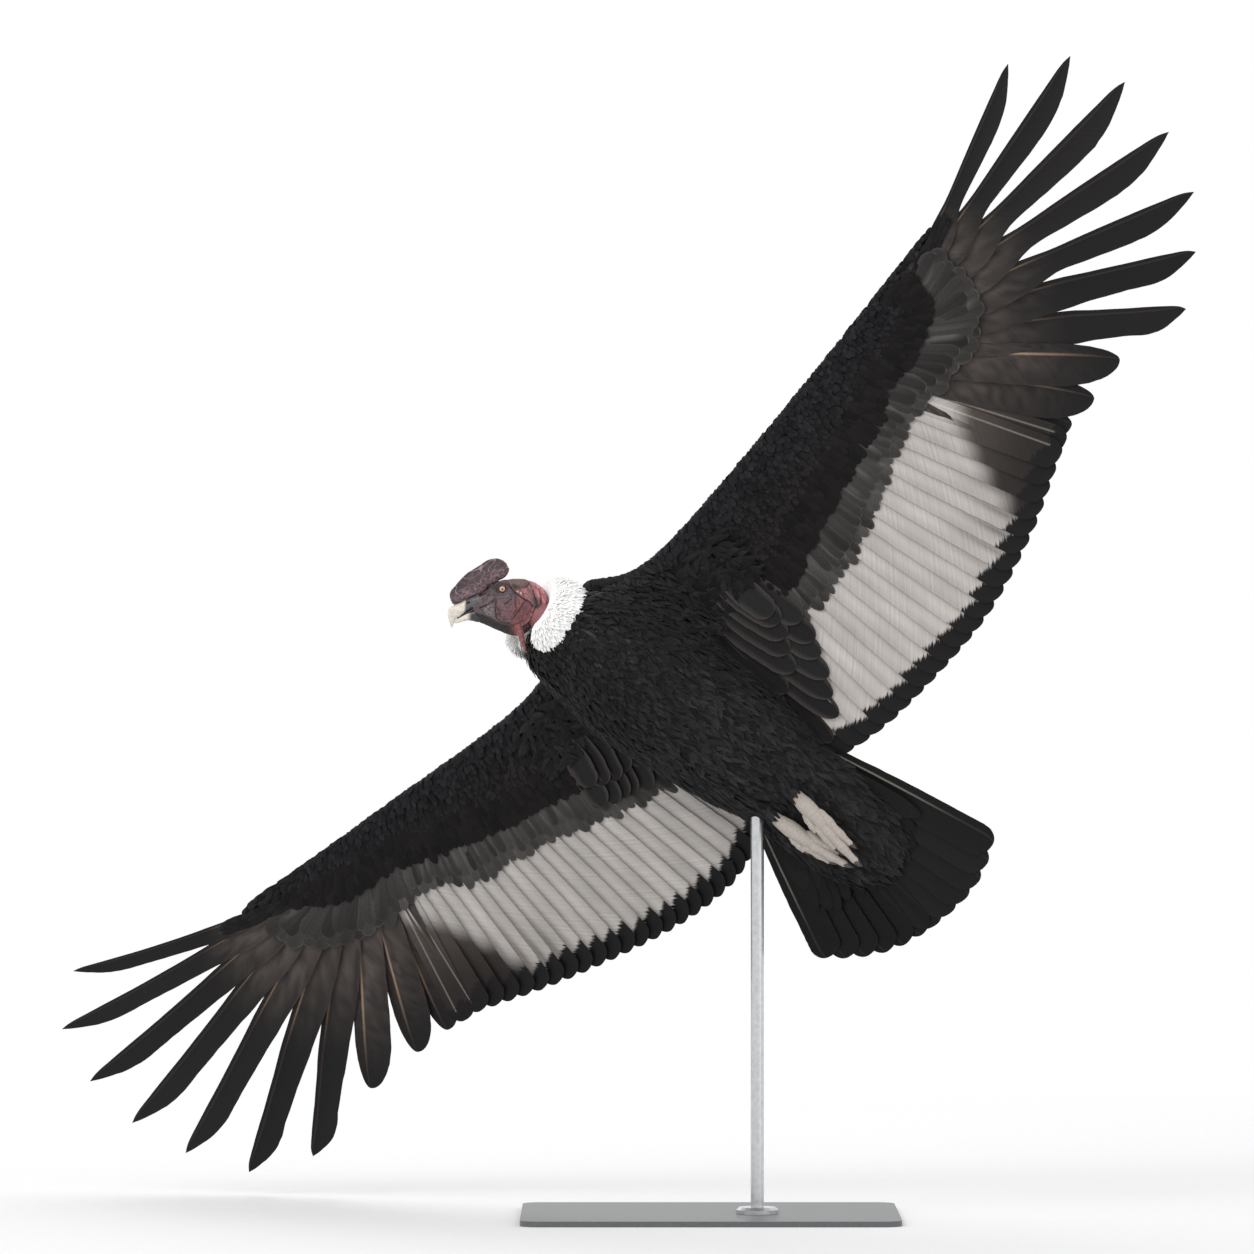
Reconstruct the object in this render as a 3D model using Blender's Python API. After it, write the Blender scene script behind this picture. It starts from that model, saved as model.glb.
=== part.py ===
"""An Andean condor in soaring flight, life size, as a still model on a plain display stand.

Metres, +Z up. The bird is modelled level in its own frame (+X forward along the body, +Y to its
left, +Z through its back, origin midway between the shoulders) and then banked over the stand, so
that its belly faces -Y. The head stays upright while the body banks, as a living bird holds it.
"""

import math
import random

import bmesh
import bpy
from mathutils import Matrix, Vector

# Driving dimensions
GAP = 0.0003
CUT_GAP = 0.00045
TINY = 2e-6
SEED = 5
SHARP_EDGE = math.radians(40.0)

HEADING = math.radians(136.5)
TILT = math.radians(20.0)
SHOULDER_HEIGHT = 1.253

LEFT, RIGHT = 1, -1
SIDE_NAME = {LEFT: "left", RIGHT: "right"}

# Wing planform, out from the midline and forward of the shoulders, before the sweep of each wing
SHOULDER = Vector((0.12, 0.0))
LEADING_EDGE = {
    LEFT: ((0.04, 0.098), (0.11, 0.050), (0.20, 0.032), (0.40, 0.036), (0.60, 0.047), (0.86, 0.066),
           (1.09, 0.084)),
    RIGHT: ((0.04, 0.098), (0.11, 0.052), (0.20, 0.021), (0.30, 0.012), (0.43, 0.020), (0.69, 0.046),
            (0.86, 0.062), (1.09, 0.089)),
}
CORE_REAR = ((0.04, -0.21), (0.20, -0.185), (0.38, -0.165), (0.58, -0.135), (0.80, -0.088),
             (0.95, -0.040), (1.09, 0.045))
CORE_THICKNESS = ((0.04, 0.080), (0.20, 0.062), (0.40, 0.048), (0.70, 0.038), (0.95, 0.024), (1.09, 0.009))
CORE_RING = ((1.0, 0.05), (0.62, 0.33), (0.26, 0.52), (0.06, 0.30), (0.0, 0.0),
             (0.06, -0.26), (0.26, -0.38), (0.62, -0.24), (1.0, -0.10))
CORE_STATIONS = (0.05, 0.11, 0.18, 0.28, 0.40, 0.54, 0.68, 0.80, 0.90, 0.98, 1.04, 1.075)
TRAILING_TIPS = {
    LEFT: ((0.135, -0.545), (0.220, -0.565), (0.302, -0.575), (0.485, -0.574), (0.615, -0.560),
           (0.786, -0.510), (0.955, -0.440)),
    RIGHT: ((0.085, -0.552), (0.190, -0.578), (0.304, -0.576), (0.413, -0.558), (0.571, -0.518),
            (0.700, -0.478), (0.845, -0.424)),
}
WRIST_OUT = 0.80
SHOULDER_RISE = 0.02
DIHEDRAL = 0.10

SWEEP = {LEFT: 0.0, RIGHT: math.radians(4.0)}
HAND_REACH = {LEFT: 0.94, RIGHT: 1.06}
FINGER_LIFT = {LEFT: 0.07, RIGHT: 0.05}

# Flight feathers, the innermost primary first
PRIMARY_LENGTH = {
    LEFT: (0.412, 0.442, 0.483, 0.610, 0.643, 0.671, 0.672, 0.647, 0.587, 0.474),
    RIGHT: (0.375, 0.400, 0.463, 0.635, 0.696, 0.702, 0.696, 0.670, 0.622, 0.507),
}
PRIMARY_ANGLE = {
    LEFT: (-59.5, -54.0, -45.9, -38.6, -29.8, -21.1, -11.4, -0.9, 9.2, 19.9),
    RIGHT: (-68.7, -60.7, -48.5, -37.1, -27.6, -17.3, -7.9, 1.7, 12.2, 22.5),
}
PRIMARY_NOTCH = (0.0, 0.0, 0.0, 0.60, 0.54, 0.44, 0.37, 0.33, 0.30, 0.27)
PRIMARY_ROOTS = ((0.800, -0.060), (0.92, -0.030), (1.035, 0.040))
PRIMARIES = 10
ROUNDED_PRIMARIES = 3
FINGER_WIDTH = {
    LEFT: (0.0, 0.0, 0.0, 0.066, 0.063, 0.064, 0.067, 0.067, 0.059, 0.047),
    RIGHT: (0.0, 0.0, 0.0, 0.067, 0.066, 0.063, 0.060, 0.056, 0.047, 0.036),
}
ROUNDED_PRIMARY_WIDTH = 0.089
FINGER_BOW = {
    LEFT: (0.0, 0.0, 0.0, -0.012, -0.011, -0.006, -0.003, 0.003, 0.004, 0.002),
    RIGHT: (0.0, 0.0, 0.0, 0.000, 0.001, 0.002, 0.002, 0.003, 0.004, 0.005),
}
SECONDARIES = 22
FOREARM_SECONDARIES = 14
SECONDARY_ROOT_OUT = (0.775, 0.190)
SECONDARY_WIDTH = 0.066
LOUVRE = math.radians(7.0)
VANE_THICKNESS = 0.0010

# Coverts: length, width and how far their tips stand off the flight feathers, below and above
COVERT_WIDTH = {-1: 0.064, 1: 0.090}
COVERT_LENGTH = {-1: 0.135, 1: 0.185}
HAND_COVERT = 0.130
COVERT_CLEARANCE = {-1: -0.0095, 1: 0.0075}
HAND_COVERTS = {-1: 7, 1: 5}
FOREARM_COVERTS = {-1: 8, 1: 6}
ARM_COVERTS = {-1: 5, 1: 4}
AXILLARIES = 6
AXILLARY_ROOTS = ((0.26, -0.10), (0.13, -0.13))
AXILLARY_TIPS = ((0.29, -0.32), (0.115, -0.52))
AXILLARY_WIDTH = 0.062
AXILLARY_STAND_OFF = 0.012

# Body sections: forward, left, up, half width, half height
TORSO_SECTIONS = (
    (0.116, -0.054, -0.085, 0.030, 0.016),
    (0.104, -0.051, -0.085, 0.064, 0.038),
    (0.084, -0.046, -0.085, 0.094, 0.062),
    (0.050, -0.034, -0.086, 0.118, 0.086),
    (0.000, -0.018, -0.088, 0.134, 0.108),
    (-0.090, -0.005, -0.090, 0.145, 0.125),
    (-0.190, 0.006, -0.082, 0.152, 0.125),
    (-0.300, 0.018, -0.062, 0.148, 0.113),
    (-0.400, 0.025, -0.043, 0.138, 0.098),
    (-0.480, 0.029, -0.027, 0.120, 0.080),
    (-0.545, 0.031, -0.015, 0.098, 0.058),
    (-0.590, 0.032, -0.006, 0.072, 0.036),
)

# Tail: its feathers point away from a place far forward, as their outer edges in flight do
TAIL_APEX = Vector((-0.214, 0.048, -0.004))
TAIL_AXIS = math.radians(3.0)
TAIL_HALF_FAN = math.radians(20.6)
TAIL_START = 0.27
TAIL_FEATHERS = 12
TAIL_REACH = ((-1.0, 0.650), (-0.4, 0.708), (0.2, 0.730), (0.6, 0.735), (1.0, 0.715))
TAIL_WIDTH = 0.072
TAIL_TILT = math.radians(5.0)
TAIL_COVERTS = 5
TAIL_COVERT_REACH = {-1: 0.560, 1: 0.500}
TAIL_COVERT_FAN = {-1: 0.90, 1: 0.60}
TAIL_COVERT_WIDTH = 0.075
TAIL_ROOT_SECTIONS = (
    (-0.440, 0.034, -0.022, 0.108, 0.030),
    (-0.520, 0.032, -0.020, 0.118, 0.030),
    (-0.580, 0.032, -0.016, 0.114, 0.025),
    (-0.650, 0.030, -0.012, 0.096, 0.018),
    (-0.710, 0.028, -0.008, 0.060, 0.010),
)
VENT_SECTIONS = (
    (-0.540, 0.036, -0.036, 0.104, 0.034),
    (-0.600, 0.038, -0.034, 0.112, 0.034),
    (-0.660, 0.041, -0.029, 0.108, 0.029),
    (-0.710, 0.044, -0.026, 0.098, 0.024),
    (-0.755, 0.047, -0.020, 0.076, 0.016),
    (-0.788, 0.048, -0.012, 0.044, 0.008),
)

# Head, in its own frame: +X along the bill, +Y to its left, +Z up, origin between the eyes
HEAD_DIP = math.radians(15.0)
HEAD_PLACE = Vector((-0.2205, -0.070, 1.3327))
HEAD_SECTIONS = (
    (-0.090, -0.050, 0.010, 0.012),
    (-0.080, -0.049, 0.026, 0.026),
    (-0.062, -0.046, 0.041, 0.034),
    (-0.038, -0.042, 0.053, 0.037),
    (-0.012, -0.041, 0.058, 0.035),
    (0.010, -0.037, 0.055, 0.032),
    (0.032, -0.033, 0.046, 0.028),
    (0.052, -0.029, 0.035, 0.022),
    (0.066, -0.028, 0.027, 0.017),
)
EYE = Vector((0.0, 0.0175, 0.0))
EYE_RADIUS = 0.0095
LID_RADIUS = 0.0088
LID_THICKNESS = 0.0027
LID_SIDES = 9
NAPE_LOBE = Vector((-0.036, 0.022, 0.006))
NAPE_LOBE_RADII = (0.021, 0.011, 0.011)
NAPE_FOLDS = ((-0.052, -0.004, 0.084), (-0.034, -0.012, 0.082), (-0.016, -0.022, 0.070))
MOUTH_LINE = ((0.070, -0.0265), (0.058, -0.0235), (0.046, -0.0240), (0.036, -0.0290))
MOUTH_RADII = (0.0016, 0.0016, 0.0014, 0.0006)
NOSTRIL = (0.0800, -0.0095)
NOSTRIL_RADIUS = 0.0028

# Strip of skin from the jaw down the throat, in the stand's frame with its radius
THROAT_STRIP = (
    (-0.186, -0.098, 1.276, 0.0120),
    (-0.184, -0.103, 1.255, 0.0105),
    (-0.179, -0.105, 1.234, 0.0080),
    (-0.177, -0.105, 1.219, 0.0058),
    (-0.172, -0.105, 1.204, 0.0026),
)
BILL_UPPER = (
    (0.0665, -0.0110, 0.0120, 0.0150),
    (0.0850, -0.0155, 0.0125, 0.0140),
    (0.1020, -0.0200, 0.0130, 0.0120),
    (0.1150, -0.0245, 0.0125, 0.0095),
    (0.1225, -0.0320, 0.0085, 0.0060),
    (0.1255, -0.0410, 0.0042, 0.0032),
    (0.1262, -0.0490, 0.0010, 0.0010),
)
BILL_LOWER = (
    (0.0665, -0.0385, 0.0155, 0.0140),
    (0.0850, -0.0385, 0.0120, 0.0120),
    (0.1000, -0.0395, 0.0090, 0.0095),
    (0.1120, -0.0410, 0.0055, 0.0060),
    (0.1180, -0.0425, 0.0025, 0.0025),
)
COMB_SECTIONS = (
    (-0.0235, 0.036, 0.049, 0.006),
    (-0.0180, 0.026, 0.060, 0.010),
    (-0.0050, 0.016, 0.067, 0.012),
    (0.0150, 0.010, 0.069, 0.013),
    (0.0350, 0.006, 0.067, 0.013),
    (0.0550, -0.002, 0.060, 0.012),
    (0.0750, -0.006, 0.051, 0.012),
    (0.0930, -0.009, 0.042, 0.011),
    (0.1060, -0.010, 0.029, 0.009),
    (0.1130, -0.006, 0.016, 0.005),
)
COMB_BULBS = 5

# Bare neck: place along X with its radius
NECK_STATIONS = ((0.030, 0.066), (-0.060, 0.060), (-0.105, 0.048), (-0.140, 0.036), (-0.180, 0.026))

# Ruff: a collar of white down round the base of the neck, open at the throat
RUFF_CENTRE = Vector((-0.1110, -0.0740, 1.2680))
RUFF_AXIS = Vector((-0.80, -0.34, 0.49)).normalized()
RUFF_FAR_END = Vector((-0.173, -0.030, 1.212))
RUFF_FAR_FROM = math.radians(250.0)
RUFF_OPENING = math.radians(18.0)
RUFF_EDGE = math.radians(10.0)
RUFF_FAR_LEAN = 50.0
RUFF_RADIUS = 0.046
RUFF_CORE = 0.022
RUFF_ROWS = ((0.016, 58.0, 0.034), (0.006, 24.0, 0.044), (-0.006, -10.0, 0.047), (-0.018, -42.0, 0.047))
RUFF_LOCKS = 9
RUFF_LOCK_WIDTH = 0.046
RUFF_LOCK_FLATNESS = 0.40

# Feet, folded back under the tail: points of each shank, and start, end and radius of each toe
SHANKS = {
    LEFT: ((-0.455, 0.0460, -0.066, 0.0170), (-0.535, 0.0530, -0.099, 0.0150),
           (-0.565, 0.0560, -0.110, 0.0180), (-0.592, 0.0570, -0.115, 0.0160)),
    RIGHT: ((-0.465, -0.0260, -0.062, 0.0170), (-0.545, -0.0168, -0.088, 0.0150),
            (-0.575, -0.0090, -0.098, 0.0180), (-0.603, -0.0030, -0.102, 0.0160)),
}
TOES = {
    LEFT: (((-0.590, 0.0440, -0.113), (-0.672, 0.0340, -0.113), 0.0100),
           ((-0.592, 0.0570, -0.117), (-0.724, 0.0420, -0.108), 0.0115),
           ((-0.588, 0.0700, -0.113), (-0.690, 0.0620, -0.107), 0.0100),
           ((-0.572, 0.0420, -0.110), (-0.618, 0.0330, -0.122), 0.0080)),
    RIGHT: (((-0.602, 0.0090, -0.099), (-0.684, 0.0270, -0.096), 0.0100),
            ((-0.604, -0.0040, -0.103), (-0.712, 0.0190, -0.099), 0.0115),
            ((-0.600, -0.0160, -0.099), (-0.684, -0.0020, -0.095), 0.0100),
            ((-0.584, -0.0210, -0.096), (-0.628, -0.0220, -0.104), 0.0080)),
}
TOE_SAG = 0.0045
CLAW_REACH = 0.0245
CLAW_RISE = 0.014
CLAW_SHARE = 0.62

# Stand
ROD_RADIUS = 0.014
ROD_SIDES = 20
ROD_PLACE = Vector((0.318, -0.040, 0.0))
ROD_TOP = 0.905
ROD_FIT = 0.0005
SOCKET_FOOT = 0.5
PLATE = Vector((0.80, 0.60, 0.012))
PLATE_SHIFT = Vector((-0.10, 0.06, 0.0))
PLATE_CORNER = 0.04
COLLAR_RADIUS = 0.045
COLLAR_HEIGHT = 0.014
COLLAR_TAPER = 0.86

MATERIALS = {
    "plumage_black": ((0.022, 0.022, 0.025), 0.72, 0.0),
    "flight_feather": ((0.060, 0.048, 0.040), 0.55, 0.0),
    "secondary_pale": ((0.560, 0.550, 0.530), 0.60, 0.0),
    "down_white": ((0.900, 0.895, 0.880), 0.90, 0.0),
    "skin_red": ((0.230, 0.070, 0.070), 0.55, 0.0),
    "comb_dark": ((0.120, 0.070, 0.075), 0.60, 0.0),
    "bill_ivory": ((0.720, 0.660, 0.530), 0.35, 0.0),
    "eye_amber": ((0.350, 0.160, 0.030), 0.08, 0.0),
    "foot_scale": ((0.470, 0.430, 0.370), 0.60, 0.0),
    "claw_horn": ((0.080, 0.070, 0.065), 0.35, 0.0),
    "stand_paint": ((0.110, 0.115, 0.120), 0.45, 0.0),
    "stand_steel": ((0.560, 0.570, 0.580), 0.30, 1.0),
}


def bank_matrix():
    """Turns the level bird onto its bank: forward up and to -X, belly to -Y."""
    forward = Vector((math.cos(HEADING), 0.0, math.sin(HEADING)))
    flat_left = Vector((math.sin(HEADING), 0.0, -math.cos(HEADING)))
    back = Vector((0.0, 1.0, 0.0))
    left = flat_left * math.cos(TILT) - back * math.sin(TILT)
    up = flat_left * math.sin(TILT) + back * math.cos(TILT)
    turn = Matrix((forward, left, up)).transposed().to_4x4()
    return Matrix.Translation((0.0, 0.0, SHOULDER_HEIGHT)) @ turn


BANK = bank_matrix()
UNBANK = BANK.inverted()


def material(name):
    found = bpy.data.materials.get(name)
    if found:
        return found
    colour, roughness, metallic = MATERIALS[name]
    found = bpy.data.materials.new(name)
    found.use_nodes = True
    shader = found.node_tree.nodes["Principled BSDF"]
    shader.inputs["Base Color"].default_value = (*colour, 1.0)
    shader.inputs["Roughness"].default_value = roughness
    shader.inputs["Metallic"].default_value = metallic
    found.diffuse_color = (*colour, 1.0)
    return found


def read(table, x):
    """The table's value at x, along a smooth curve through its rows."""
    rows = sorted(table)
    x = min(max(x, rows[0][0]), rows[-1][0])
    slot = 0
    while slot < len(rows) - 2 and x > rows[slot + 1][0]:
        slot += 1

    def slope(k):
        low, high = max(k - 1, 0), min(k + 1, len(rows) - 1)
        return (rows[high][1] - rows[low][1]) / (rows[high][0] - rows[low][0])

    (x0, y0), (x1, y1) = rows[slot], rows[slot + 1]
    span = x1 - x0
    t = (x - x0) / span
    return (
        (2 * t**3 - 3 * t**2 + 1) * y0
        + (t**3 - 2 * t**2 + t) * span * slope(slot)
        + (3 * t**2 - 2 * t**3) * y1
        + (t**3 - t**2) * span * slope(slot + 1)
    )


def mix(a, b, t):
    return a + (b - a) * t


def as_object(name, bm, finish):
    """A mesh object of the closed shape in bm, its faces turned outwards."""
    bmesh.ops.recalc_face_normals(bm, faces=bm.faces)
    mesh = bpy.data.meshes.new(name)
    bm.to_mesh(mesh)
    bm.free()
    if mesh_volume(mesh) < 0:
        mesh.flip_normals()
    obj = bpy.data.objects.new(name, mesh)
    obj.data.materials.append(material(finish))
    bpy.context.scene.collection.objects.link(obj)
    return obj


def mesh_volume(mesh):
    bm = bmesh.new()
    bm.from_mesh(mesh)
    volume = bm.calc_volume(signed=True)
    bm.free()
    return volume


def loft(rings):
    """A closed tube through rings of one count of points, its two ends flat."""
    bm = bmesh.new()
    rows = [[bm.verts.new(point) for point in ring] for ring in rings]
    for near, far in zip(rows, rows[1:]):
        for i in range(len(near)):
            j = (i + 1) % len(near)
            bm.faces.new((near[i], near[j], far[j], far[i]))
    bm.faces.new(rows[0][::-1])
    bm.faces.new(rows[-1])
    return bm


def oval(centre, across, upward, half_width, half_height, count, squareness=1.0):
    """A ring of points on an oval, rounder or squarer as its exponent says."""
    ring = []
    for i in range(count):
        angle = 2 * math.pi * i / count
        c, s = math.cos(angle), math.sin(angle)
        x = math.copysign(abs(c) ** squareness, c) * half_width
        y = math.copysign(abs(s) ** squareness, s) * half_height
        ring.append(centre + across * x + upward * y)
    return ring


def tube(path, radii, count, flatness=1.0, guide=Vector((0.0, 0.0, 1.0))):
    """A closed round tube along a path, with one radius for each of its points."""
    rings = []
    for k, point in enumerate(path):
        ahead = path[min(k + 1, len(path) - 1)] - path[max(k - 1, 0)]
        ahead.normalize()
        across = guide.cross(ahead).normalized()
        upward = ahead.cross(across).normalized()
        rings.append(oval(point, across, upward, radii[k], radii[k] * flatness, count))
    return loft(rings)


def apply_modifiers(obj):
    graph = bpy.context.evaluated_depsgraph_get()
    mesh = bpy.data.meshes.new_from_object(obj.evaluated_get(graph))
    obj.modifiers.clear()
    old = obj.data
    obj.data = mesh
    mesh.name = obj.name
    bpy.data.meshes.remove(old)


def remove(objects):
    for obj in list(objects):
        mesh = obj.data
        bpy.data.objects.remove(obj)
        bpy.data.meshes.remove(mesh)


def fuse(node, pieces):
    """Joins the closed pieces to the node they grow from, as one body."""
    group = bpy.data.collections.new(node.name + "_pieces")
    bpy.context.scene.collection.children.link(group)
    for piece in pieces:
        bpy.context.scene.collection.objects.unlink(piece)
        group.objects.link(piece)
    plain = node.data.copy()
    for solver in ("EXACT", "MANIFOLD"):
        node.data = plain.copy()
        union = node.modifiers.new("fuse", "BOOLEAN")
        union.operation = "UNION"
        union.operand_type = "COLLECTION"
        union.collection = group
        union.solver = solver
        apply_modifiers(node)
        keep_largest(node)
        if is_closed(node.data):
            break
    bpy.data.meshes.remove(plain)
    remove(pieces)
    bpy.data.collections.remove(group)


def is_closed(mesh):
    """Whether every edge of the mesh joins exactly two faces."""
    uses = {}
    for face in mesh.polygons:
        for key in face.edge_keys:
            uses[key] = uses.get(key, 0) + 1
    return all(count == 2 for count in uses.values())


def carve(node, cutter):
    cut = node.modifiers.new("carve", "BOOLEAN")
    cut.operation = "DIFFERENCE"
    cut.object = cutter
    cut.solver = "MANIFOLD"
    apply_modifiers(node)
    keep_largest(node)


def clear_of(node, neighbour, gap=CUT_GAP):
    """Cuts the node back so that it meets its neighbour face to face across the gap."""
    split_into_triangles(neighbour.data)
    mesh = neighbour.data.copy()
    normals = [vertex.normal.copy() for vertex in mesh.vertices]
    for vertex, normal in zip(mesh.vertices, normals):
        vertex.co += normal * gap
    cutter = bpy.data.objects.new(neighbour.name + "_clear", mesh)
    bpy.context.scene.collection.objects.link(cutter)
    carve(node, cutter)
    remove([cutter])


def split_into_triangles(mesh):
    bm = bmesh.new()
    bm.from_mesh(mesh)
    bmesh.ops.triangulate(bm, faces=bm.faces)
    bm.to_mesh(mesh)
    bm.free()


def keep_largest(obj):
    """Drops every closed surface of the object but the largest."""
    bm = bmesh.new()
    bm.from_mesh(obj.data)
    unseen = set(bm.faces)
    shells = []
    while unseen:
        front = [unseen.pop()]
        shell = list(front)
        while front:
            face = front.pop()
            for edge in face.edges:
                if len(edge.link_faces) > 2:
                    continue
                for other in edge.link_faces:
                    if other in unseen:
                        unseen.remove(other)
                        front.append(other)
                        shell.append(other)
        shells.append(shell)

    def volume(shell):
        total = 0.0
        for face in shell:
            first = face.verts[0].co
            for a, b in zip(face.verts[1:], face.verts[2:]):
                total += first.dot(a.co.cross(b.co)) / 6.0
        return total

    shells.sort(key=volume, reverse=True)
    doomed = [face for shell in shells[1:] for face in shell]
    bmesh.ops.delete(bm, geom=doomed, context="FACES")
    loose = [vertex for vertex in bm.verts if not vertex.link_faces]
    bmesh.ops.delete(bm, geom=loose, context="VERTS")
    bm.to_mesh(obj.data)
    bmesh.ops.dissolve_degenerate(bm, dist=TINY, edges=bm.edges)
    if all(edge.is_manifold for edge in bm.edges):
        bm.to_mesh(obj.data)
    bm.free()


def trim(bm, point, outward):
    """Cuts away what lies past a plane and closes the cut."""
    geometry = bm.verts[:] + bm.edges[:] + bm.faces[:]
    done = bmesh.ops.bisect_plane(
        bm, geom=geometry, dist=1e-6, plane_co=point, plane_no=outward, clear_outer=True
    )
    rim = [item for item in done["geom_cut"] if isinstance(item, bmesh.types.BMEdge)]
    if rim:
        bmesh.ops.holes_fill(bm, edges=rim, sides=0)
    return bool(bm.faces)


def vane(points, sides, normals, inner, outer, thick=VANE_THICKNESS):
    """A closed thin vane along a shaft line, split into triangles alike on both faces.

    sides point to the vane's outer edge and normals to its upper face.
    """
    bm = bmesh.new()
    rows = []
    for point, side, normal, back, front in zip(points, sides, normals, inner, outer):
        edges = (point - side * back, point + side * front)
        above, below = (normal * (thick * sign / 2) for sign in (1, -1))
        corners = (edges[0] + above, edges[1] + above, edges[1] + below, edges[0] + below)
        rows.append([bm.verts.new(corner) for corner in corners])
    for near, far in zip(rows, rows[1:]):
        for a, b in ((0, 1), (3, 2), (1, 2), (0, 3)):
            bm.faces.new((near[a], near[b], far[a]))
            bm.faces.new((near[b], far[b], far[a]))
    for row in (rows[0], rows[-1]):
        bm.faces.new(row)
    return bm


# The wings


def wing_surface(out):
    """Height of the wing's middle surface above the shoulders."""
    return SHOULDER_RISE + DIHEDRAL * max(0.0, out - SHOULDER.x)


def on_wing(side, out, fore, lift=0.0):
    """A point of the wing in the bird's frame, from its place on the planform."""
    sweep = SWEEP[side]
    if out > WRIST_OUT:
        out = WRIST_OUT + (out - WRIST_OUT) * HAND_REACH[side]
    reach = Vector((out, fore)) - SHOULDER
    turned_out = SHOULDER.x + reach.x * math.cos(sweep) - reach.y * math.sin(sweep)
    turned_fore = SHOULDER.y + reach.x * math.sin(sweep) + reach.y * math.cos(sweep)
    rise = wing_surface(turned_out) + lift
    return Vector((turned_fore, side * turned_out, rise))


def shaft_frames(side, points, louvre):
    """Directions across and normal to a feather at each point of its shaft."""
    sides, normals = [], []
    for k in range(len(points)):
        ahead = (points[min(k + 1, len(points) - 1)] - points[max(k - 1, 0)]).normalized()
        slope = Vector((0.0, -side * DIHEDRAL, 1.0)).normalized()
        across = ahead.cross(slope).normalized() * side
        normal = ahead.cross(across).normalized()
        if normal.z < 0:
            normal = -normal
        sides.append(across * math.cos(louvre) + normal * math.sin(louvre))
        normals.append(normal * math.cos(louvre) - across * math.sin(louvre))
    return sides, normals


ROUNDED_SHAPE = {
    "stations": (0.0, 0.945, 1.0),
    "width": (0.60, 1.0, 0.42),
}
COVERT_SHAPE = {
    "stations": (0.0, 0.80, 1.0),
    "width": (0.60, 1.0, 0.40),
}
OUTER_SHARE = 0.36
TAIL_SHARES = (0.60, 0.48)
FINGER_TAPER = {LEFT: (1.10, 0.72, 0.90, 0.56), RIGHT: (1.15, 1.02, 0.84, 0.46)}
CUT_SHARE = 0.6


def finger_shape(side, notch):
    """A slotted primary, broad up to its notch; past it the left ones widen and the right ones taper."""
    past = 1 - notch
    return {
        "stations": (0.0, notch, notch + 0.12 * past, notch + 0.66 * past, notch + 0.87 * past, 1.0),
        "width": (0.36, *FINGER_TAPER[side], 0.06),
        "outer": (0.25, 0.26, 0.24, 0.21, 0.22, 0.40),
    }


def flight_vane(side, root, tip, width, shape, lift=0.0, droop=0.0, bow=0.0):
    """A remex from its root to its tip, both on the planform; lift curls its tip up."""
    points = []
    along = Vector(tip) - Vector(root)
    normal_2d = Vector((along.y, -along.x)).normalized()
    for s in shape["stations"]:
        place = Vector(root) + along * s + normal_2d * (bow * 4 * s * (1 - s))
        points.append(on_wing(side, place.x, place.y, lift * s * s + droop * s))
    sides, normals = shaft_frames(side, points, LOUVRE)
    shares = shape.get("outer", [OUTER_SHARE] * len(points))
    inner = [width * w * (1 - share) for w, share in zip(shape["width"], shares)]
    outer = [width * w * share for w, share in zip(shape["width"], shares)]
    return vane(points, sides, normals, inner, outer)


def primary_root(index):
    t = index / (PRIMARIES - 1) * 2
    a, b = (PRIMARY_ROOTS[0], PRIMARY_ROOTS[1]) if t < 1 else (PRIMARY_ROOTS[1], PRIMARY_ROOTS[2])
    t -= 0 if t < 1 else 1
    return Vector((mix(a[0], b[0], t), mix(a[1], b[1], t)))


def primary_tip(side, index):
    angle = math.radians(read(list(enumerate(PRIMARY_ANGLE[side])), index))
    length = read(list(enumerate(PRIMARY_LENGTH[side])), index)
    return primary_root(index) + Vector((math.cos(angle), math.sin(angle))) * length


def primaries(side):
    made = []
    for index in range(PRIMARIES):
        root, tip = primary_root(index), primary_tip(side, index)
        if index < ROUNDED_PRIMARIES:
            made.append(flight_vane(side, root, tip, ROUNDED_PRIMARY_WIDTH, ROUNDED_SHAPE, lift=0.01))
        else:
            shape = finger_shape(side, PRIMARY_NOTCH[index])
            lift = FINGER_LIFT[side]
            width, bow = FINGER_WIDTH[side][index], FINGER_BOW[side][index]
            made.append(flight_vane(side, root, tip, width, shape, lift, bow=bow))
    for level, count in HAND_COVERTS.items():
        for k in range(count):
            index = (k + 0.5) * PRIMARIES / count - 0.5
            root, tip = primary_root(index), primary_tip(side, index)
            reach = (tip - root).normalized() * HAND_COVERT
            made.append(covert(side, root, root + reach, level, COVERT_WIDTH[level]))
    return made


def secondary_ends(side, index):
    t = index / (SECONDARIES - 1)
    tips = TRAILING_TIPS[side]
    root_out = mix(*SECONDARY_ROOT_OUT, t)
    tip_out = mix(tips[-1][0], tips[0][0], t)
    root = Vector((root_out, read(CORE_REAR, root_out) + 0.025))
    return root, Vector((tip_out, read(tips, tip_out)))


def secondaries(side, first, last, covert_counts):
    made = []
    for index in range(first, last):
        root, tip = secondary_ends(side, index)
        made.append(flight_vane(side, root, tip, SECONDARY_WIDTH, ROUNDED_SHAPE, droop=-0.012))
    for level, count in covert_counts.items():
        for k in range(count):
            root, tip = secondary_ends(side, first + (k + 0.5) * (last - first) / count - 0.5)
            reach = (tip - root).normalized() * COVERT_LENGTH[level]
            made.append(covert(side, root, root + reach, level, COVERT_WIDTH[level]))
    return made


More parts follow.
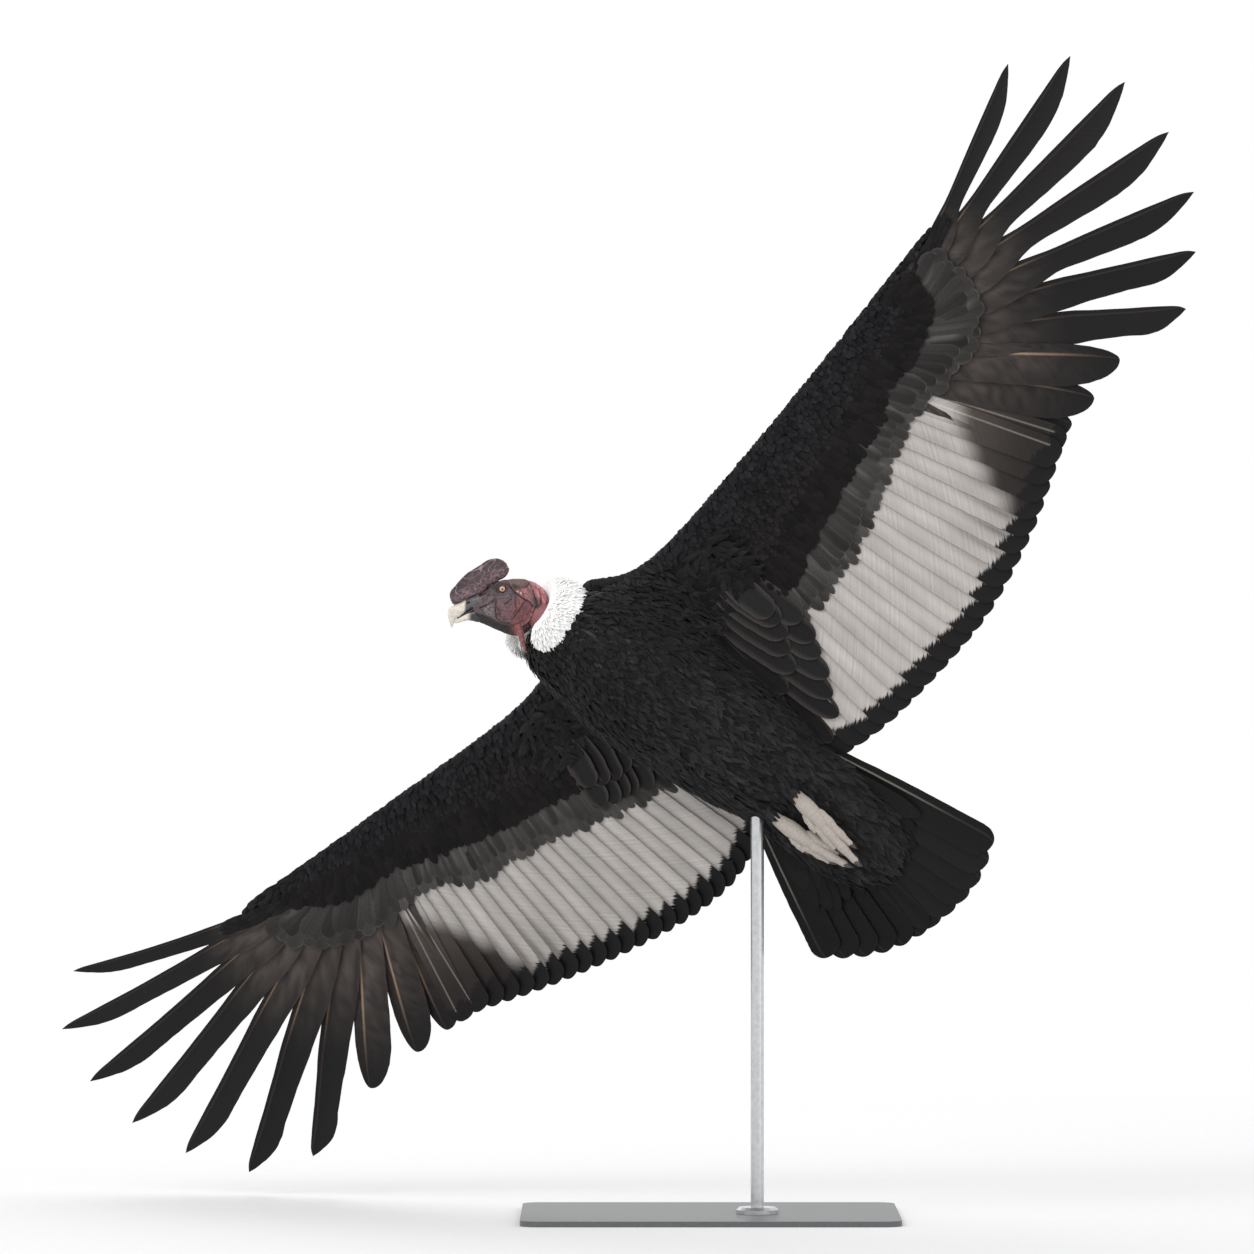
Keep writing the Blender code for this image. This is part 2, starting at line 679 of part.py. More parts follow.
def covert(side, root, tip, level, width, stand_off=0.0):
    """A greater covert over the root of a flight feather, below it or above it."""
    along = tip - root
    clearance = COVERT_CLEARANCE[level] + level * stand_off
    points = []
    for s in COVERT_SHAPE["stations"]:
        place = root + along * s
        points.append(on_wing(side, place.x, place.y, clearance * (0.35 + 0.65 * s)))
    sides, normals = shaft_frames(side, points, LOUVRE)
    inner = [width * w * (1 - OUTER_SHARE) for w in COVERT_SHAPE["width"]]
    outer = [width * w * OUTER_SHARE for w in COVERT_SHAPE["width"]]
    return vane(points, sides, normals, inner, outer)


def axillaries(side):
    """The long dark feathers that fan from the armpit over the inner secondaries."""
    made = []
    for index in range(AXILLARIES):
        t = index / (AXILLARIES - 1)
        root = Vector(AXILLARY_ROOTS[0]).lerp(Vector(AXILLARY_ROOTS[1]), t)
        tip = Vector(AXILLARY_TIPS[0]).lerp(Vector(AXILLARY_TIPS[1]), t)
        made.append(covert(side, root, tip, -1, AXILLARY_WIDTH, AXILLARY_STAND_OFF))
    return made


def wing_core(side):
    """The fleshy, feathered arm as one tapering blade, thick in front and thin behind."""
    rings = []
    for out in CORE_STATIONS:
        front, rear = read(LEADING_EDGE[side], out), read(CORE_REAR, out)
        thick = read(CORE_THICKNESS, out)
        ring = []
        for u, rise in CORE_RING:
            ring.append(on_wing(side, out, mix(front, rear, u), rise * thick))
        rings.append(ring)
    return loft(rings)


def boundary(side, outer_ends, inner_ends):
    """A plane between two neighbouring feathers, as a point and its outward normal."""
    root, tip = (far.lerp(near, CUT_SHARE) for far, near in zip(outer_ends, inner_ends))
    start, end = on_wing(side, *root), on_wing(side, *tip)
    outward = (end - start).cross(Vector((0.0, 0.0, 1.0))).normalized()
    if outward.y * side < 0:
        outward = -outward
    return start, outward


def wing(side):
    """The nodes of one wing, from hand to upper arm, parted by two thin cuts."""
    name = SIDE_NAME[side]
    split = FOREARM_SECONDARIES
    hand_ends = (primary_root(0), primary_tip(side, 0))
    wrist_cut = boundary(side, hand_ends, secondary_ends(side, 0))
    elbow_cut = boundary(side, secondary_ends(side, split - 1), secondary_ends(side, split))
    inner_vanes = secondaries(side, split, SECONDARIES, ARM_COVERTS) + axillaries(side)
    spans = (
        ("wing_hand_" + name, None, wrist_cut, primaries(side)),
        ("wing_forearm_" + name, wrist_cut, elbow_cut, secondaries(side, 0, split, FOREARM_COVERTS)),
        ("wing_arm_" + name, elbow_cut, None, inner_vanes),
    )
    nodes = []
    for node_name, outer_cut, inner_cut, vanes in spans:
        core = wing_core(side)
        kept = []
        for bm in [core] + vanes:
            whole = True
            if outer_cut:
                point, outward = outer_cut
                whole = trim(bm, point - outward * (CUT_GAP / 2), outward)
            if whole and inner_cut:
                point, outward = inner_cut
                whole = trim(bm, point + outward * (CUT_GAP / 2), -outward)
            if whole:
                kept.append(bm)
        node = as_object(node_name, kept[0], "plumage_black")
        pieces = [
            as_object(f"{node_name}_vane_{k}", bm, "flight_feather") for k, bm in enumerate(kept[1:])
        ]
        fuse(node, pieces)
        nodes.append(node)
    return nodes


# The body


def body_form(sections, count):
    """A closed form along the body, from sections of fore, left, up, half width and half height."""
    left, up = Vector((0, 1, 0)), Vector((0, 0, 1))
    rings = [oval(Vector(row[:3]), left, up, row[3], row[4], count) for row in sections]
    return loft(rings)


def torso():
    return as_object("torso", body_form(TORSO_SECTIONS, 18), "plumage_black")


def tail_vane(spread, reach, width, shape, height=0.0, rise=0.0):
    """A tail feather of the fan, its outer edge raised; spread runs from -1 right to 1 left."""
    angle = math.pi + TAIL_AXIS - spread * TAIL_HALF_FAN
    direction = Vector((math.cos(angle), math.sin(angle), 0.0))
    outward = Vector((direction.y, -direction.x, 0.0)) * math.copysign(1.0, spread)
    up = Vector((0.0, 0.0, 1.0))
    points = []
    for s in shape["stations"]:
        points.append(TAIL_APEX + direction * mix(TAIL_START, reach, s) + up * (height + rise * s))
    count = len(points)
    sides = [outward * math.cos(TAIL_TILT) + up * math.sin(TAIL_TILT)] * count
    normals = [up * math.cos(TAIL_TILT) - outward * math.sin(TAIL_TILT)] * count
    inner, outer = ([width * w * share for w in shape["width"]] for share in TAIL_SHARES)
    return vane(points, sides, normals, inner, outer)


def tail():
    """Twelve tail feathers fanned from one fleshy root, with coverts above and below."""
    node = as_object("tail", body_form(TAIL_ROOT_SECTIONS, 14), "plumage_black")
    made = [body_form(VENT_SECTIONS, 12)]
    for index in range(TAIL_FEATHERS):
        spread = (index + 0.5) / TAIL_FEATHERS * 2 - 1
        height = 0.0015 if index == TAIL_FEATHERS // 2 else 0.0
        made.append(
            tail_vane(spread, read(TAIL_REACH, spread), TAIL_WIDTH, ROUNDED_SHAPE, height)
        )
    for level in (-1, 1):
        for index in range(TAIL_COVERTS):
            spread = (index + 0.5) / TAIL_COVERTS * 2 - 1
            reach = TAIL_COVERT_REACH[level] * (1 - 0.06 * spread * spread)
            height = level * (0.012 - 0.004 * abs(spread))
            fan = TAIL_COVERT_FAN[level]
            made.append(
                tail_vane(fan * spread, reach, TAIL_COVERT_WIDTH, COVERT_SHAPE, height, -0.2 * height)
            )
    fuse(node, [as_object(f"tail_form_{k}", bm, "plumage_black") for k, bm in enumerate(made)])
    return node


# Head, neck and ruff, placed from the upright head


def head_matrix():
    """Places the upright head in the bird's frame."""
    bill = Vector((-math.cos(HEAD_DIP), 0.0, -math.sin(HEAD_DIP)))
    left = Vector((0.0, -1.0, 0.0))
    crown = bill.cross(left)
    turn = Matrix((bill, left, crown)).transposed().to_4x4()
    return UNBANK @ Matrix.Translation(HEAD_PLACE) @ turn


HEAD = head_matrix()


def on_head(x, y, z):
    return HEAD @ Vector((x, y, z))


def stand_point(x, y, z):
    """A point given in the stand's frame, in the bird's."""
    return UNBANK @ Vector((x, y, z))


def head_profile(sections, count, squareness=1.0):
    """A closed form along the head, from sections of place, middle, half height and half width."""
    rings = []
    across = HEAD.to_3x3() @ Vector((0, 1, 0))
    upward = HEAD.to_3x3() @ Vector((0, 0, 1))
    for x, middle, half_height, half_width in sections:
        rings.append(
            oval(on_head(x, 0, middle), across, upward, half_width, half_height, count, squareness)
        )
    return loft(rings)


def ball(name, centre, radii, finish, detail=2):
    """A closed rounded lump with one radius along each of the head's axes."""
    bm = bmesh.new()
    bmesh.ops.create_icosphere(bm, subdivisions=detail, radius=1.0)
    turn = HEAD.to_3x3()
    for vertex in bm.verts:
        local = Vector(a * b for a, b in zip(vertex.co, radii))
        vertex.co = HEAD @ centre + turn @ local
    return as_object(name, bm, finish)


def head_fold(name, points, radii, finish="skin_red", count=5):
    """A soft ridge of skin along points of the head's frame."""
    path = [on_head(*point) for point in points]
    guide = HEAD.to_3x3() @ Vector((1.0, 0.3, 0.2))
    return as_object(name, tube(path, radii, count, guide=guide), finish)


def cheek(x, height, proud=0.0):
    """Half width of the head at a place along it and a height, with proud added."""
    rows = sorted(HEAD_SECTIONS)
    middle = read([(row[0], row[1]) for row in rows], x)
    half_height = read([(row[0], row[2]) for row in rows], x)
    half_width = read([(row[0], row[3]) for row in rows], x)
    up = max(-0.98, min(0.98, (height - middle) / half_height))
    return half_width * math.sqrt(1 - up * up) + proud


def head():
    """The bare head with its eye lids, cheek and nape folds and the line of the mouth."""
    return as_object("head", head_profile(HEAD_SECTIONS, 16), "skin_red")


def dress_head(node):
    """Adds the folds, lobes and lids to the head, and cuts its eye sockets and its mouth line."""
    pieces = []
    for side in (LEFT, RIGHT):
        name = SIDE_NAME[side]
        lobe = Vector((NAPE_LOBE.x, side * NAPE_LOBE.y, NAPE_LOBE.z))
        pieces.append(ball(f"nape_lobe_{name}", lobe, NAPE_LOBE_RADII, "skin_red"))
        for fold, (x_top, z_top, reach) in enumerate(NAPE_FOLDS):
            points, radii = [], []
            for k in range(6):
                t = k / 5
                z = z_top - reach * t
                x = x_top - 0.014 * math.sin(math.pi * t) + 0.016 * t
                points.append((x, side * cheek(x, z, -0.001), z))
                radii.append(0.0045 * math.sin(math.pi * (0.12 + 0.76 * t)) + 0.001)
            pieces.append(head_fold(f"fold_{name}_{fold}", points, radii))
        lid = []
        for k in range(LID_SIDES):
            angle = 2 * math.pi * k / LID_SIDES
            x, z = LID_RADIUS * math.cos(angle), LID_RADIUS * math.sin(angle)
            lid.append(on_head(x, side * cheek(x, z, 0.0005), z))
        pieces.append(as_object(f"lid_{name}", ring(lid, LID_THICKNESS, 5), "skin_red"))
    strip = [stand_point(x, y, z) for x, y, z, _ in THROAT_STRIP]
    radii = [row[3] for row in THROAT_STRIP]
    pieces.append(as_object("throat_strip", tube(strip, radii, 7), "skin_red"))
    fuse(node, pieces)
    for side in (LEFT, RIGHT):
        centre = Vector((EYE.x, side * EYE.y, EYE.z))
        socket = ball("socket", centre, [EYE_RADIUS + CUT_GAP] * 3, "skin_red")
        carve(node, socket)
        remove([socket])
        path = [(x, side * cheek(x, z, 0.0005), z) for x, z in MOUTH_LINE]
        groove = head_fold("groove", path, MOUTH_RADII, count=6)
        carve(node, groove)
        remove([groove])


def ring(path, radius, count):
    """A closed torus-like ring through the points of a loop."""
    centre = sum(path, Vector()) / len(path)
    bm = bmesh.new()
    rows = []
    for k, point in enumerate(path):
        ahead = (path[(k + 1) % len(path)] - path[k - 1]).normalized()
        out = (point - centre).normalized()
        side = ahead.cross(out).normalized()
        rows.append([bm.verts.new(p) for p in oval(point, out, side, radius, radius, count)])
    for k, near in enumerate(rows):
        far = rows[(k + 1) % len(rows)]
        for i in range(count):
            j = (i + 1) % count
            bm.faces.new((near[i], near[j], far[j], far[i]))
    return bm


def eyes():
    made = []
    for side in (LEFT, RIGHT):
        centre = Vector((EYE.x, side * EYE.y, EYE.z))
        name = "eye_" + SIDE_NAME[side]
        made.append(ball(name, centre, [EYE_RADIUS] * 3, "eye_amber"))
    return made


def bill(head_node):
    upper = as_object("bill_upper", head_profile(BILL_UPPER, 12), "bill_ivory")
    lower = as_object("bill_lower", head_profile(BILL_LOWER, 12), "bill_ivory")
    across = HEAD.to_3x3() @ Vector((0, 1, 0))
    nostril = [on_head(NOSTRIL[0], y, NOSTRIL[1]) for y in (-0.03, 0.03)]
    passage = tube(nostril, (NOSTRIL_RADIUS, NOSTRIL_RADIUS), 10, guide=across.orthogonal())
    hole = as_object("nostril", passage, "bill_ivory")
    carve(upper, hole)
    remove([hole])
    clear_of(lower, upper)
    for piece in (upper, lower):
        clear_of(piece, head_node)
    return [upper, lower]


def comb():
    """The fleshy comb: a tall narrow blade with a row of bulbs and folds along its foot."""
    sections = [(x, (low + high) / 2, (high - low) / 2, wide) for x, low, high, wide in COMB_SECTIONS]
    node = as_object("comb", head_profile(sections, 14, squareness=0.8), "comb_dark")
    pieces = []
    for side in (LEFT, RIGHT):
        for k in range(COMB_BULBS):
            x = mix(0.096, 0.004, k / (COMB_BULBS - 1))
            low = read([(row[0], row[1]) for row in COMB_SECTIONS], x)
            high = read([(row[0], row[2]) for row in COMB_SECTIONS], x)
            centre = Vector((x, side * 0.0085, mix(low, high, 0.36 + 0.10 * (k % 2))))
            radii = (0.0105, 0.0065, 0.0080 + 0.002 * (k % 2))
            pieces.append(ball(f"bulb_{k}", centre, radii, "comb_dark"))
        points, radii = [], []
        for k in range(8):
            t = k / 7
            x = mix(0.095, -0.008, t)
            low = read([(row[0], row[1]) for row in COMB_SECTIONS], x)
            high = read([(row[0], row[2]) for row in COMB_SECTIONS], x)
            points.append((x, side * 0.0105, mix(low, high, 0.66 + 0.05 * math.sin(9 * t))))
            radii.append(0.0034 * math.sin(math.pi * (0.1 + 0.8 * t)) + 0.001)
        pieces.append(head_fold("comb_fold", points, radii, "comb_dark"))
    fuse(node, pieces)
    return node


def neck():
    """The bare neck from the chest to the head."""
    path = [stand_point(x, HEAD_PLACE.y, 1.238 - 0.45 * (x + 0.05)) for x, _ in NECK_STATIONS]
    return as_object("neck", tube(path, [radius for _, radius in NECK_STATIONS], 14), "skin_red")


def ruff_frame(angle):
    """Outward and forward directions of the collar at an angle from the throat."""
    throat = Vector((-0.50, 0.0, -0.86))
    throat = (throat - RUFF_AXIS * throat.dot(RUFF_AXIS)).normalized()
    across = RUFF_AXIS.cross(throat)
    return throat * math.cos(angle) + across * math.sin(angle)


def ruff_middle(angle):
    """The collar's centre line, drawn forward below the throat at its far end."""
    middle = RUFF_CENTRE + ruff_frame(angle) * RUFF_RADIUS
    past = (angle - RUFF_FAR_FROM) / (2 * math.pi - RUFF_OPENING - RUFF_FAR_FROM)
    past = min(max(past, 0.0), 1.0)
    return middle.lerp(RUFF_FAR_END, past * past * (3 - 2 * past))


def ruff():
    """The white collar: a soft core with four rows of flat tapered locks."""
    rings, steps = [], 16
    for k in range(steps + 1):
        angle = mix(RUFF_OPENING, 2 * math.pi - RUFF_OPENING, k / steps)
        fade = 0.45 + 0.55 * min(1.0, min(k, steps - k) / 3)
        half_width, half_height = RUFF_CORE * 0.8 * fade, RUFF_CORE * 1.25 * fade
        section = oval(ruff_middle(angle), ruff_frame(angle), RUFF_AXIS, half_width, half_height, 8)
        rings.append([UNBANK @ point for point in section])
    node = as_object("ruff", loft(rings), "down_white")
    pieces = []
    turn = UNBANK.to_3x3()
    for row, (along, lean, length) in enumerate(RUFF_ROWS):
        for k in range(RUFF_LOCKS):
            t = (k + 0.5 * (row % 2) + random.uniform(-0.15, 0.15)) / (RUFF_LOCKS - 0.5)
            first = RUFF_OPENING + RUFF_EDGE
            angle = mix(first, 2 * math.pi - first, min(max(t, 0), 1))
            out = ruff_frame(angle)
            far_lean = RUFF_FAR_LEAN * max(0.0, -math.sin(angle) * math.cos(angle))
            tilt = math.radians(lean + far_lean + random.uniform(-7, 7))
            direction = out * math.cos(tilt) + RUFF_AXIS * math.sin(tilt)
            bend = RUFF_AXIS * math.cos(tilt) - out * math.sin(tilt)
            start = ruff_middle(angle) + RUFF_AXIS * along
            reach = length * random.uniform(0.90, 1.06)
            curl = -math.copysign(0.22, lean if abs(lean) > 20 else 1)
            path = [start + direction * reach * s + bend * curl * reach * s * s for s in (0, 0.6, 1)]
            radii = [RUFF_LOCK_WIDTH / 2 * w for w in (0.80, 0.95, 0.14)]
            bm = tube([UNBANK @ p for p in path], radii, 4, RUFF_LOCK_FLATNESS, turn @ bend)
            pieces.append(as_object(f"lock_{row}_{k}", bm, "down_white"))
    fuse(node, pieces)
    return node


# Legs and feet, trailed back under the tail


def foot(side):
    """One leg from the belly feathers, its toes closed and trailing, with the claws apart."""
    name = SIDE_NAME[side]
    shank = [Vector(row[:3]) for row in SHANKS[side]]
    node = as_object("foot_" + name, tube(shank, [row[3] for row in SHANKS[side]], 10), "foot_scale")
    pieces, claws = [], []
    for toe, (start, end, radius) in enumerate(TOES[side]):
        path, radii = [], []
        for k in range(6):
            t = k / 5
            sag = Vector((0.0, 0.0, -TOE_SAG * math.sin(math.pi * t)))
            path.append(Vector(start).lerp(Vector(end), t) + sag)
            radii.append(radius * (1.0 - 0.34 * t) * (1.0 + 0.09 * math.cos(math.pi * k)))
        pieces.append(as_object(f"toe_{toe}", tube(path, radii, 6), "foot_scale"))
        onward = (path[-1] - path[-2]).normalized()
        claw_path, claw_radii = [], []
        for t, share in ((0.0, 1.0), (0.35, 0.88), (0.7, 0.58), (1.0, 0.10)):
            rise = Vector((0.0, 0.0, CLAW_RISE * t * t))
            claw_path.append(path[-1] + onward * (CLAW_REACH * t - 0.006) + rise)
            claw_radii.append(radius * CLAW_SHARE * share)
        claws.append(as_object(f"claw_{name}_{toe + 1}", tube(claw_path, claw_radii, 6), "claw_horn"))
    fuse(node, pieces)
    for claw in claws:
        clear_of(claw, node)
    return [node] + claws


# Stand


def stand():
    """A flat painted plate with one upright rod in a collar."""
    centre = Vector((ROD_PLACE.x, ROD_PLACE.y, 0.0)) + PLATE_SHIFT
    bm = bmesh.new()
    bmesh.ops.create_cube(bm, size=1.0)
    bmesh.ops.scale(bm, vec=PLATE, verts=bm.verts)
    bmesh.ops.translate(bm, vec=centre + Vector((0, 0, PLATE.z / 2)), verts=bm.verts)
    upright = [edge for edge in bm.edges if edge.verts[0].co.xy == edge.verts[1].co.xy]
    bmesh.ops.bevel(bm, geom=upright, offset=PLATE_CORNER, segments=6, affect="EDGES", profile=0.5)
    plate = as_object("stand_base", bm, "stand_paint")
    low = PLATE.z + GAP
    steps = ((0.0, 1.0), (0.6, 1.0), (1.0, COLLAR_TAPER))
    rings = [flat_ring(low + COLLAR_HEIGHT * rise, COLLAR_RADIUS * share) for rise, share in steps]
    collar = as_object("stand_collar", loft(rings), "stand_steel")
    rod = as_object("stand_rod", rod_shape(ROD_RADIUS, low, ROD_TOP), "stand_steel")
    bore = as_object("bore", rod_shape(ROD_RADIUS + CUT_GAP, low - 0.01, ROD_TOP), "stand_steel")
    carve(collar, bore)
    remove([bore])
    return [plate, collar, rod]


def flat_ring(height, radius):
    """A level ring round the rod's axis."""
    centre = Vector((ROD_PLACE.x, ROD_PLACE.y, height))
    return oval(centre, Vector((1, 0, 0)), Vector((0, 1, 0)), radius, radius, ROD_SIDES)


def rod_shape(radius, low, high):
    return loft([flat_ring(z, radius) for z in (low, high)])


def shade(node):
    """Round faces shade smoothly and sharp edges stay sharp."""
    node.data.shade_smooth()
    node.data.set_sharp_from_angle(angle=SHARP_EDGE)


def clear_scene():
    for obj in list(bpy.data.objects):
        bpy.data.objects.remove(obj)


def main():
    random.seed(SEED)
    clear_scene()
    body = torso()
    skull = head()
    dress_head(skull)
    clear_of(body, skull)
    throat = neck()
    collar = ruff()
    clear_of(collar, throat)
    clear_of(throat, skull, 2 * CUT_GAP)
    clear_of(throat, body)
    crest = comb()
    jaws = bill(skull)
    for neighbour in [skull] + jaws[:1]:
        clear_of(crest, neighbour)
    for neighbour in (skull, body):
        clear_of(collar, neighbour)
    nodes = [body, skull, throat, crest, collar] + jaws + eyes()
    for side in (LEFT, RIGHT):
        made = wing(side)
        clear_of(made[-1], body)
        nodes += made
        legs = foot(side)
        clear_of(legs[0], body)
        nodes += legs
    rear = tail()
    clear_of(rear, body)
    nodes.append(rear)
    hole = rod_shape(ROD_RADIUS + ROD_FIT, SOCKET_FOOT, ROD_TOP + ROD_FIT)
    socket = as_object("rod_socket", hole, "stand_steel")
    socket.data.transform(UNBANK)
    carve(body, socket)
    carve(rear, socket)
    remove([socket])
    bird = bpy.data.objects.new("bird", None)
    bpy.context.scene.collection.objects.link(bird)
    supports = stand()
    corners = [BANK @ vertex.co for node in nodes for vertex in node.data.vertices]
    corners += [vertex.co for node in supports for vertex in node.data.vertices]
    middle = Vector((0.0, 0.0, 0.0))
    for axis in (0, 1):
        middle[axis] = (min(c[axis] for c in corners) + max(c[axis] for c in corners)) / 2
    bird.matrix_world = Matrix.Translation(-middle) @ BANK
    for node in nodes:
        node.parent = bird
    for node in supports:
        node.location = -middle
    for node in nodes + supports:
        shade(node)


main()
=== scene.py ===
"""The looks of a life-size Andean condor: skin, feathers, down, horn, eyes, stand, floor and light.

The bird's frame is as in the model's source: +X forward along the body, +Y to its left, +Z through
its back, origin midway between the shoulders. Points are worked out there, or in the head's frame,
and turned into the stand's frame, where every piece is made.
"""

import math

import bmesh
import bpy
import numpy as np
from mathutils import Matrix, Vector, noise


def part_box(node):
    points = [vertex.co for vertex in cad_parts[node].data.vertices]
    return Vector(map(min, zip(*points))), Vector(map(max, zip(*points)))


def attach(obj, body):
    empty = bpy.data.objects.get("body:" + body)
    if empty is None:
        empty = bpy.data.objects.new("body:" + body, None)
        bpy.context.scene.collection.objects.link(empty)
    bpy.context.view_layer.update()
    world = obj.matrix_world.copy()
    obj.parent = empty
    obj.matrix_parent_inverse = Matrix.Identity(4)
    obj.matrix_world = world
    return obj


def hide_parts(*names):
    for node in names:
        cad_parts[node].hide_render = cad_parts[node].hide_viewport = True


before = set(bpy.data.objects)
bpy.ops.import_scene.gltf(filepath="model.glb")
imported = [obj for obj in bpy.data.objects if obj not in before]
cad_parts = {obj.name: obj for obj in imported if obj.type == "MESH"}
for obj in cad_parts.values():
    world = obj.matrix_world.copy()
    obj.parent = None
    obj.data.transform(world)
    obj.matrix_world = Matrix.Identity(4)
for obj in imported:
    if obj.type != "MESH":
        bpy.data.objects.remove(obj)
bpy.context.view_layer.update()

RANDOM = np.random.default_rng(11)

# Frames
HEADING = math.radians(136.5)
TILT = math.radians(20.0)
SHOULDER_HEIGHT = 1.253
ROD_PLACE = np.array((0.318, -0.040))
HEAD_DIP = math.radians(15.0)
HEAD_PLACE = np.array((-0.2205, -0.070, 1.3327))

# Steps over which the normals of a surface are measured
NORMAL_STEP = 0.004
NORMAL_TURN = 8 * NORMAL_STEP

UP = np.array((0.0, 0.0, 1.0))
LEFT, RIGHT = 1, -1
SIDE_NAME = {LEFT: "left", RIGHT: "right"}
UNDER, UPPER = -1, 1
LEVEL_NAME = {UNDER: "under", UPPER: "upper"}

# Wing planform, out from the midline and forward of the shoulders, before the sweep of each wing
SHOULDER_OUT = 0.12
LEADING_EDGE = {
    LEFT: ((0.04, 0.098), (0.11, 0.050), (0.20, 0.032), (0.40, 0.036), (0.60, 0.047), (0.86, 0.066),
           (1.09, 0.084)),
    RIGHT: ((0.04, 0.098), (0.11, 0.052), (0.20, 0.021), (0.30, 0.012), (0.43, 0.020), (0.69, 0.046),
            (0.86, 0.062), (1.09, 0.089)),
}
CORE_REAR = ((0.04, -0.21), (0.20, -0.185), (0.38, -0.165), (0.58, -0.135), (0.80, -0.088),
             (0.95, -0.040), (1.09, 0.045))
CORE_THICKNESS = ((0.04, 0.080), (0.20, 0.062), (0.40, 0.048), (0.70, 0.038), (0.95, 0.024), (1.09, 0.009))
CORE_PROFILE = {
    UPPER: ((0.0, 0.0), (0.06, 0.30), (0.26, 0.52), (0.62, 0.33), (1.0, 0.05)),
    UNDER: ((0.0, 0.0), (0.06, -0.26), (0.26, -0.38), (0.62, -0.24), (1.0, -0.10)),
}
# Half thickness of the coat behind the core, and how fast the coat thins out to it
REAR_COAT = 0.004
REAR_FADE = 2.5
TRAILING_TIPS = {
    LEFT: ((0.135, -0.545), (0.220, -0.565), (0.302, -0.575), (0.485, -0.574), (0.615, -0.560),
           (0.786, -0.510), (0.955, -0.440)),
    RIGHT: ((0.085, -0.552), (0.190, -0.578), (0.304, -0.576), (0.413, -0.558), (0.571, -0.518),
            (0.700, -0.478), (0.845, -0.424)),
}
WRIST_OUT = 0.80
CORE_END = 1.09
SHOULDER_RISE = 0.02
DIHEDRAL = 0.10
SWEEP = {LEFT: 0.0, RIGHT: math.radians(4.0)}
HAND_REACH = {LEFT: 0.94, RIGHT: 1.06}
FINGER_LIFT = {LEFT: 0.07, RIGHT: 0.05}

# Flight feathers, the innermost primary first
PRIMARY_LENGTH = {
    LEFT: (0.412, 0.442, 0.483, 0.610, 0.643, 0.671, 0.672, 0.647, 0.587, 0.474),
    RIGHT: (0.375, 0.400, 0.463, 0.635, 0.696, 0.702, 0.696, 0.670, 0.622, 0.507),
}
PRIMARY_ANGLE = {
    LEFT: (-59.5, -54.0, -45.9, -38.6, -29.8, -21.1, -11.4, -0.9, 9.2, 19.9),
    RIGHT: (-68.7, -60.7, -48.5, -37.1, -27.6, -17.3, -7.9, 1.7, 12.2, 22.5),
}
PRIMARY_NOTCH = (0.0, 0.0, 0.0, 0.60, 0.54, 0.44, 0.37, 0.33, 0.30, 0.27)
PRIMARY_ROOTS = ((0.800, -0.060), (0.92, -0.030), (1.035, 0.040))
PRIMARIES = 10
ROUNDED_PRIMARIES = 3
FINGER_WIDTH = {
    LEFT: (0.0, 0.0, 0.0, 0.066, 0.063, 0.064, 0.067, 0.067, 0.059, 0.047),
    RIGHT: (0.0, 0.0, 0.0, 0.067, 0.066, 0.063, 0.060, 0.056, 0.047, 0.036),
}
ROUNDED_PRIMARY_WIDTH = 0.089
FINGER_BOW = {
    LEFT: (0.0, 0.0, 0.0, -0.012, -0.011, -0.006, -0.003, 0.003, 0.004, 0.002),
    RIGHT: (0.0, 0.0, 0.0, 0.000, 0.001, 0.002, 0.002, 0.003, 0.004, 0.005),
}
FINGER_NECK = {LEFT: 0.72, RIGHT: 0.98}
SECONDARIES = 22
SECONDARY_ROOT_OUT = (0.775, 0.190)
SECONDARY_ROOT_FORE = 0.025
SECONDARY_WIDTH = 0.066
SECONDARY_DROOP = -0.012
INNER_PRIMARY_LIFT = 0.01
# Share of the full width from the root to the tip, before the tip is rounded
SECONDARY_BODY = ((0.0, 0.75), (0.4, 0.96), (0.85, 1.0), (1.0, 0.98))
ROUNDED_PRIMARY_BODY = ((0.0, 0.70), (0.35, 0.90), (0.70, 1.0), (1.0, 0.98))
FLIGHT_WEAR = 0.008
LOUVRE = math.radians(7.0)
OUTER_SHARE = 0.36
STATIONS = 40
TIP_PACKING = 1.7
FLIGHT_ACROSS = np.array((0.0, 0.10, 0.28, 0.46, 0.60, 0.70, 0.745, 0.79, 0.86, 0.93, 1.0))
FINGER_ACROSS = np.array((0.0, 0.12, 0.30, 0.48, 0.66, 0.80, 0.845, 0.89, 0.92, 0.96, 1.0))
FLIGHT_RACHIS, FINGER_RACHIS, MIDDLE_RACHIS = 0.745, 0.845, 0.5
FLIGHT_THICKNESS = 0.0006
FLIGHT_ARCH = 0.045
FLIGHT_SHAFT = 0.0017
# How far the pale brown of the first finger reaches, as a share, and how much less in each further one
PALE_REACH, PALE_LOSS = 0.62, 0.045
# Number of the secondary, counted from the hand, where the white ones begin
WHITE_FROM = {LEFT: 3.0, RIGHT: 3.2}
# How far from the tip the white of the outer secondaries begins, and half the width of its border
WHITE_EDGE = ((-0.5, 0.250), (0.0, 0.225), (1.0, 0.190), (2.0, 0.145), (3.0, 0.085), (4.0, 0.045),
              (5.0, -0.10))
WHITE_BLUR = 0.035
BLACK_TIP = 0.046
WHITE_SLANT = 0.026

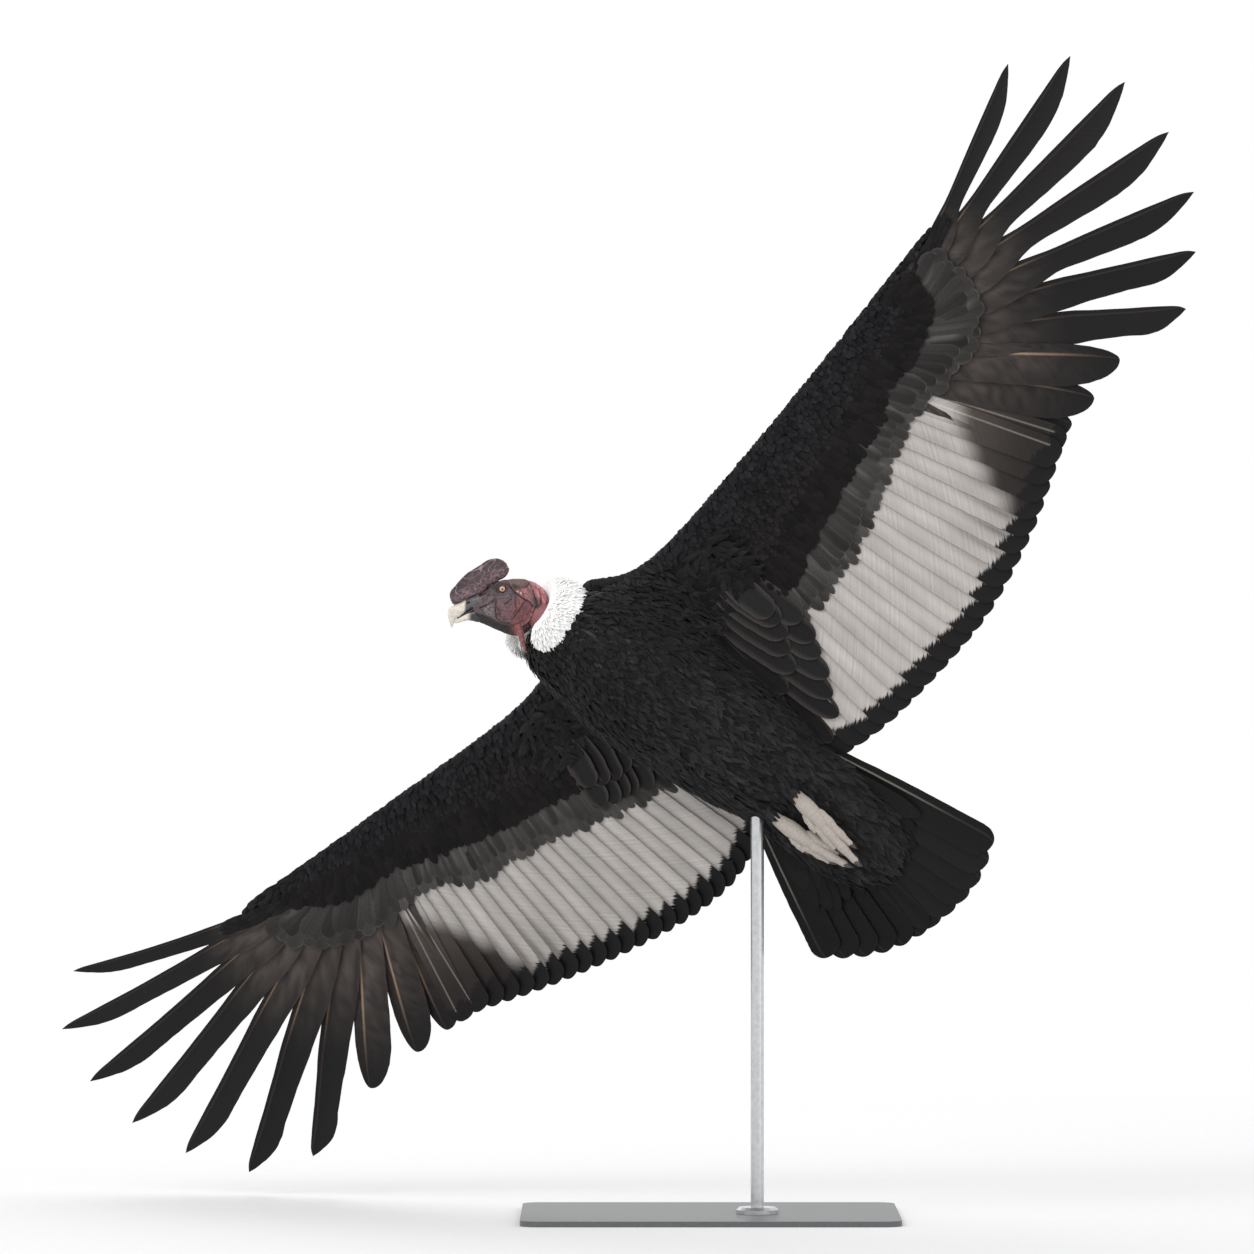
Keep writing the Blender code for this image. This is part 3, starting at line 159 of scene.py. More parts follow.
# Ring of the skin of a wing: place from the leading edge to the rear, and height above the middle
WING_RING = (
    (1.30, 0.01), (1.0, 0.06), (0.80, 0.20), (0.62, 0.33), (0.44, 0.44), (0.26, 0.52), (0.14, 0.45),
    (0.06, 0.30), (0.02, 0.14), (0.0, 0.0), (0.02, -0.12), (0.06, -0.26), (0.14, -0.33), (0.26, -0.38),
    (0.44, -0.33), (0.62, -0.24), (0.80, -0.17), (1.0, -0.10), (1.30, -0.05),
)

# Make of every feather: width of its shaft as a share of the vane, where on the shaft's round its colour
# begins, thickness of the vane's edge as a share, and slant of the barbs
SHAFT_SHARE = 0.035
SHAFT_EDGE = 0.6
EDGE_THICKNESS = 0.35
BARB_SLANT = 0.8

# Coverts of the wings
COVERT_BODY = ((0.0, 0.45), (0.4, 0.9), (0.75, 1.0), (1.0, 1.0))
COVERT_TIP_OUT = 1.16
COVERT_ARCH = 0.06
LEADING_MARGIN = 0.003
COVERT_ACROSS = np.array((0.0, 0.22, 0.45, 0.50, 0.55, 0.78, 1.0))
SMALL_ACROSS = np.array((0.0, 0.5, 1.0))
# Direction of the lesser coverts in degrees from outwards
SMALL_COVERT_ANGLE = ((0.05, -100.0), (0.45, -84.0), (0.80, -64.0), (0.95, -40.0), (1.08, 0.0))
# Tiers of greater coverts: how far in front of their line, and their share of the full length
GREATER_TIERS = ((0.0, 1.0), (0.024, 0.85))
GREATER_LENGTH = 0.120
ARM_GREATER_WIDTH, HAND_GREATER_WIDTH = 0.031, 0.047
ARM_GREATER_GAP, HAND_GREATER_GAP = 0.0205, 0.0295
# Lines of covert tips: out, fore, and the way that the feather points in degrees from outwards
COVERT_LINES = {
    ("greater", UNDER, LEFT): (
        (0.31, -0.300, -92), (0.395, -0.297, -88), (0.495, -0.277, -84), (0.602, -0.238, -80),
        (0.700, -0.200, -75), (0.780, -0.172, -68), (0.850, -0.168, -60), (0.917, -0.166, -52),
        (0.970, -0.158, -44), (1.015, -0.144, -36), (1.066, -0.114, -22), (1.094, -0.066, -8),
        (1.106, 0.013, 8), (1.100, 0.055, 18)),
    ("greater", UNDER, RIGHT): (
        (0.105, -0.360, -98), (0.206, -0.325, -94), (0.320, -0.295, -89), (0.428, -0.266, -85),
        (0.540, -0.235, -80), (0.652, -0.208, -74), (0.730, -0.172, -68), (0.800, -0.150, -62),
        (0.870, -0.150, -54), (0.930, -0.140, -44), (0.990, -0.108, -32), (1.040, -0.070, -18),
        (1.075, -0.020, -2), (1.085, 0.030, 12)),
    ("median", UNDER, LEFT): (
        (0.20, -0.25, -96), (0.359, -0.227, -90), (0.467, -0.190, -85), (0.589, -0.160, -80),
        (0.711, -0.133, -74), (0.800, -0.092, -66), (0.881, -0.084, -56), (0.945, -0.062, -44),
        (0.990, -0.040, -30), (1.012, -0.010, -12), (1.015, 0.025, 5), (1.003, 0.055, 15)),
    ("median", UNDER, RIGHT): (
        (0.08, -0.31, -98), (0.158, -0.279, -95), (0.312, -0.215, -90), (0.517, -0.164, -82),
        (0.620, -0.132, -77), (0.708, -0.100, -71), (0.800, -0.072, -64), (0.880, -0.060, -52),
        (0.945, -0.030, -34), (0.985, 0.000, -16), (1.010, 0.035, 4)),
}
UPPER_LINES = {
    "greater": (
        (0.12, -0.40, -98), (0.40, -0.36, -87), (0.60, -0.325, -80), (0.72, -0.285, -74),
        (0.80, -0.235, -67), (0.87, -0.205, -58), (0.94, -0.175, -47), (1.00, -0.140, -36),
        (1.06, -0.095, -20), (1.09, -0.040, -5), (1.10, 0.02, 8), (1.095, 0.06, 18)),
    "median": (
        (0.10, -0.27, -97), (0.40, -0.245, -87), (0.60, -0.212, -80), (0.72, -0.180, -74),
        (0.80, -0.140, -66), (0.87, -0.120, -56), (0.94, -0.090, -44), (0.985, -0.050, -28),
        (1.01, -0.010, -10), (1.012, 0.03, 6)),
}
HAND_OUT = 0.815
# Tiers of median coverts: how far in front of their line, length, width and gap
MEDIAN_TIERS = (
    (0.0, 0.080, 0.026, 0.0150),
    (0.020, 0.068, 0.022, 0.0135),
    (0.038, 0.056, 0.019, 0.0120),
    (0.054, 0.046, 0.017, 0.0110),
)
# Field of the lesser coverts: out, fore, how far in front of the median line, and gaps out and fore
LESSER_OUT = (-0.03, 1.13)
LESSER_FORE = (0.10, -0.30)
LESSER_BEFORE = 0.050
LESSER_GAPS = {UNDER: (0.0092, 0.0112), UPPER: (0.0118, 0.0138)}
LEADING_COVERTS_OUT = (0.94, 1.165)
AXILLARY_WIDTH = 0.060
AXILLARY_BODY = ((0.0, 0.5), (0.5, 1.0), (0.85, 0.92), (1.0, 0.9))
# Fans of axillaries: count, drop below the coat, first and last root, and the tips from first to last
AXILLARY_FANS = {
    LEFT: ((8, 0.012, (0.27, -0.085), (0.14, -0.11),
            ((0.0, 0.300, -0.290), (0.35, 0.270, -0.385), (0.7, 0.205, -0.480), (1.0, 0.120, -0.540))),
           (7, 0.017, (0.26, -0.075), (0.14, -0.10),
            ((0.0, 0.280, -0.230), (0.35, 0.255, -0.290), (0.7, 0.205, -0.355), (1.0, 0.130, -0.400)))),
    RIGHT: ((7, 0.012, (0.26, -0.10), (0.10, -0.13),
             ((0.0, 0.290, -0.270), (0.35, 0.240, -0.290), (0.7, 0.180, -0.315), (1.0, 0.105, -0.350))),
            (6, 0.016, (0.25, -0.09), (0.11, -0.12),
             ((0.0, 0.280, -0.225), (0.35, 0.235, -0.240), (0.7, 0.180, -0.255), (1.0, 0.110, -0.290)))),
}

# Body sections: forward, left, up, half width, half height
TORSO_SECTIONS = (
    (0.116, -0.054, -0.085, 0.030, 0.016),
    (0.104, -0.051, -0.085, 0.064, 0.038),
    (0.084, -0.046, -0.085, 0.094, 0.062),
    (0.050, -0.034, -0.086, 0.118, 0.086),
    (0.000, -0.018, -0.088, 0.134, 0.108),
    (-0.090, -0.005, -0.090, 0.145, 0.125),
    (-0.190, 0.006, -0.082, 0.152, 0.125),
    (-0.300, 0.018, -0.062, 0.148, 0.113),
    (-0.400, 0.025, -0.043, 0.138, 0.098),
    (-0.480, 0.029, -0.027, 0.120, 0.080),
    (-0.545, 0.031, -0.015, 0.098, 0.058),
    (-0.590, 0.032, -0.006, 0.072, 0.036),
)
SKIN_DEPTH = 0.006
# Tufts of the body and of the vent: front and rear of their rings, gap from ring to ring and in a ring
BODY_TUFT_ENDS = (0.112, -0.575)
BODY_RING_GAP, BODY_TUFT_GAP = 0.0090, 0.0093
VENT_TUFT_ENDS = (-0.500, -0.770)
VENT_RING_GAP, VENT_TUFT_GAP = 0.0085, 0.0095
# Tufts: depth of their roots, arch across, and share of the full width from root to tip
TUFT_DEPTH = 0.0055
TUFT_ARCH = 0.10
TUFT_BODY = ((0.0, 0.5), (0.35, 1.0), (0.75, 0.75), (1.0, 0.06))
# Thighs under the coat: place and half length along the body, middles and width across it, and height
THIGH_PLACE = -0.41
THIGH_LENGTH = 0.105
THIGH_MIDDLES = (0.40, -0.34)
THIGH_WIDTH = 0.24
THIGH_HEIGHT = 0.014
# How thick the thigh's feathers are round the shank, as a share of its radius
THIGH_SWELL = ((-0.535, 1.05), (-0.500, 1.45), (-0.455, 2.2))
# Feathers over a wing's joint: how far out they reach, and their front and rear ends
JOINT_OUT = 0.19
JOINT_ENDS = (0.080, -0.160)

# Tail
TAIL_APEX = np.array((-0.214, 0.048, -0.004))
TAIL_AXIS = math.radians(3.0)
TAIL_HALF_FAN = math.radians(20.6)
TAIL_START = 0.27
TAIL_FEATHERS = 12
TAIL_REACH = ((-1.0, 0.650), (-0.4, 0.708), (0.2, 0.730), (0.6, 0.735), (1.0, 0.715))
TAIL_WIDTH = 0.072
TAIL_COVERT_WIDTH = 0.047
TAIL_BODY = ((0.0, 0.6), (0.5, 0.95), (0.9, 1.0), (1.0, 0.98))
TAIL_TILT = math.radians(5.0)
TAIL_ROOT_SECTIONS = (
    (-0.440, 0.034, -0.022, 0.108, 0.030),
    (-0.520, 0.032, -0.020, 0.118, 0.030),
    (-0.580, 0.032, -0.016, 0.114, 0.025),
    (-0.650, 0.030, -0.012, 0.096, 0.018),
    (-0.710, 0.028, -0.008, 0.060, 0.010),
)
# Tail coverts: how far they reach from the apex, and the height of their roots and of their tips
TAIL_COVERT_ROWS = {
    UNDER: ((0.585, -0.026, -0.009), (0.530, -0.031, -0.012), (0.475, -0.036, -0.017),
            (0.420, -0.041, -0.024), (0.370, -0.045, -0.032)),
    UPPER: ((0.520, 0.016, 0.006), (0.465, 0.020, 0.010), (0.410, 0.024, 0.015), (0.360, 0.027, 0.020)),
}
# Soft mound of feathers below the root of the tail: forward, left, up, half width, depth
VENT_SECTIONS = (
    (-0.440, 0.032, -0.020, 0.112, 0.050),
    (-0.520, 0.034, -0.018, 0.118, 0.056),
    (-0.600, 0.038, -0.014, 0.116, 0.052),
    (-0.680, 0.042, -0.010, 0.110, 0.045),
    (-0.735, 0.046, -0.008, 0.094, 0.035),
    (-0.775, 0.048, -0.006, 0.066, 0.022),
    (-0.795, 0.049, -0.005, 0.036, 0.010),
)

# Colours, linear
SLATE = np.array((0.0118, 0.0115, 0.0125))
BLACK = np.array((0.0064, 0.0056, 0.0058))
LESSER_BLACK = np.array((0.0085, 0.0080, 0.0088))
COOL_SHADE = np.array((0.97, 1.0, 1.10))
WARM_SHADE = np.array((1.10, 0.98, 0.92))
COVERT_BROWN = np.array((0.0052, 0.0041, 0.0041))
COVERT_GREY = np.array((0.045, 0.0415, 0.040))
COVERT_PALE = np.array((0.125, 0.116, 0.111))
WHITE_VANE = np.array((0.475, 0.445, 0.422))
PRIMARY_BROWN = np.array((0.074, 0.060, 0.054))
SHAFT_TAN = np.array((0.36, 0.25, 0.17))
SHAFT_CREAM = np.array((0.60, 0.55, 0.48))
SHAFT_DARK = np.array((0.030, 0.022, 0.018))
DOWN_WHITE = np.array((0.93, 0.925, 0.915))

# A small feather's patch on the unwrap, the limits of its places there, and the margin of a large one's
# strip
BAKE_PATCH = 0.003
BAKE_LIMITS = (0.002, 0.99)
STRIP_MARGIN = 0.06
# The unwraps' extent: out and fore on a wing from its rearmost place, and along the body from its tail
UNWRAP_OUT, UNWRAP_FORE, UNWRAP_REAR = 1.2, 0.8, -0.6
UNWRAP_ALONG, UNWRAP_TAIL = 0.96, -0.82

# Border of the black tips: how far it strays, and half of its width
TIP_RAGGEDNESS = 0.022
TIP_BLUR = 0.0012

# Head, in its own frame: +X along the bill, +Y to its left, +Z up, origin between the eyes
HEAD_TOP = ((-0.0925, -0.044), (-0.0885, -0.034), (-0.0787, -0.0138), (-0.0660, -0.001), (-0.0500, 0.006),
            (-0.0300, 0.013), (0.0, 0.019), (0.020, 0.017), (0.035, 0.009), (0.050, 0.003), (0.069, -0.002))
HEAD_BOTTOM = ((-0.0925, -0.051), (-0.0885, -0.059), (-0.0754, -0.0731), (-0.0600, -0.0820),
               (-0.0433, -0.0910), (-0.0279, -0.1000), (-0.0100, -0.1045), (0.0112, -0.0965),
               (0.0301, -0.0825), (0.0466, -0.0693), (0.0690, -0.0520))
HEAD_WIDE = ((-0.0925, 0.003), (-0.0885, 0.014), (-0.080, 0.0245), (-0.062, 0.0335), (-0.038, 0.0365),
             (-0.012, 0.035), (0.010, 0.0325), (0.032, 0.0285), (0.052, 0.0215), (0.069, 0.0150))
EYE = (0.0, 0.0175, 0.0)
EYE_RADIUS = 0.0095
# Creases and raised folds of the side view: their line, their depth or height, and their width
HEAD_CREASES = (
    (((0.0498, 0.0009), (0.0352, 0.0020), (0.0236, 0.0107), (0.0109, 0.0173), (-0.0017, 0.0207),
      (-0.0154, 0.0215)), 0.0030, 0.0022),
    (((0.0291, -0.0005), (0.0164, 0.0096), (0.0031, 0.0152), (-0.0079, 0.0123), (-0.0154, 0.0061),
      (-0.0196, -0.0034), (-0.0236, -0.0137), (-0.0294, -0.0203), (-0.0375, -0.0309),
      (-0.0487, -0.0423), (-0.0521, -0.0516)), 0.0024, 0.0013),
    (((-0.0571, -0.0546), (-0.0505, -0.0688), (-0.0400, -0.0811), (-0.0245, -0.0887), (-0.0093, -0.0889)),
     0.0024, 0.0014),
    (((-0.0619, -0.0181), (-0.0616, -0.0315), (-0.0630, -0.0453), (-0.0584, -0.0592), (-0.0448, -0.0757),
      (-0.0304, -0.0853)), 0.0020, 0.0012),
    (((-0.0748, -0.0199), (-0.0750, -0.0351), (-0.0716, -0.0510), (-0.0625, -0.0628), (-0.0459, -0.0777),
      (-0.0351, -0.0866)), 0.0028, 0.0015),
    (((-0.0846, -0.0242), (-0.0891, -0.0388), (-0.0869, -0.0534), (-0.0772, -0.0676), (-0.0624, -0.0787),
      (-0.0434, -0.0871), (-0.0285, -0.0923)), 0.0022, 0.0014),
    (((-0.0371, -0.0384), (-0.0249, -0.0494), (-0.0115, -0.0618), (-0.0014, -0.0683)), 0.0018, 0.0011),
    (((-0.0225, -0.0210), (-0.0195, -0.0353), (-0.0177, -0.0483), (-0.0093, -0.0578)), 0.0012, 0.0009),
    (((0.0031, -0.0318), (-0.0042, -0.0295), (-0.0137, -0.0254)), 0.0018, 0.0010),
    (((0.0560, -0.0255), (0.0422, -0.0242), (0.0296, -0.0208), (0.0212, -0.0160)), 0.0024, 0.0012),
    (((0.0184, -0.0168), (0.0230, -0.0307), (0.0271, -0.0430), (0.0273, -0.0564), (0.0202, -0.0675)),
      0.0016, 0.0011),
    (((0.0371, -0.0050), (0.0237, -0.0053), (0.0114, -0.0094)), 0.0012, 0.0009),
    (((0.0210, -0.0329), (0.0173, -0.0439), (0.0205, -0.0498)), 0.0012, 0.0009),
    (((0.0202, -0.0675), (0.0054, -0.0748), (-0.0064, -0.0842), (-0.0091, -0.0930)), 0.0018, 0.0014),
)
HEAD_FOLDS = (
    (((-0.0072, 0.0192), (-0.0155, 0.0125), (-0.0208, 0.0010), (-0.0238, -0.0096), (-0.0335, -0.0173),
      (-0.0414, -0.0286), (-0.0528, -0.0395), (-0.0569, -0.0491)), 0.0022, 0.0019),
    (((-0.0542, -0.0530), (-0.0470, -0.0662), (-0.0369, -0.0769), (-0.0232, -0.0842), (-0.0092, -0.0860)),
     0.0024, 0.0019),
    (((-0.0798, -0.0263), (-0.0832, -0.0389), (-0.0771, -0.0541), (-0.0646, -0.0676), (-0.0443, -0.0773)),
     0.0028, 0.0026),
    (((-0.0894, -0.0440), (-0.0889, -0.0522), (-0.0792, -0.0664), (-0.0640, -0.0792), (-0.0472, -0.0856)),
     0.0022, 0.0018),
    (((-0.0307, -0.0904), (-0.0414, -0.0882), (-0.0467, -0.0871)), 0.0018, 0.0014),
    (((0.0493, -0.0068), (0.0349, -0.0031), (0.0204, 0.0073), (0.0062, 0.0161), (-0.0062, 0.0186)),
      0.0016, 0.0022),
)
# Slant of the nape's border, and the height at which its place is given
NAPE_SLANT, NAPE_HEIGHT = 0.25, -0.04
# Lobe behind the eye
LOBE_LINE = ((-0.0272, 0.0142), (-0.0462, 0.0052))
LOBE_RADIUS = 0.0125
LOBE_HEIGHT = 0.0075
EYE_SOCKET = 0.0060
# Soft patches of colour in the side view: middle, half length and half height
CHEEK = (0.0020, -0.0440)
PINK_CHEEK = (CHEEK, 0.026, 0.030)
RED_CHEEK = ((-0.0300, -0.0600), 0.026, 0.034)
TEMPLE_RED = ((-0.0540, -0.0160), 0.026, 0.020)
DARK_LORE = ((0.0150, 0.0040), 0.017, 0.011)
SCALY_PATCH = ((0.0380, -0.0360), 0.012, 0.017)
FOLD_MIDDLE = (0.0060, -0.0268)
SPOTS = ((-0.0295, -0.0136), (-0.0365, -0.0189))
JAW_LINE = ((0.0690, -0.0290), (0.0415, -0.0467), (0.0312, -0.0584), (0.0202, -0.0675), (0.0054, -0.0748),
            (-0.0064, -0.0842), (-0.0091, -0.0930), (-0.0100, -0.1100), (0.0690, -0.1100))
THROAT_LINE = ((-0.0058, -0.0846), (-0.0071, -0.1076))
# Neck: its middle in the stand's frame with the height there, its slope, and its place and radius
NECK_MIDDLE, NECK_HEIGHT = -0.05, 1.238
NECK_SLOPE = 0.45
NECK_RADII = ((0.030, 0.064), (-0.060, 0.058), (-0.105, 0.047), (-0.140, 0.035), (-0.180, 0.025))
# Strip of skin under the jaw: place in the stand's frame and radius
THROAT_STRIP = ((-0.191, -0.080, 1.262, 0.0120), (-0.186, -0.094, 1.251, 0.0115),
                (-0.181, -0.104, 1.236, 0.0084), (-0.177, -0.106, 1.220, 0.0058),
                (-0.172, -0.105, 1.204, 0.0028), (-0.169, -0.105, 1.197, 0.0008))
FACE = (0.092, 0.062, 0.070)
NAPE_RED = (0.470, 0.168, 0.180)
CHEEK_PINK = (0.140, 0.068, 0.078)
CHEEK_RED = (0.190, 0.062, 0.068)
TEMPLE_PINK = (0.290, 0.125, 0.135)
SCALY_GREY = (0.165, 0.140, 0.145)
# Painted shade under the jaw
JAW_PAINTED_SHADE = (0.010, 0.0055, 0.005)
THROAT_RED = (0.230, 0.075, 0.072)
LOBE_GREY = (0.138, 0.083, 0.074)
SPOT_ORANGE = (0.62, 0.38, 0.24)
LID_DARK = (0.030, 0.018, 0.017)
LORE_DARK = (0.050, 0.042, 0.046)
# Painted shade in the creases and below the lobe
CREASE_PAINTED_SHADE = (0.040, 0.015, 0.016)
# Painted highlight along the raised folds, and how strongly it is laid on
FOLD_PAINTED_HIGHLIGHT = (0.400, 0.210, 0.215)
FOLD_SHARE = 0.75

IRIS_BROWN = np.array((0.52, 0.33, 0.22))
IRIS_PALE = np.array((0.74, 0.56, 0.44))
IRIS_EDGE = np.array((0.36, 0.15, 0.045))
PUPIL_BLACK = np.array((0.003, 0.003, 0.003))
EYE_RIM = np.array((0.012, 0.008, 0.007))

# Bill: place along the head, height, half height and half width across its path
UPPER_BILL = (
    (0.0500, -0.0100, 0.0130, 0.0165),
    (0.0700, -0.0108, 0.0124, 0.0152),
    (0.0880, -0.0150, 0.0120, 0.0140),
    (0.1010, -0.0182, 0.0133, 0.0125),
    (0.1115, -0.0222, 0.0146, 0.0105),
    (0.1180, -0.0305, 0.0092, 0.0074),
    (0.1215, -0.0400, 0.0047, 0.0045),
    (0.1233, -0.0465, 0.0025, 0.0024),
    (0.1243, -0.0509, 0.0005, 0.0005),
)
LOWER_BILL = (
    (0.0480, -0.0390, 0.0165, 0.0155),
    (0.0652, -0.0388, 0.0155, 0.0138),
    (0.0780, -0.0372, 0.0108, 0.0118),
    (0.0900, -0.0365, 0.0078, 0.0098),
    (0.1020, -0.0385, 0.0060, 0.0075),
    (0.1110, -0.0408, 0.0036, 0.0048),
    (0.1170, -0.0425, 0.0006, 0.0010),
)
MOUTH = (
    (0.0450, -0.0240, 0.0060, 0.0125),
    (0.0640, -0.0245, 0.0052, 0.0118),
    (0.0800, -0.0280, 0.0040, 0.0105),
    (0.0960, -0.0318, 0.0028, 0.0085),
    (0.1080, -0.0358, 0.0012, 0.0050),
)
# Painted shade in the gape between the mandibles
MOUTH_PAINTED_SHADE = (0.016, 0.012, 0.012)
BILL_IVORY = np.array((0.66, 0.61, 0.53))
UPPER_BILL_BASE = np.array((0.085, 0.083, 0.088))
LOWER_BILL_BASE = np.array((0.026, 0.023, 0.024))
NOSTRIL = (0.0770, -0.0085)
NOSTRIL_LENGTH, NOSTRIL_HEIGHT, NOSTRIL_DEPTH = 0.0052, 0.0024, 0.0042
# Painted shade in the nostrils' hollows
NOSTRIL_PAINTED_SHADE = np.array((0.012, 0.010, 0.010))
# End of the cere at the height of the nostrils' line, and its slant
CERE_END = 0.0860
NOSTRIL_LINE = -0.015
CERE_SLANT = 0.35
# Comb: place along the head, low and high edge, and half width
COMB_ROWS = (
    (-0.0235, 0.0370, 0.0420, 0.0010),
    (-0.0225, 0.0335, 0.0480, 0.0050),
    (-0.0193, 0.0290, 0.0548, 0.0085),
    (-0.0138, 0.0249, 0.0610, 0.0108),
    (-0.0048, 0.0215, 0.0660, 0.0120),
    (0.0149, 0.0165, 0.0675, 0.0128),
    (0.0315, 0.0065, 0.0620, 0.0130),
    (0.0478, 0.0010, 0.0570, 0.0125),
    (0.0642, -0.0010, 0.0518, 0.0120),
    (0.0843, -0.0045, 0.0400, 0.0118),
    (0.0960, -0.0070, 0.0320, 0.0105),
    (0.1045, -0.0065, 0.0265, 0.0085),
    (0.1095, -0.0015, 0.0195, 0.0050),
    (0.1108, 0.0060, 0.0110, 0.0010),
)
# Bulbs along the foot of the comb: place, height and radius
COMB_BULBS = ((0.098, 0.003, 0.0060), (0.088, 0.007, 0.0070), (0.077, 0.006, 0.0060), (0.066, 0.010, 0.0085),
              (0.055, 0.010, 0.0060), (0.045, 0.011, 0.0075), (0.034, 0.016, 0.0060), (0.025, 0.022, 0.0070),
              (0.014, 0.026, 0.0060), (0.004, 0.031, 0.0065))
COMB_PLUM = (0.027, 0.013, 0.018)
COMB_ROSE = (0.118, 0.070, 0.078)
COMB_SEAM = (0.345, 0.240, 0.250)
COMB_TILT = math.radians(-14.0)

# Ruff
RUFF_CENTRE = np.array((-0.1090, -0.0740, 1.2690))
RUFF_AXIS = np.array((-0.80, -0.34, 0.49)) / np.linalg.norm((-0.80, -0.34, 0.49))
RUFF_THROAT = np.array((-0.50, 0.0, -0.86))
RUFF_OPENING = math.radians(14.0)
RUFF_RADIUS = 0.050
RUFF_REACH = 0.036
RUFF_DEPTH = 0.051
RUFF_FAR_END = np.array((-0.173, -0.030, 1.212))
RUFF_FAR_FROM = math.radians(250)
# How deep the core lies under the down, nearly all round and at the far end
RUFF_CORE_SUNK = (-0.0050, -0.0180)
RUFF_SINK_FROM = math.radians(318)
RUFF_TUFTS = 8600
WISP_BODY = ((0.0, 0.7), (0.4, 1.0), (0.75, 0.75), (1.0, 0.08))
# Turn from tuft to tuft that spreads them evenly
GOLDEN_TURN = 2.39996

# Feet: the shank's line with its radius, and the start, end and radius of each toe
SHANKS = {
    LEFT: ((-0.455, 0.046, -0.066, 0.0170), (-0.535, 0.0530, -0.099, 0.0150),
           (-0.565, 0.0560, -0.110, 0.0180), (-0.592, 0.0570, -0.115, 0.0160)),
    RIGHT: ((-0.465, -0.026, -0.062, 0.0170), (-0.545, -0.0168, -0.088, 0.0150),
            (-0.575, -0.0090, -0.098, 0.0180), (-0.603, -0.0030, -0.102, 0.0160)),
}
PALMS = {
    LEFT: ((-0.620, 0.0530, -0.1145, 0.0140), (-0.650, 0.0490, -0.1130, 0.0080),
           (-0.665, 0.0470, -0.1120, 0.0010)),
    RIGHT: ((-0.630, 0.0030, -0.1015, 0.0140), (-0.658, 0.0080, -0.1000, 0.0080),
            (-0.674, 0.0110, -0.0990, 0.0010)),
}
TOES = {
    LEFT: (((-0.590, 0.0440, -0.113), (-0.672, 0.0340, -0.113), 0.0100),
           ((-0.592, 0.0570, -0.117), (-0.724, 0.0420, -0.108), 0.0115),
           ((-0.588, 0.0700, -0.113), (-0.690, 0.0620, -0.107), 0.0100),
           ((-0.572, 0.0420, -0.110), (-0.618, 0.0330, -0.122), 0.0080)),
    RIGHT: (((-0.602, 0.0090, -0.099), (-0.684, 0.0270, -0.096), 0.0100),
            ((-0.604, -0.0040, -0.103), (-0.712, 0.0190, -0.099), 0.0115),
            ((-0.600, -0.0160, -0.099), (-0.684, -0.0020, -0.095), 0.0100),
            ((-0.584, -0.0210, -0.096), (-0.628, -0.0220, -0.104), 0.0080)),
}
# Claws: length, how deep they are set in the toe, and rise of the tip
CLAW_LENGTH, CLAW_SUNK, CLAW_CURVE = 0.0245, 0.007, 0.014
TOE_BODY = ((0.0, 0.40), (0.12, 1.0), (0.93, 1.0), (1.0, 0.62))
CLAW_BODY = ((0.0, 1.0), (0.35, 0.88), (0.7, 0.58), (1.0, 0.06))
FOOT_GREY = np.array((0.43, 0.385, 0.345))
SHANK_PINK = np.array((0.16, 0.07, 0.055))
CLAW_BASE = np.array((0.075, 0.062, 0.055))
CLAW_TIP = np.array((0.020, 0.017, 0.016))

# Stand: dark and light colour of its paint and of its steel
PAINT_TONES = ((0.085, 0.088, 0.092), (0.12, 0.124, 0.13))
STEEL_TONES = ((0.50, 0.51, 0.52), (0.62, 0.63, 0.64))

# Height of the finest grain of the bird's and of the stand's materials
GRAIN_DEPTH = 0.0006
SPECKLE_DEPTH = 0.0005

# Floor and its fade, camera, and lamps: name, place, aim, size and power
FLOOR_RADIUS = 9.0
FLOOR_FADE = (1.2, 5.5)
CAMERA_PLACE = np.array((0.0424, -18.0, SHOULDER_HEIGHT))
SENSOR_WIDTH = 36.0
VIEW_WIDTH = 2.6585
WORLD_LEVEL = 1.0
LAMPS = (
    ("key", (-3.5, -5.5, 5.0), (0.0, 0.0, 1.3), 2.5, 120.0),
    ("fill", (4.5, -5.0, 1.5), (0.0, 0.0, 1.2), 3.5, 25.0),
    ("rim", (-1.0, 4.5, 4.5), (0.0, 0.0, 1.3), 3.0, 60.0),
)


def columns(*vectors):
    """A matrix with the vectors as its columns."""
    return np.array(vectors).T


def turn_of_bird():
    """The bird's own axes in the stand's frame: its heading climbs to the left, with the back turned away."""
    forward = np.array((math.cos(HEADING), 0.0, math.sin(HEADING)))
    flat_left = np.array((math.sin(HEADING), 0.0, -math.cos(HEADING)))
    back = np.array((0.0, 1.0, 0.0))
    left = flat_left * math.cos(TILT) - back * math.sin(TILT)
    up = flat_left * math.sin(TILT) + back * math.cos(TILT)
    return columns(forward, left, up)


BIRD_TURN = turn_of_bird()
BILL_WAY = np.array((-math.cos(HEAD_DIP), 0.0, -math.sin(HEAD_DIP)))
HEAD_LEFT = np.array((0.0, -1.0, 0.0))
HEAD_TURN = columns(BILL_WAY, HEAD_LEFT, np.cross(BILL_WAY, HEAD_LEFT))
ROD_LOW, ROD_HIGH = (np.array(corner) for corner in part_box("stand_rod"))
OFFSET = np.append((ROD_LOW[:2] + ROD_HIGH[:2]) / 2 - ROD_PLACE, 0.0)


def from_bird(points):
    """Points of the bird's frame in the stand's frame."""
    return points @ BIRD_TURN.T + (0.0, 0.0, SHOULDER_HEIGHT) + OFFSET


def from_head(points):
    return points @ HEAD_TURN.T + HEAD_PLACE + OFFSET


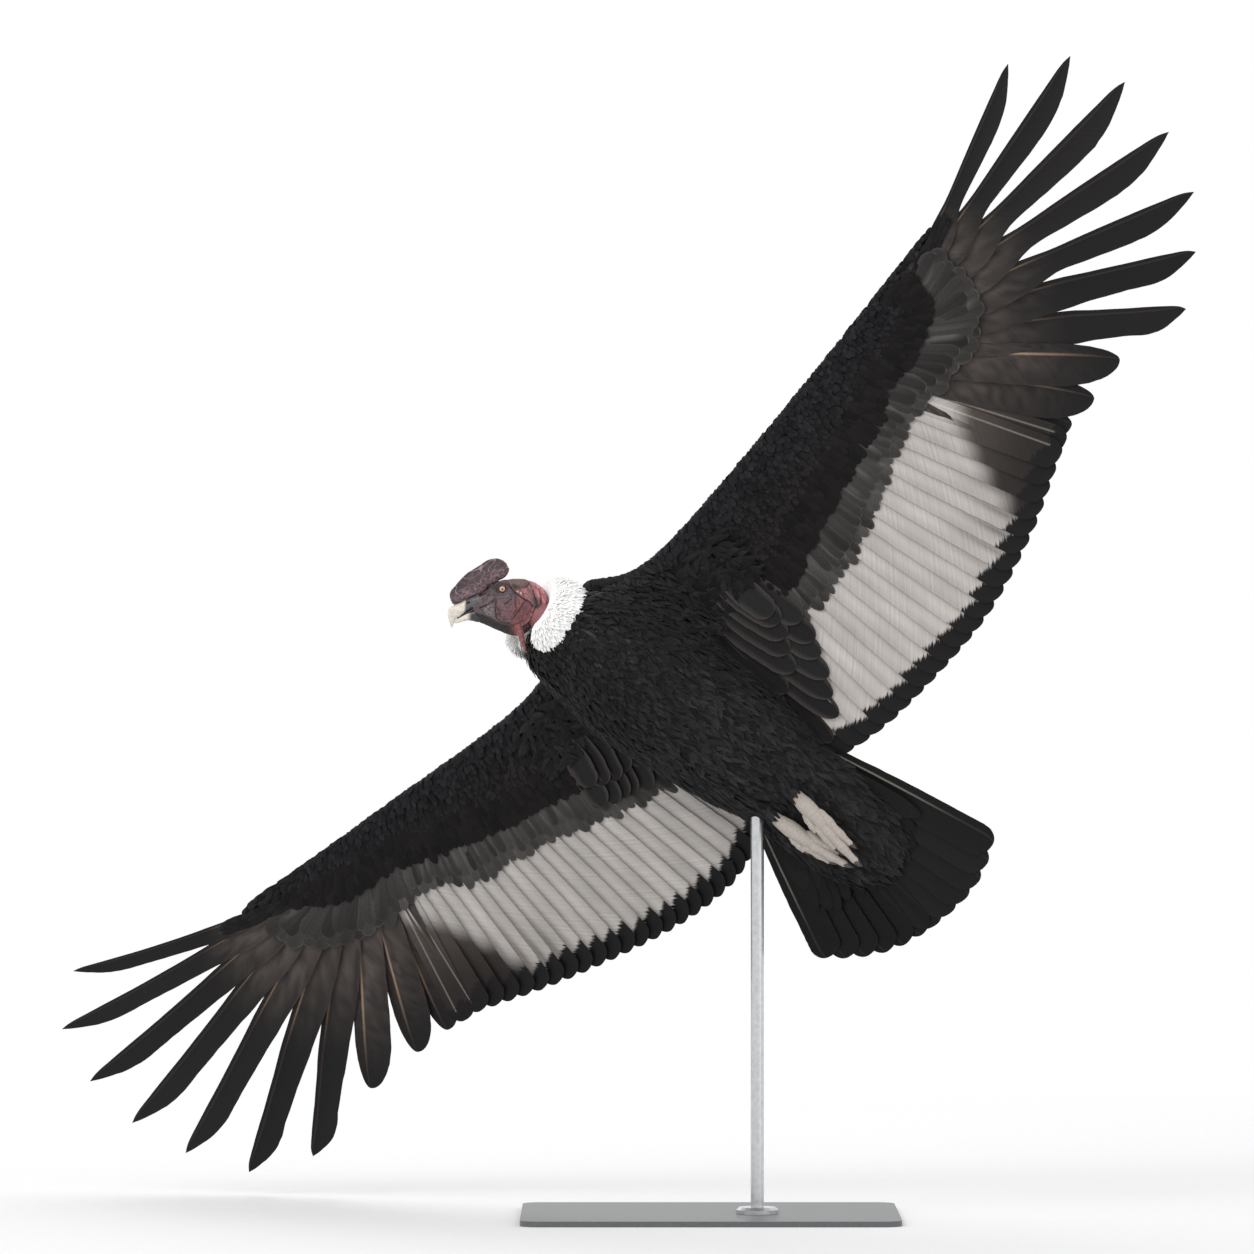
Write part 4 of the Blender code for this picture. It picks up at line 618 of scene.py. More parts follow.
def read(table, x):
    """The table's values at x, along a smooth curve through its rows."""
    rows = np.array(sorted(table), float)
    xs, ys = rows[:, 0], rows[:, 1]
    x = np.clip(x, xs[0], xs[-1])
    slot = np.clip(np.searchsorted(xs, x, side="right") - 1, 0, len(xs) - 2)
    index = np.arange(len(xs))
    low, high = np.maximum(index - 1, 0), np.minimum(index + 1, len(xs) - 1)
    slopes = (ys[high] - ys[low]) / (xs[high] - xs[low])
    span = xs[slot + 1] - xs[slot]
    t = (x - xs[slot]) / span
    return (
        (2 * t**3 - 3 * t**2 + 1) * ys[slot]
        + (t**3 - 2 * t**2 + t) * span * slopes[slot]
        + (3 * t**2 - 2 * t**3) * ys[slot + 1]
        + (t**3 - t**2) * span * slopes[slot + 1]
    )


def mix(a, b, t):
    return a + (b - a) * t


def step(low, high, x):
    """0 below low, 1 above high and smooth between."""
    t = np.clip((x - low) / (high - low), 0.0, 1.0)
    return t * t * (3 - 2 * t)


def hill(far, width):
    """1 where far is 0 and smoothly less on both sides of it."""
    return np.exp(-((far / width) ** 2))


def read_columns(rows, x):
    """Each further column of a table at x, where the first column is x."""
    return [read([(row[0], row[k]) for row in rows], x) for k in range(1, len(rows[0]))]


def run_along(points):
    """Distance from the first point to each one, along their line."""
    return np.concatenate(((0,), np.cumsum(np.linalg.norm(np.diff(points, axis=0), axis=1))))


def turns(count):
    """Angles spread evenly over a full turn."""
    return np.linspace(0, 2 * math.pi, count, endpoint=False)


def uneven(count, amount, least=-np.inf, most=np.inf):
    """Random factors about 1, one for each feather, shaped to multiply their tints."""
    return 1 + amount * RANDOM.normal(0, 1, (count, 1, 1, 1)).clip(least, most)


def along_tint(s):
    """Places along a feather, shaped to multiply the tints of many feathers."""
    return s[None, :, None, None]


def tapered(radius, taper, s, count):
    """Radius of the shafts of a number of feathers, less by the share taper at the tip."""
    return radius * (1 - taper * s) * np.ones((count, 1))


def bake_spots(u, v):
    """Places of feather roots on the unwrap of what they grow from, kept clear of its edges."""
    return np.stack((u, v), -1).clip(*BAKE_LIMITS)


def unit(vectors):
    return vectors / np.maximum(np.linalg.norm(vectors, axis=-1, keepdims=True), 1e-12)


# Making meshes


def build_mesh(name, points, corners, starts):
    """A mesh from an array of points and the corners of its faces, each face from its start."""
    mesh = bpy.data.meshes.new(name)
    mesh.vertices.add(len(points))
    mesh.vertices.foreach_set("co", np.ascontiguousarray(points, np.float32).ravel())
    mesh.loops.add(len(corners))
    mesh.loops.foreach_set("vertex_index", np.ascontiguousarray(corners, np.int32))
    mesh.polygons.add(len(starts))
    mesh.polygons.foreach_set("loop_start", np.ascontiguousarray(starts, np.int32))
    mesh.update(calc_edges=True)
    mesh.validate()
    return mesh


def add_piece(mesh, material, sharp_angle=None):
    """Puts a finished mesh into the scene as one smooth shaded piece of the model."""
    obj = bpy.data.objects.new(mesh.name, mesh)
    bpy.context.scene.collection.objects.link(obj)
    mesh.materials.append(material)
    mesh.shade_smooth()
    if sharp_angle is not None:
        mesh.set_sharp_from_angle(angle=math.radians(sharp_angle))
    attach(obj, "root")
    return obj


def set_attribute(mesh, name, values):
    """Stores a colour or a number for each point of the mesh."""
    if values.shape[-1:] == (3,) and values.ndim == 2:
        colours = np.ones((len(values), 4), np.float32)
        colours[:, :3] = values
        mesh.attributes.new(name, "FLOAT_COLOR", "POINT").data.foreach_set("color", colours.ravel())
    else:
        numbers = np.ascontiguousarray(values, np.float32)
        mesh.attributes.new(name, "FLOAT", "POINT").data.foreach_set("value", numbers)


def set_bake_map(mesh, uv):
    layer = mesh.uv_layers.new(name="OFBake")
    corner = np.empty(len(mesh.loops), np.int32)
    mesh.loops.foreach_get("vertex_index", corner)
    layer.data.foreach_set("uv", np.ascontiguousarray(uv[corner], np.float32).ravel())


def ring_mesh(name, rings):
    """A mesh of many closed tubes from points N x stations x ring x 3, with flat ends."""
    count, stations, around, _ = rings.shape
    index = np.arange(count * stations * around).reshape(count, stations, around)
    near, far = index[:, :-1], index[:, 1:]
    quads = np.stack((near, np.roll(near, -1, 2), np.roll(far, -1, 2), far), -1).reshape(-1, 4)
    caps = np.concatenate((index[:, 0, ::-1], index[:, -1]))
    corners = np.concatenate((quads.ravel(), caps.ravel()))
    starts = np.concatenate(
        (np.arange(len(quads)) * 4, len(quads) * 4 + np.arange(len(caps)) * around)
    )
    return build_mesh(name, rings.reshape(-1, 3), corners, starts)


class Vanes:
    """Many feathers of one make, each a thin closed vane round its shaft."""

    def __init__(self, shaft, side, normal, inner, outer, across, rachis, thick, arch, shaft_radius):
        """shaft, side, normal: N x S x 3; inner, outer: N x S; across: K places from 0 to 1."""
        around = len(across) * 2 - 2
        top = np.arange(len(across))
        order = np.concatenate((top, top[-2:0:-1]))
        face = np.concatenate((np.ones(len(across)), -np.ones(around - len(across))))
        face[[0, len(across) - 1]] = 0.0
        self.c = across[order]
        self.count, self.stations = shaft.shape[:2]
        width = (inner + outer)[..., None]
        inner_edge = (shaft - side * inner[..., None])[:, :, None]
        base = inner_edge + side[:, :, None] * (width * self.c)[..., None]
        rounded = 4 * self.c * (1 - self.c)
        on_shaft = hill(self.c - rachis, SHAFT_SHARE)
        depth = thick / 2 * mix(EDGE_THICKNESS, 1, rounded) + shaft_radius[..., None] * on_shaft
        lift = arch * width * rounded + face * depth
        self.points = base + normal[:, :, None] * lift[..., None]
        ahead = np.linalg.norm(np.diff(shaft, axis=1), axis=-1)
        self.run = np.concatenate((np.zeros((self.count, 1)), np.cumsum(ahead, 1)), 1)[..., None]
        self.off_shaft = (self.c - rachis) * width
        self.shape = self.points.shape[:3]
        self.shaft_mask = np.broadcast_to(on_shaft, self.shape)[..., None] > SHAFT_EDGE
        self.across = self.c[None, None, :, None]

    def barbs(self):
        """Runs along the vane, slanting back from the shaft as the barbs do."""
        shift = RANDOM.uniform(0, 50, (self.count, 1, 1))
        return self.run - BARB_SLANT * np.abs(self.off_shaft) + shift

    def piece(self, name, tint, material, slot, spots, sharp=55, place=from_bird, pale=1.0):
        """Makes the object; spots are the places of the roots on the unwrap, or None for a strip each."""
        mesh = ring_mesh(name, place(self.points))
        set_attribute(mesh, "pale", np.broadcast_to(pale, self.shape).ravel())
        set_attribute(mesh, "tint", np.broadcast_to(tint, self.shape + (3,)).reshape(-1, 3))
        set_attribute(mesh, "barb", np.broadcast_to(self.barbs(), self.shape).ravel())
        s = np.linspace(0, 1, self.stations)[None, :, None]
        if spots is None:
            round_ring = np.linspace(STRIP_MARGIN, 1 - STRIP_MARGIN, self.shape[2])[None, None]
            strips = (np.arange(self.count)[:, None, None] + round_ring) / self.count
            uv = np.stack(np.broadcast_arrays(s, strips), -1)
        else:
            patch = np.stack(np.broadcast_arrays(s, self.c[None, None]), -1) * BAKE_PATCH
            uv = spots[:, None, None] + patch
        uv = np.broadcast_to(uv, self.shape + (2,))
        set_bake_map(mesh, uv.reshape(-1, 2))
        add_piece(mesh, material, sharp)


def shaft_frames(points, up):
    """Directions across and normal to each shaft, with up the side that the normals face."""
    ahead = unit(np.gradient(points, axis=1))
    across = unit(np.cross(ahead, up))
    return across, unit(np.cross(across, ahead))


# The wings' surfaces


def wing_surface(out):
    return SHOULDER_RISE + DIHEDRAL * np.maximum(0.0, out - SHOULDER_OUT)


def on_wing(side, out, fore, lift=0.0):
    """Points of the wing in the bird's frame, from their places on the planform."""
    sweep = SWEEP[side]
    out = np.where(out > WRIST_OUT, WRIST_OUT + (out - WRIST_OUT) * HAND_REACH[side], out)
    reach = out - SHOULDER_OUT
    turned_out = SHOULDER_OUT + reach * math.cos(sweep) - fore * math.sin(sweep)
    turned_fore = reach * math.sin(sweep) + fore * math.cos(sweep)
    rise = wing_surface(turned_out) + lift
    return np.stack(np.broadcast_arrays(turned_fore, side * turned_out, rise), -1)


def coat_lift(side, out, fore, level):
    """Height of the coat above or below the wing's middle surface."""
    front, rear = read(LEADING_EDGE[side], out), read(CORE_REAR, out)
    u = (front - fore) / (front - rear)
    thick = read(CORE_THICKNESS, out)
    on_core = read(CORE_PROFILE[level], np.clip(u, 0, 1)) * thick
    rear_lift = read(CORE_PROFILE[level], np.array(1.0)) * thick
    thin = level * REAR_COAT
    beyond = thin + (rear_lift - thin) * np.exp(-np.maximum(u - 1, 0) * REAR_FADE)
    return np.where(u > 1, beyond, on_core)


def on_coat(side, out, fore, level, proud=0.0):
    return on_wing(side, out, fore, coat_lift(side, out, fore, level) + level * proud)


def coat_normals(side, out, fore, level):
    """Normals of the wing's coat, away from the wing."""
    along = on_coat(side, out + NORMAL_STEP, fore, level) - on_coat(side, out - NORMAL_STEP, fore, level)
    chord = on_coat(side, out, fore + NORMAL_STEP, level) - on_coat(side, out, fore - NORMAL_STEP, level)
    normal = unit(np.cross(chord, along))
    return normal * np.sign(normal[..., 2:]) * level


# Flight feathers


def tip_packed(count):
    """Places from 0 to 1, closer together towards the tip."""
    return 1 - (1 - np.linspace(0, 1, count)) ** TIP_PACKING


def primary_root(index):
    t = np.asarray(index, float) / (PRIMARIES - 1) * 2
    roots = np.array(PRIMARY_ROOTS)
    inner = mix(roots[0], roots[1], np.clip(t, 0, 1)[..., None])
    return mix(inner, roots[2], np.clip(t - 1, 0, 1)[..., None])


def primary_tip(side, index):
    angle = np.radians(read(list(enumerate(PRIMARY_ANGLE[side])), index))
    length = read(list(enumerate(PRIMARY_LENGTH[side])), index)
    return primary_root(index) + np.stack((np.cos(angle), np.sin(angle)), -1) * length[..., None]


def secondary_ends(side, index):
    t = np.asarray(index, float) / (SECONDARIES - 1)
    tips = TRAILING_TIPS[side]
    root_out = mix(*SECONDARY_ROOT_OUT, t)
    tip_out = mix(tips[-1][0], tips[0][0], t)
    roots = np.stack((root_out, read(CORE_REAR, root_out) + SECONDARY_ROOT_FORE), -1)
    return roots, np.stack((tip_out, read(tips, tip_out)), -1)


def round_tip(s, start, least):
    """Width share of a rounded end: full up to start, then an arc down to the tip."""
    t = np.clip((s - start) / (1 - start), 0, 1)
    return np.maximum(np.sqrt(1 - t * t), least)


def flight_shafts(side, root, tip, lift, droop, bow, s):
    """Points of the shafts from their ends on the planform, bowed in it and bent up towards the tip."""
    along = tip - root
    normal_2d = unit(np.stack((along[:, 1], -along[:, 0]), -1))
    curve = (bow * 4 * s * (1 - s))[..., None]
    place = root[:, None] + along[:, None] * s[..., None] + normal_2d[:, None] * curve
    return on_wing(side, place[..., 0], place[..., 1], lift * s * s + droop * s)


def slanted_frames(side, points):
    """Frames of flight feathers, each with its outer edge raised over its neighbour."""
    up = np.broadcast_to(unit(np.array((0.0, -side * DIHEDRAL, 1.0))), points.shape)
    across, normal = shaft_frames(points, up)
    across = across * side
    turned = across * math.cos(LOUVRE) + normal * math.sin(LOUVRE)
    return turned, normal * math.cos(LOUVRE) - across * math.sin(LOUVRE)


def finger_outline(side, notch, s):
    """Width and outer share of a slotted primary along its shaft; the left ones narrow more at the notch."""
    past = 1 - notch
    neck = max(FINGER_NECK[side], 0.72 + 0.26 * float(step(0.40, 0.56, notch)))
    before = ((0.0, 0.65), (notch * 0.55, 1.15), (notch - 0.05, 1.08), (notch + 0.04, neck + 0.06))
    behind = ((0.14, neck), (0.32, 0.5 * neck + 0.44), (0.50, 0.88), (0.66, 0.88), (0.78, 0.75), (0.88, 0.50),
              (0.95, 0.27))
    width = read((*before, *((notch + share * past, wide) for share, wide in behind), (1.0, 0.01)), s)
    outer = read(((0.0, 0.25), (notch, 0.26), (notch + 0.3 * past, 0.22), (notch + 0.8 * past, 0.20),
                  (1.0, 0.40)), s)
    return width, outer


def edge_wear(shape, amount):
    """Slightly uneven vane edges."""
    return 1 + RANDOM.normal(0, amount, shape)


def primaries(side, material):
    """The ten primaries of a wing: slotted fingers, and rounded ones next to the secondaries."""
    s = tip_packed(STATIONS)
    index = np.arange(PRIMARIES)
    root, tip = primary_root(index), primary_tip(side, index)
    fingers = index >= ROUNDED_PRIMARIES
    lift = np.where(fingers, FINGER_LIFT[side], INNER_PRIMARY_LIFT)[:, None]
    bow = np.array(FINGER_BOW[side])[:, None]
    points = flight_shafts(side, root, tip, lift, 0.0, bow, np.broadcast_to(s, (PRIMARIES, STATIONS)))
    across, normal = slanted_frames(side, points)
    width, outer = np.empty((PRIMARIES, STATIONS)), np.empty((PRIMARIES, STATIONS))
    for i in index:
        if fingers[i]:
            share, outer[i] = finger_outline(side, PRIMARY_NOTCH[i], s)
            width[i] = FINGER_WIDTH[side][i] * share
        else:
            width[i] = ROUNDED_PRIMARY_WIDTH * read(ROUNDED_PRIMARY_BODY, s) * round_tip(s, 0.73, 0.03)
            outer[i] = OUTER_SHARE
    width *= edge_wear(width.shape, FLIGHT_WEAR)
    for chosen, across_places, rachis, name in (
        (fingers, FINGER_ACROSS, FINGER_RACHIS, "fingers"),
        (~fingers, FLIGHT_ACROSS, FLIGHT_RACHIS, "inner_primaries"),
    ):
        w, o = width[chosen], outer[chosen]
        shaft = tapered(FLIGHT_SHAFT * 1.25, 0.93, s, chosen.sum())
        vanes = Vanes(points[chosen], across[chosen], normal[chosen], w * (1 - o), w * o, across_places,
                      rachis, FLIGHT_THICKNESS, FLIGHT_ARCH, shaft)
        tint = primary_tint(vanes, s, index[chosen])
        vanes.piece(f"{name}_{SIDE_NAME[side]}", tint, material, "wing_feather", None)


def primary_tint(vanes, s, index):
    """Brown-black, paler and mottled towards the root, with a shaft that is tan near the root."""
    along, c = along_tint(s), vanes.across
    rounded = (index < ROUNDED_PRIMARIES)[:, None, None, None]
    fingered = PALE_REACH - PALE_LOSS * (index[:, None, None, None] - ROUNDED_PRIMARIES)
    reach = np.where(rounded, 1.0, fingered)
    mottle = 1 + 0.35 * RANDOM.normal(0, 1, vanes.shape + (1,)).clip(-1.5, 1.5)
    pale = step(reach, 0.12, along) * mix(0.55, 1.0, step(0.15, 0.5, c) * step(1.0, 0.7, c)) * mottle
    body = mix(BLACK * 1.25, PRIMARY_BROWN, pale.clip(0, 1))
    body = body * uneven(len(index), 0.12, -1, 1)
    shaft_colour = mix(SHAFT_TAN, SHAFT_DARK, step(reach * 0.45, reach * 0.95, along))
    return mix(body, shaft_colour, vanes.shaft_mask * 1.0)


def secondaries(side, material):
    """The secondaries of a wing, with one more that closes the gap to the innermost primary."""
    s = tip_packed(STATIONS)
    index = np.arange(SECONDARIES)
    root, tip = secondary_ends(side, index)
    first_root = (root[:1] + primary_root(np.zeros(1))) / 2
    first_tip = (tip[:1] + primary_tip(side, np.zeros(1))) / 2
    root, tip = np.concatenate((first_root, root)), np.concatenate((first_tip, tip))
    index = np.concatenate(((-0.5,), index))
    count = len(index)
    stations = np.broadcast_to(s, (count, STATIONS))
    droop = np.full((count, 1), SECONDARY_DROOP)
    droop[0] = SECONDARY_DROOP / 3
    points = flight_shafts(side, root, tip, 0.0, droop, 0.0, stations)
    across, normal = slanted_frames(side, points)
    body = read(SECONDARY_BODY, s) * round_tip(s, 0.925, 0.05)
    width = SECONDARY_WIDTH * body * edge_wear(stations.shape, FLIGHT_WEAR)
    vanes = Vanes(points, across, normal, width * (1 - OUTER_SHARE), width * OUTER_SHARE, FLIGHT_ACROSS,
                  FLIGHT_RACHIS, FLIGHT_THICKNESS, FLIGHT_ARCH, tapered(FLIGHT_SHAFT, 0.9, s, count))
    tint, pale = secondary_tint(vanes, side, index)
    vanes.piece(f"secondaries_{SIDE_NAME[side]}", tint, material, "wing_feather", None, pale=pale)


def secondary_tint(vanes, side, index):
    """White feathers whose tips are black, and smudged brown ones next to the hand."""
    to_tip = (vanes.run[:, -1:] - vanes.run)[..., None]
    c = vanes.across
    feather = index[:, None, None, None]
    number = feather - WHITE_FROM[side]
    uneven_tip = RANDOM.normal(0, 0.0045, (len(index), 1, 1, 1))
    pale = to_tip - BLACK_TIP + WHITE_SLANT * (c - 0.55) + uneven_tip
    pale = pale + 0.012 * hill(c - FLIGHT_RACHIS, 0.13) * (number < 2.5)
    # Painted shade along each white vane's inner edge, where the feathers overlap
    white = WHITE_VANE * uneven(len(index), 0.06, -1.5, 1.5) * mix(0.80, 1.0, step(0.0, 0.30, c))
    cloud = 0.5 + 0.5 * np.sin(vanes.run[..., None] * 34 + feather * 2.7) * np.sin(c * 5 + number)
    white = white * mix(0.90, 1.04, cloud)
    edge = read(WHITE_EDGE, index)[:, None, None, None]
    brown_share = 1 - step(edge - WHITE_BLUR, edge + WHITE_BLUR, to_tip + 0.03 * (0.5 - c))
    smudge = step(5.5, 2.0, number) * hill(c - 0.42, 0.13) * step(0.22, 0.06, to_tip) * 0.75
    body = mix(white, PRIMARY_BROWN * mix(0.25, 0.95, step(0.05, 0.26, to_tip)), brown_share)
    body = mix(body, PRIMARY_BROWN * 0.9, smudge * (1 - brown_share))
    shaft_colour = mix(body, SHAFT_CREAM, 0.75 - 0.5 * brown_share)
    return mix(body, shaft_colour, vanes.shaft_mask * 1.0), pale[..., 0]


# Coverts of the wings


def covert_line(kind, level, side):
    return UPPER_LINES[kind] if level == UPPER else COVERT_LINES[kind, level, side]


def along_line(line, gap, start=0.0):
    """Tips spaced along a line of the planform, with the way that each feather points."""
    rows = np.array(line, float)
    run = np.concatenate(((0,), np.cumsum(np.hypot(*np.diff(rows[:, :2], axis=0).T))))
    places = [start * gap(rows[0, 0])]
    while places[-1] < run[-1]:
        places.append(places[-1] + gap(np.interp(places[-1], run, rows[:, 0])))
    at = np.array(places[:-1])
    return read_columns(np.column_stack((run, rows)).tolist(), at)


def lie_angle(out):
    """Direction in which the small coverts point, on the planform, from outwards."""
    return read(SMALL_COVERT_ANGLE, out)


def towards_root(out, fore, angle, reach):
    """Places of the planform moved by reach against the way that each feather points."""
    return out - np.cos(np.radians(angle)) * reach, fore - np.sin(np.radians(angle)) * reach


class Row:
    """Coverts laid on a wing with their tips along a line."""

    def __init__(self, side, level, out, fore, angle, length, width, stations, across, thick,
                 tip_proud, root_deep, shaft_radius=0.0, round_from=0.72, spread=0.0):
        count = len(out)
        angle = np.radians(angle) + RANDOM.normal(0, spread, count)
        way = np.stack((np.cos(angle), np.sin(angle)), -1)
        length = np.broadcast_to(length, (count,))
        s = tip_packed(stations)
        place = np.stack((out, fore), -1)[:, None] + way[:, None] * ((s - 1) * length[:, None])[..., None]
        edge = read(LEADING_EDGE[side], place[..., 0]) - LEADING_MARGIN
        o, f = np.minimum(place[..., 0], COVERT_TIP_OUT), np.minimum(place[..., 1], edge)
        proud = mix(-root_deep, tip_proud, s)[None] + RANDOM.normal(0, 0.0006, (count, 1))
        points = on_coat(side, o, f, level, proud)
        across_way, normal = shaft_frames(points, coat_normals(side, o, f, level))
        across_way = across_way * side * level
        half = width / 2 * read(COVERT_BODY, s) * round_tip(s, round_from, 0.05) * np.ones((count, 1))
        half = half * (1 + RANDOM.normal(0, 0.05, (count, 1))) * edge_wear(half.shape, 0.015)
        self.along = along_tint(s)
        shafts = tapered(shaft_radius, 0.85, s, count)
        self.vanes = Vanes(points, across_way, normal, half, half, across, MIDDLE_RACHIS, thick,
                           COVERT_ARCH, shafts)
        self.spots = bake_spots((out - 0.02) / UNWRAP_OUT, (fore - UNWRAP_REAR) / UNWRAP_FORE)

    def piece(self, name, tint, material):
        self.vanes.piece(name, tint, material, "wing_feather", self.spots, 60)


def greater_coverts(side, level, material):
    """Two tiers of broad rounded coverts over the roots of the flight feathers."""
    line = covert_line("greater", level, side)
    for tier, (before, shorter) in enumerate(GREATER_TIERS):
        out, fore, angle = along_line(
            line, lambda o: ARM_GREATER_GAP if o < HAND_OUT else HAND_GREATER_GAP, 0.5 * tier)
        count = len(out)
        on_hand = out > HAND_OUT
        angle = angle + RANDOM.normal(0, 3.5, count)
        out, fore = towards_root(out, fore, angle, before + RANDOM.normal(0, 0.0055, count))
        width = np.where(on_hand, HAND_GREATER_WIDTH, ARM_GREATER_WIDTH)[:, None]
        width = width * RANDOM.uniform(0.88, 1.12, (count, 1))
        length = GREATER_LENGTH * shorter * np.ones(count)
        row = Row(side, level, out, fore, angle, length, width, stations=14, across=COVERT_ACROSS,
                  thick=0.0006, tip_proud=0.0045 + 0.0012 * tier, root_deep=0.002, shaft_radius=0.0005)
        tint = greater_tint(row, level, tier, on_hand)
        row.piece(f"greater_coverts_{LEVEL_NAME[level]}_{SIDE_NAME[side]}_{tier}", tint, material)


def greater_tint(row, level, tier, on_hand):
    """White above over the arm, and grey below with pale streaks and rims."""
    c, s = row.vanes.across, row.along
    count = len(on_hand)
    hand = on_hand[:, None, None, None]
    each = uneven(count, 0.32, -1.5, 1.8)
    if level == UPPER and tier == 0:
        white = WHITE_VANE * 0.92 * uneven(count, 0.05)
        body = mix(BLACK * 1.5, white, step(0.05, 0.25, s) * ~hand)
    elif level == UPPER:
        body = BLACK * 1.6 * each * np.ones_like(c * s)
    else:
        grey = np.where(hand, COVERT_GREY * 0.72, COVERT_GREY)
        body = grey * each * mix(1.15, 0.85, step(0.3, 0.95, s)) * (1.0 if tier == 0 else 0.72)
        side_of_streak = RANDOM.choice((0.22, 0.75), (count, 1, 1, 1))
        strength = RANDOM.uniform(0.0, 0.8, (count, 1, 1, 1)) ** 1.5
        streak = hill(c - side_of_streak, 0.14) * step(0.97, 0.60, s) * strength
        body = mix(body, COVERT_PALE, streak)
        rim = np.maximum(step(0.965, 0.99, s), step(0.46, 0.50, np.abs(c - 0.5)) * 0.7)
        body = mix(body, COVERT_PALE * 0.7, rim * RANDOM.uniform(0.2, 0.8, (count, 1, 1, 1)))
    return mix(body, body * 0.55, row.vanes.shaft_mask * 0.5)


def median_coverts(side, level, material):
    """Tiers of dark brown coverts just in front of the greater ones."""
    line = covert_line("median", level, side)
    for tier, (before, length, width, gap) in enumerate(MEDIAN_TIERS):
        out, fore, angle = along_line(line, lambda o: gap, 0.3 * tier)
        count = len(out)
        angle = angle + RANDOM.normal(0, 5, count)
        out, fore = towards_root(out, fore, angle, before + RANDOM.normal(0, 0.004, count))
        widths = width * RANDOM.uniform(0.85, 1.15, (count, 1))
        row = Row(side, level, out, fore, angle, length, widths, stations=10, across=COVERT_ACROSS,
                  thick=0.0005, tip_proud=0.0062 - 0.0007 * tier, root_deep=0.002, shaft_radius=0.0004,
                  round_from=0.68, spread=0.05)
        each = uneven(count, 0.32, -1.5, 1.8)
        body = mix(COVERT_BROWN * 1.4, COVERT_BROWN, step(0.2, 0.8, row.along)) * each
        rim = step(0.95, 0.99, row.along) * RANDOM.uniform(0.1, 0.8, (count, 1, 1, 1))
        body = mix(body, COVERT_BROWN * 2.2, rim)
        row.piece(f"median_coverts_{LEVEL_NAME[level]}_{SIDE_NAME[side]}_{tier}", body, material)


def lesser_coverts(side, level, material):
    """Small black feathers from the median coverts forward to the leading edge."""
    line = np.array(covert_line("median", level, side), float)
    rear = np.column_stack(towards_root(line[:, 0], line[:, 1], line[:, 2], LESSER_BEFORE))
    edge_out = np.linspace(*LESSER_OUT, 60)
    edge = np.column_stack((edge_out, read(LEADING_EDGE[side], edge_out) - LEADING_MARGIN))
    outline = [tuple(p) for p in (*edge, *rear[::-1])] + [(LESSER_OUT[0], rear[0, 1] + 0.02)]
    out_gap, fore_gap = LESSER_GAPS[level]
    out, fore = np.meshgrid(np.arange(*LESSER_OUT, out_gap), np.arange(*LESSER_FORE, -fore_gap))
    out, fore = out.ravel(), fore.ravel()
    chosen = inside(out, fore, outline)
    count = np.count_nonzero(chosen)
    out = out[chosen] + RANDOM.normal(0, 0.0035, count)
    fore = fore[chosen] + RANDOM.normal(0, 0.0035, count)
    fore = np.minimum(fore, read(LEADING_EDGE[side], out) - 0.002)
    length = RANDOM.uniform(0.026, 0.036, count)
    width = RANDOM.uniform(0.010, 0.015, (count, 1))
    row = Row(side, level, out, fore, lie_angle(out), length, width, stations=6, across=SMALL_ACROSS,
              thick=0.0012, tip_proud=0.0030, root_deep=0.004, round_from=0.55, spread=0.16)
    body = LESSER_BLACK * uneven(count, 0.38, -1.6, 2.0) * mix(0.8, 1.15, row.along)
    warm = step(0.0, 0.12, -fore)[:, None, None, None]
    body = body * mix(COOL_SHADE, WARM_SHADE, warm)
    row.piece(f"lesser_coverts_{LEVEL_NAME[level]}_{SIDE_NAME[side]}", body, material)


def leading_coverts(side, material):
    """Narrow dark feathers that carry the leading edge on to the outermost primary."""
    for level in (UNDER, UPPER):
        out = np.arange(*LEADING_COVERTS_OUT, 0.011)
        root_out, root_fore = primary_root(np.array((PRIMARIES - 1.0,)))[0]
        slope = math.tan(math.radians(PRIMARY_ANGLE[side][-1]))
        on_shaft = root_fore + (out - root_out) * slope
        edge = np.where(out < CORE_END, read(LEADING_EDGE[side], out), on_shaft + 0.008)
        for tier, back in enumerate((0.0, 0.010, 0.020)):
            fore = np.minimum(edge, on_shaft + 0.014) - 0.004 - back
            angle = PRIMARY_ANGLE[side][-1] - 3 * tier + RANDOM.normal(0, 2, len(out))
            width = 0.013 * np.ones((len(out), 1))
            row = Row(side, level, out + 0.004 * tier, fore, angle, 0.050, width, stations=8,
                      across=SMALL_ACROSS, thick=0.0010, tip_proud=0.003, root_deep=0.002, round_from=0.6)
            tint = LESSER_BLACK * uneven(len(out), 0.3, -1.5, 2.0)
            row.piece(f"leading_coverts_{LEVEL_NAME[level]}_{SIDE_NAME[side]}_{tier}", tint, material)


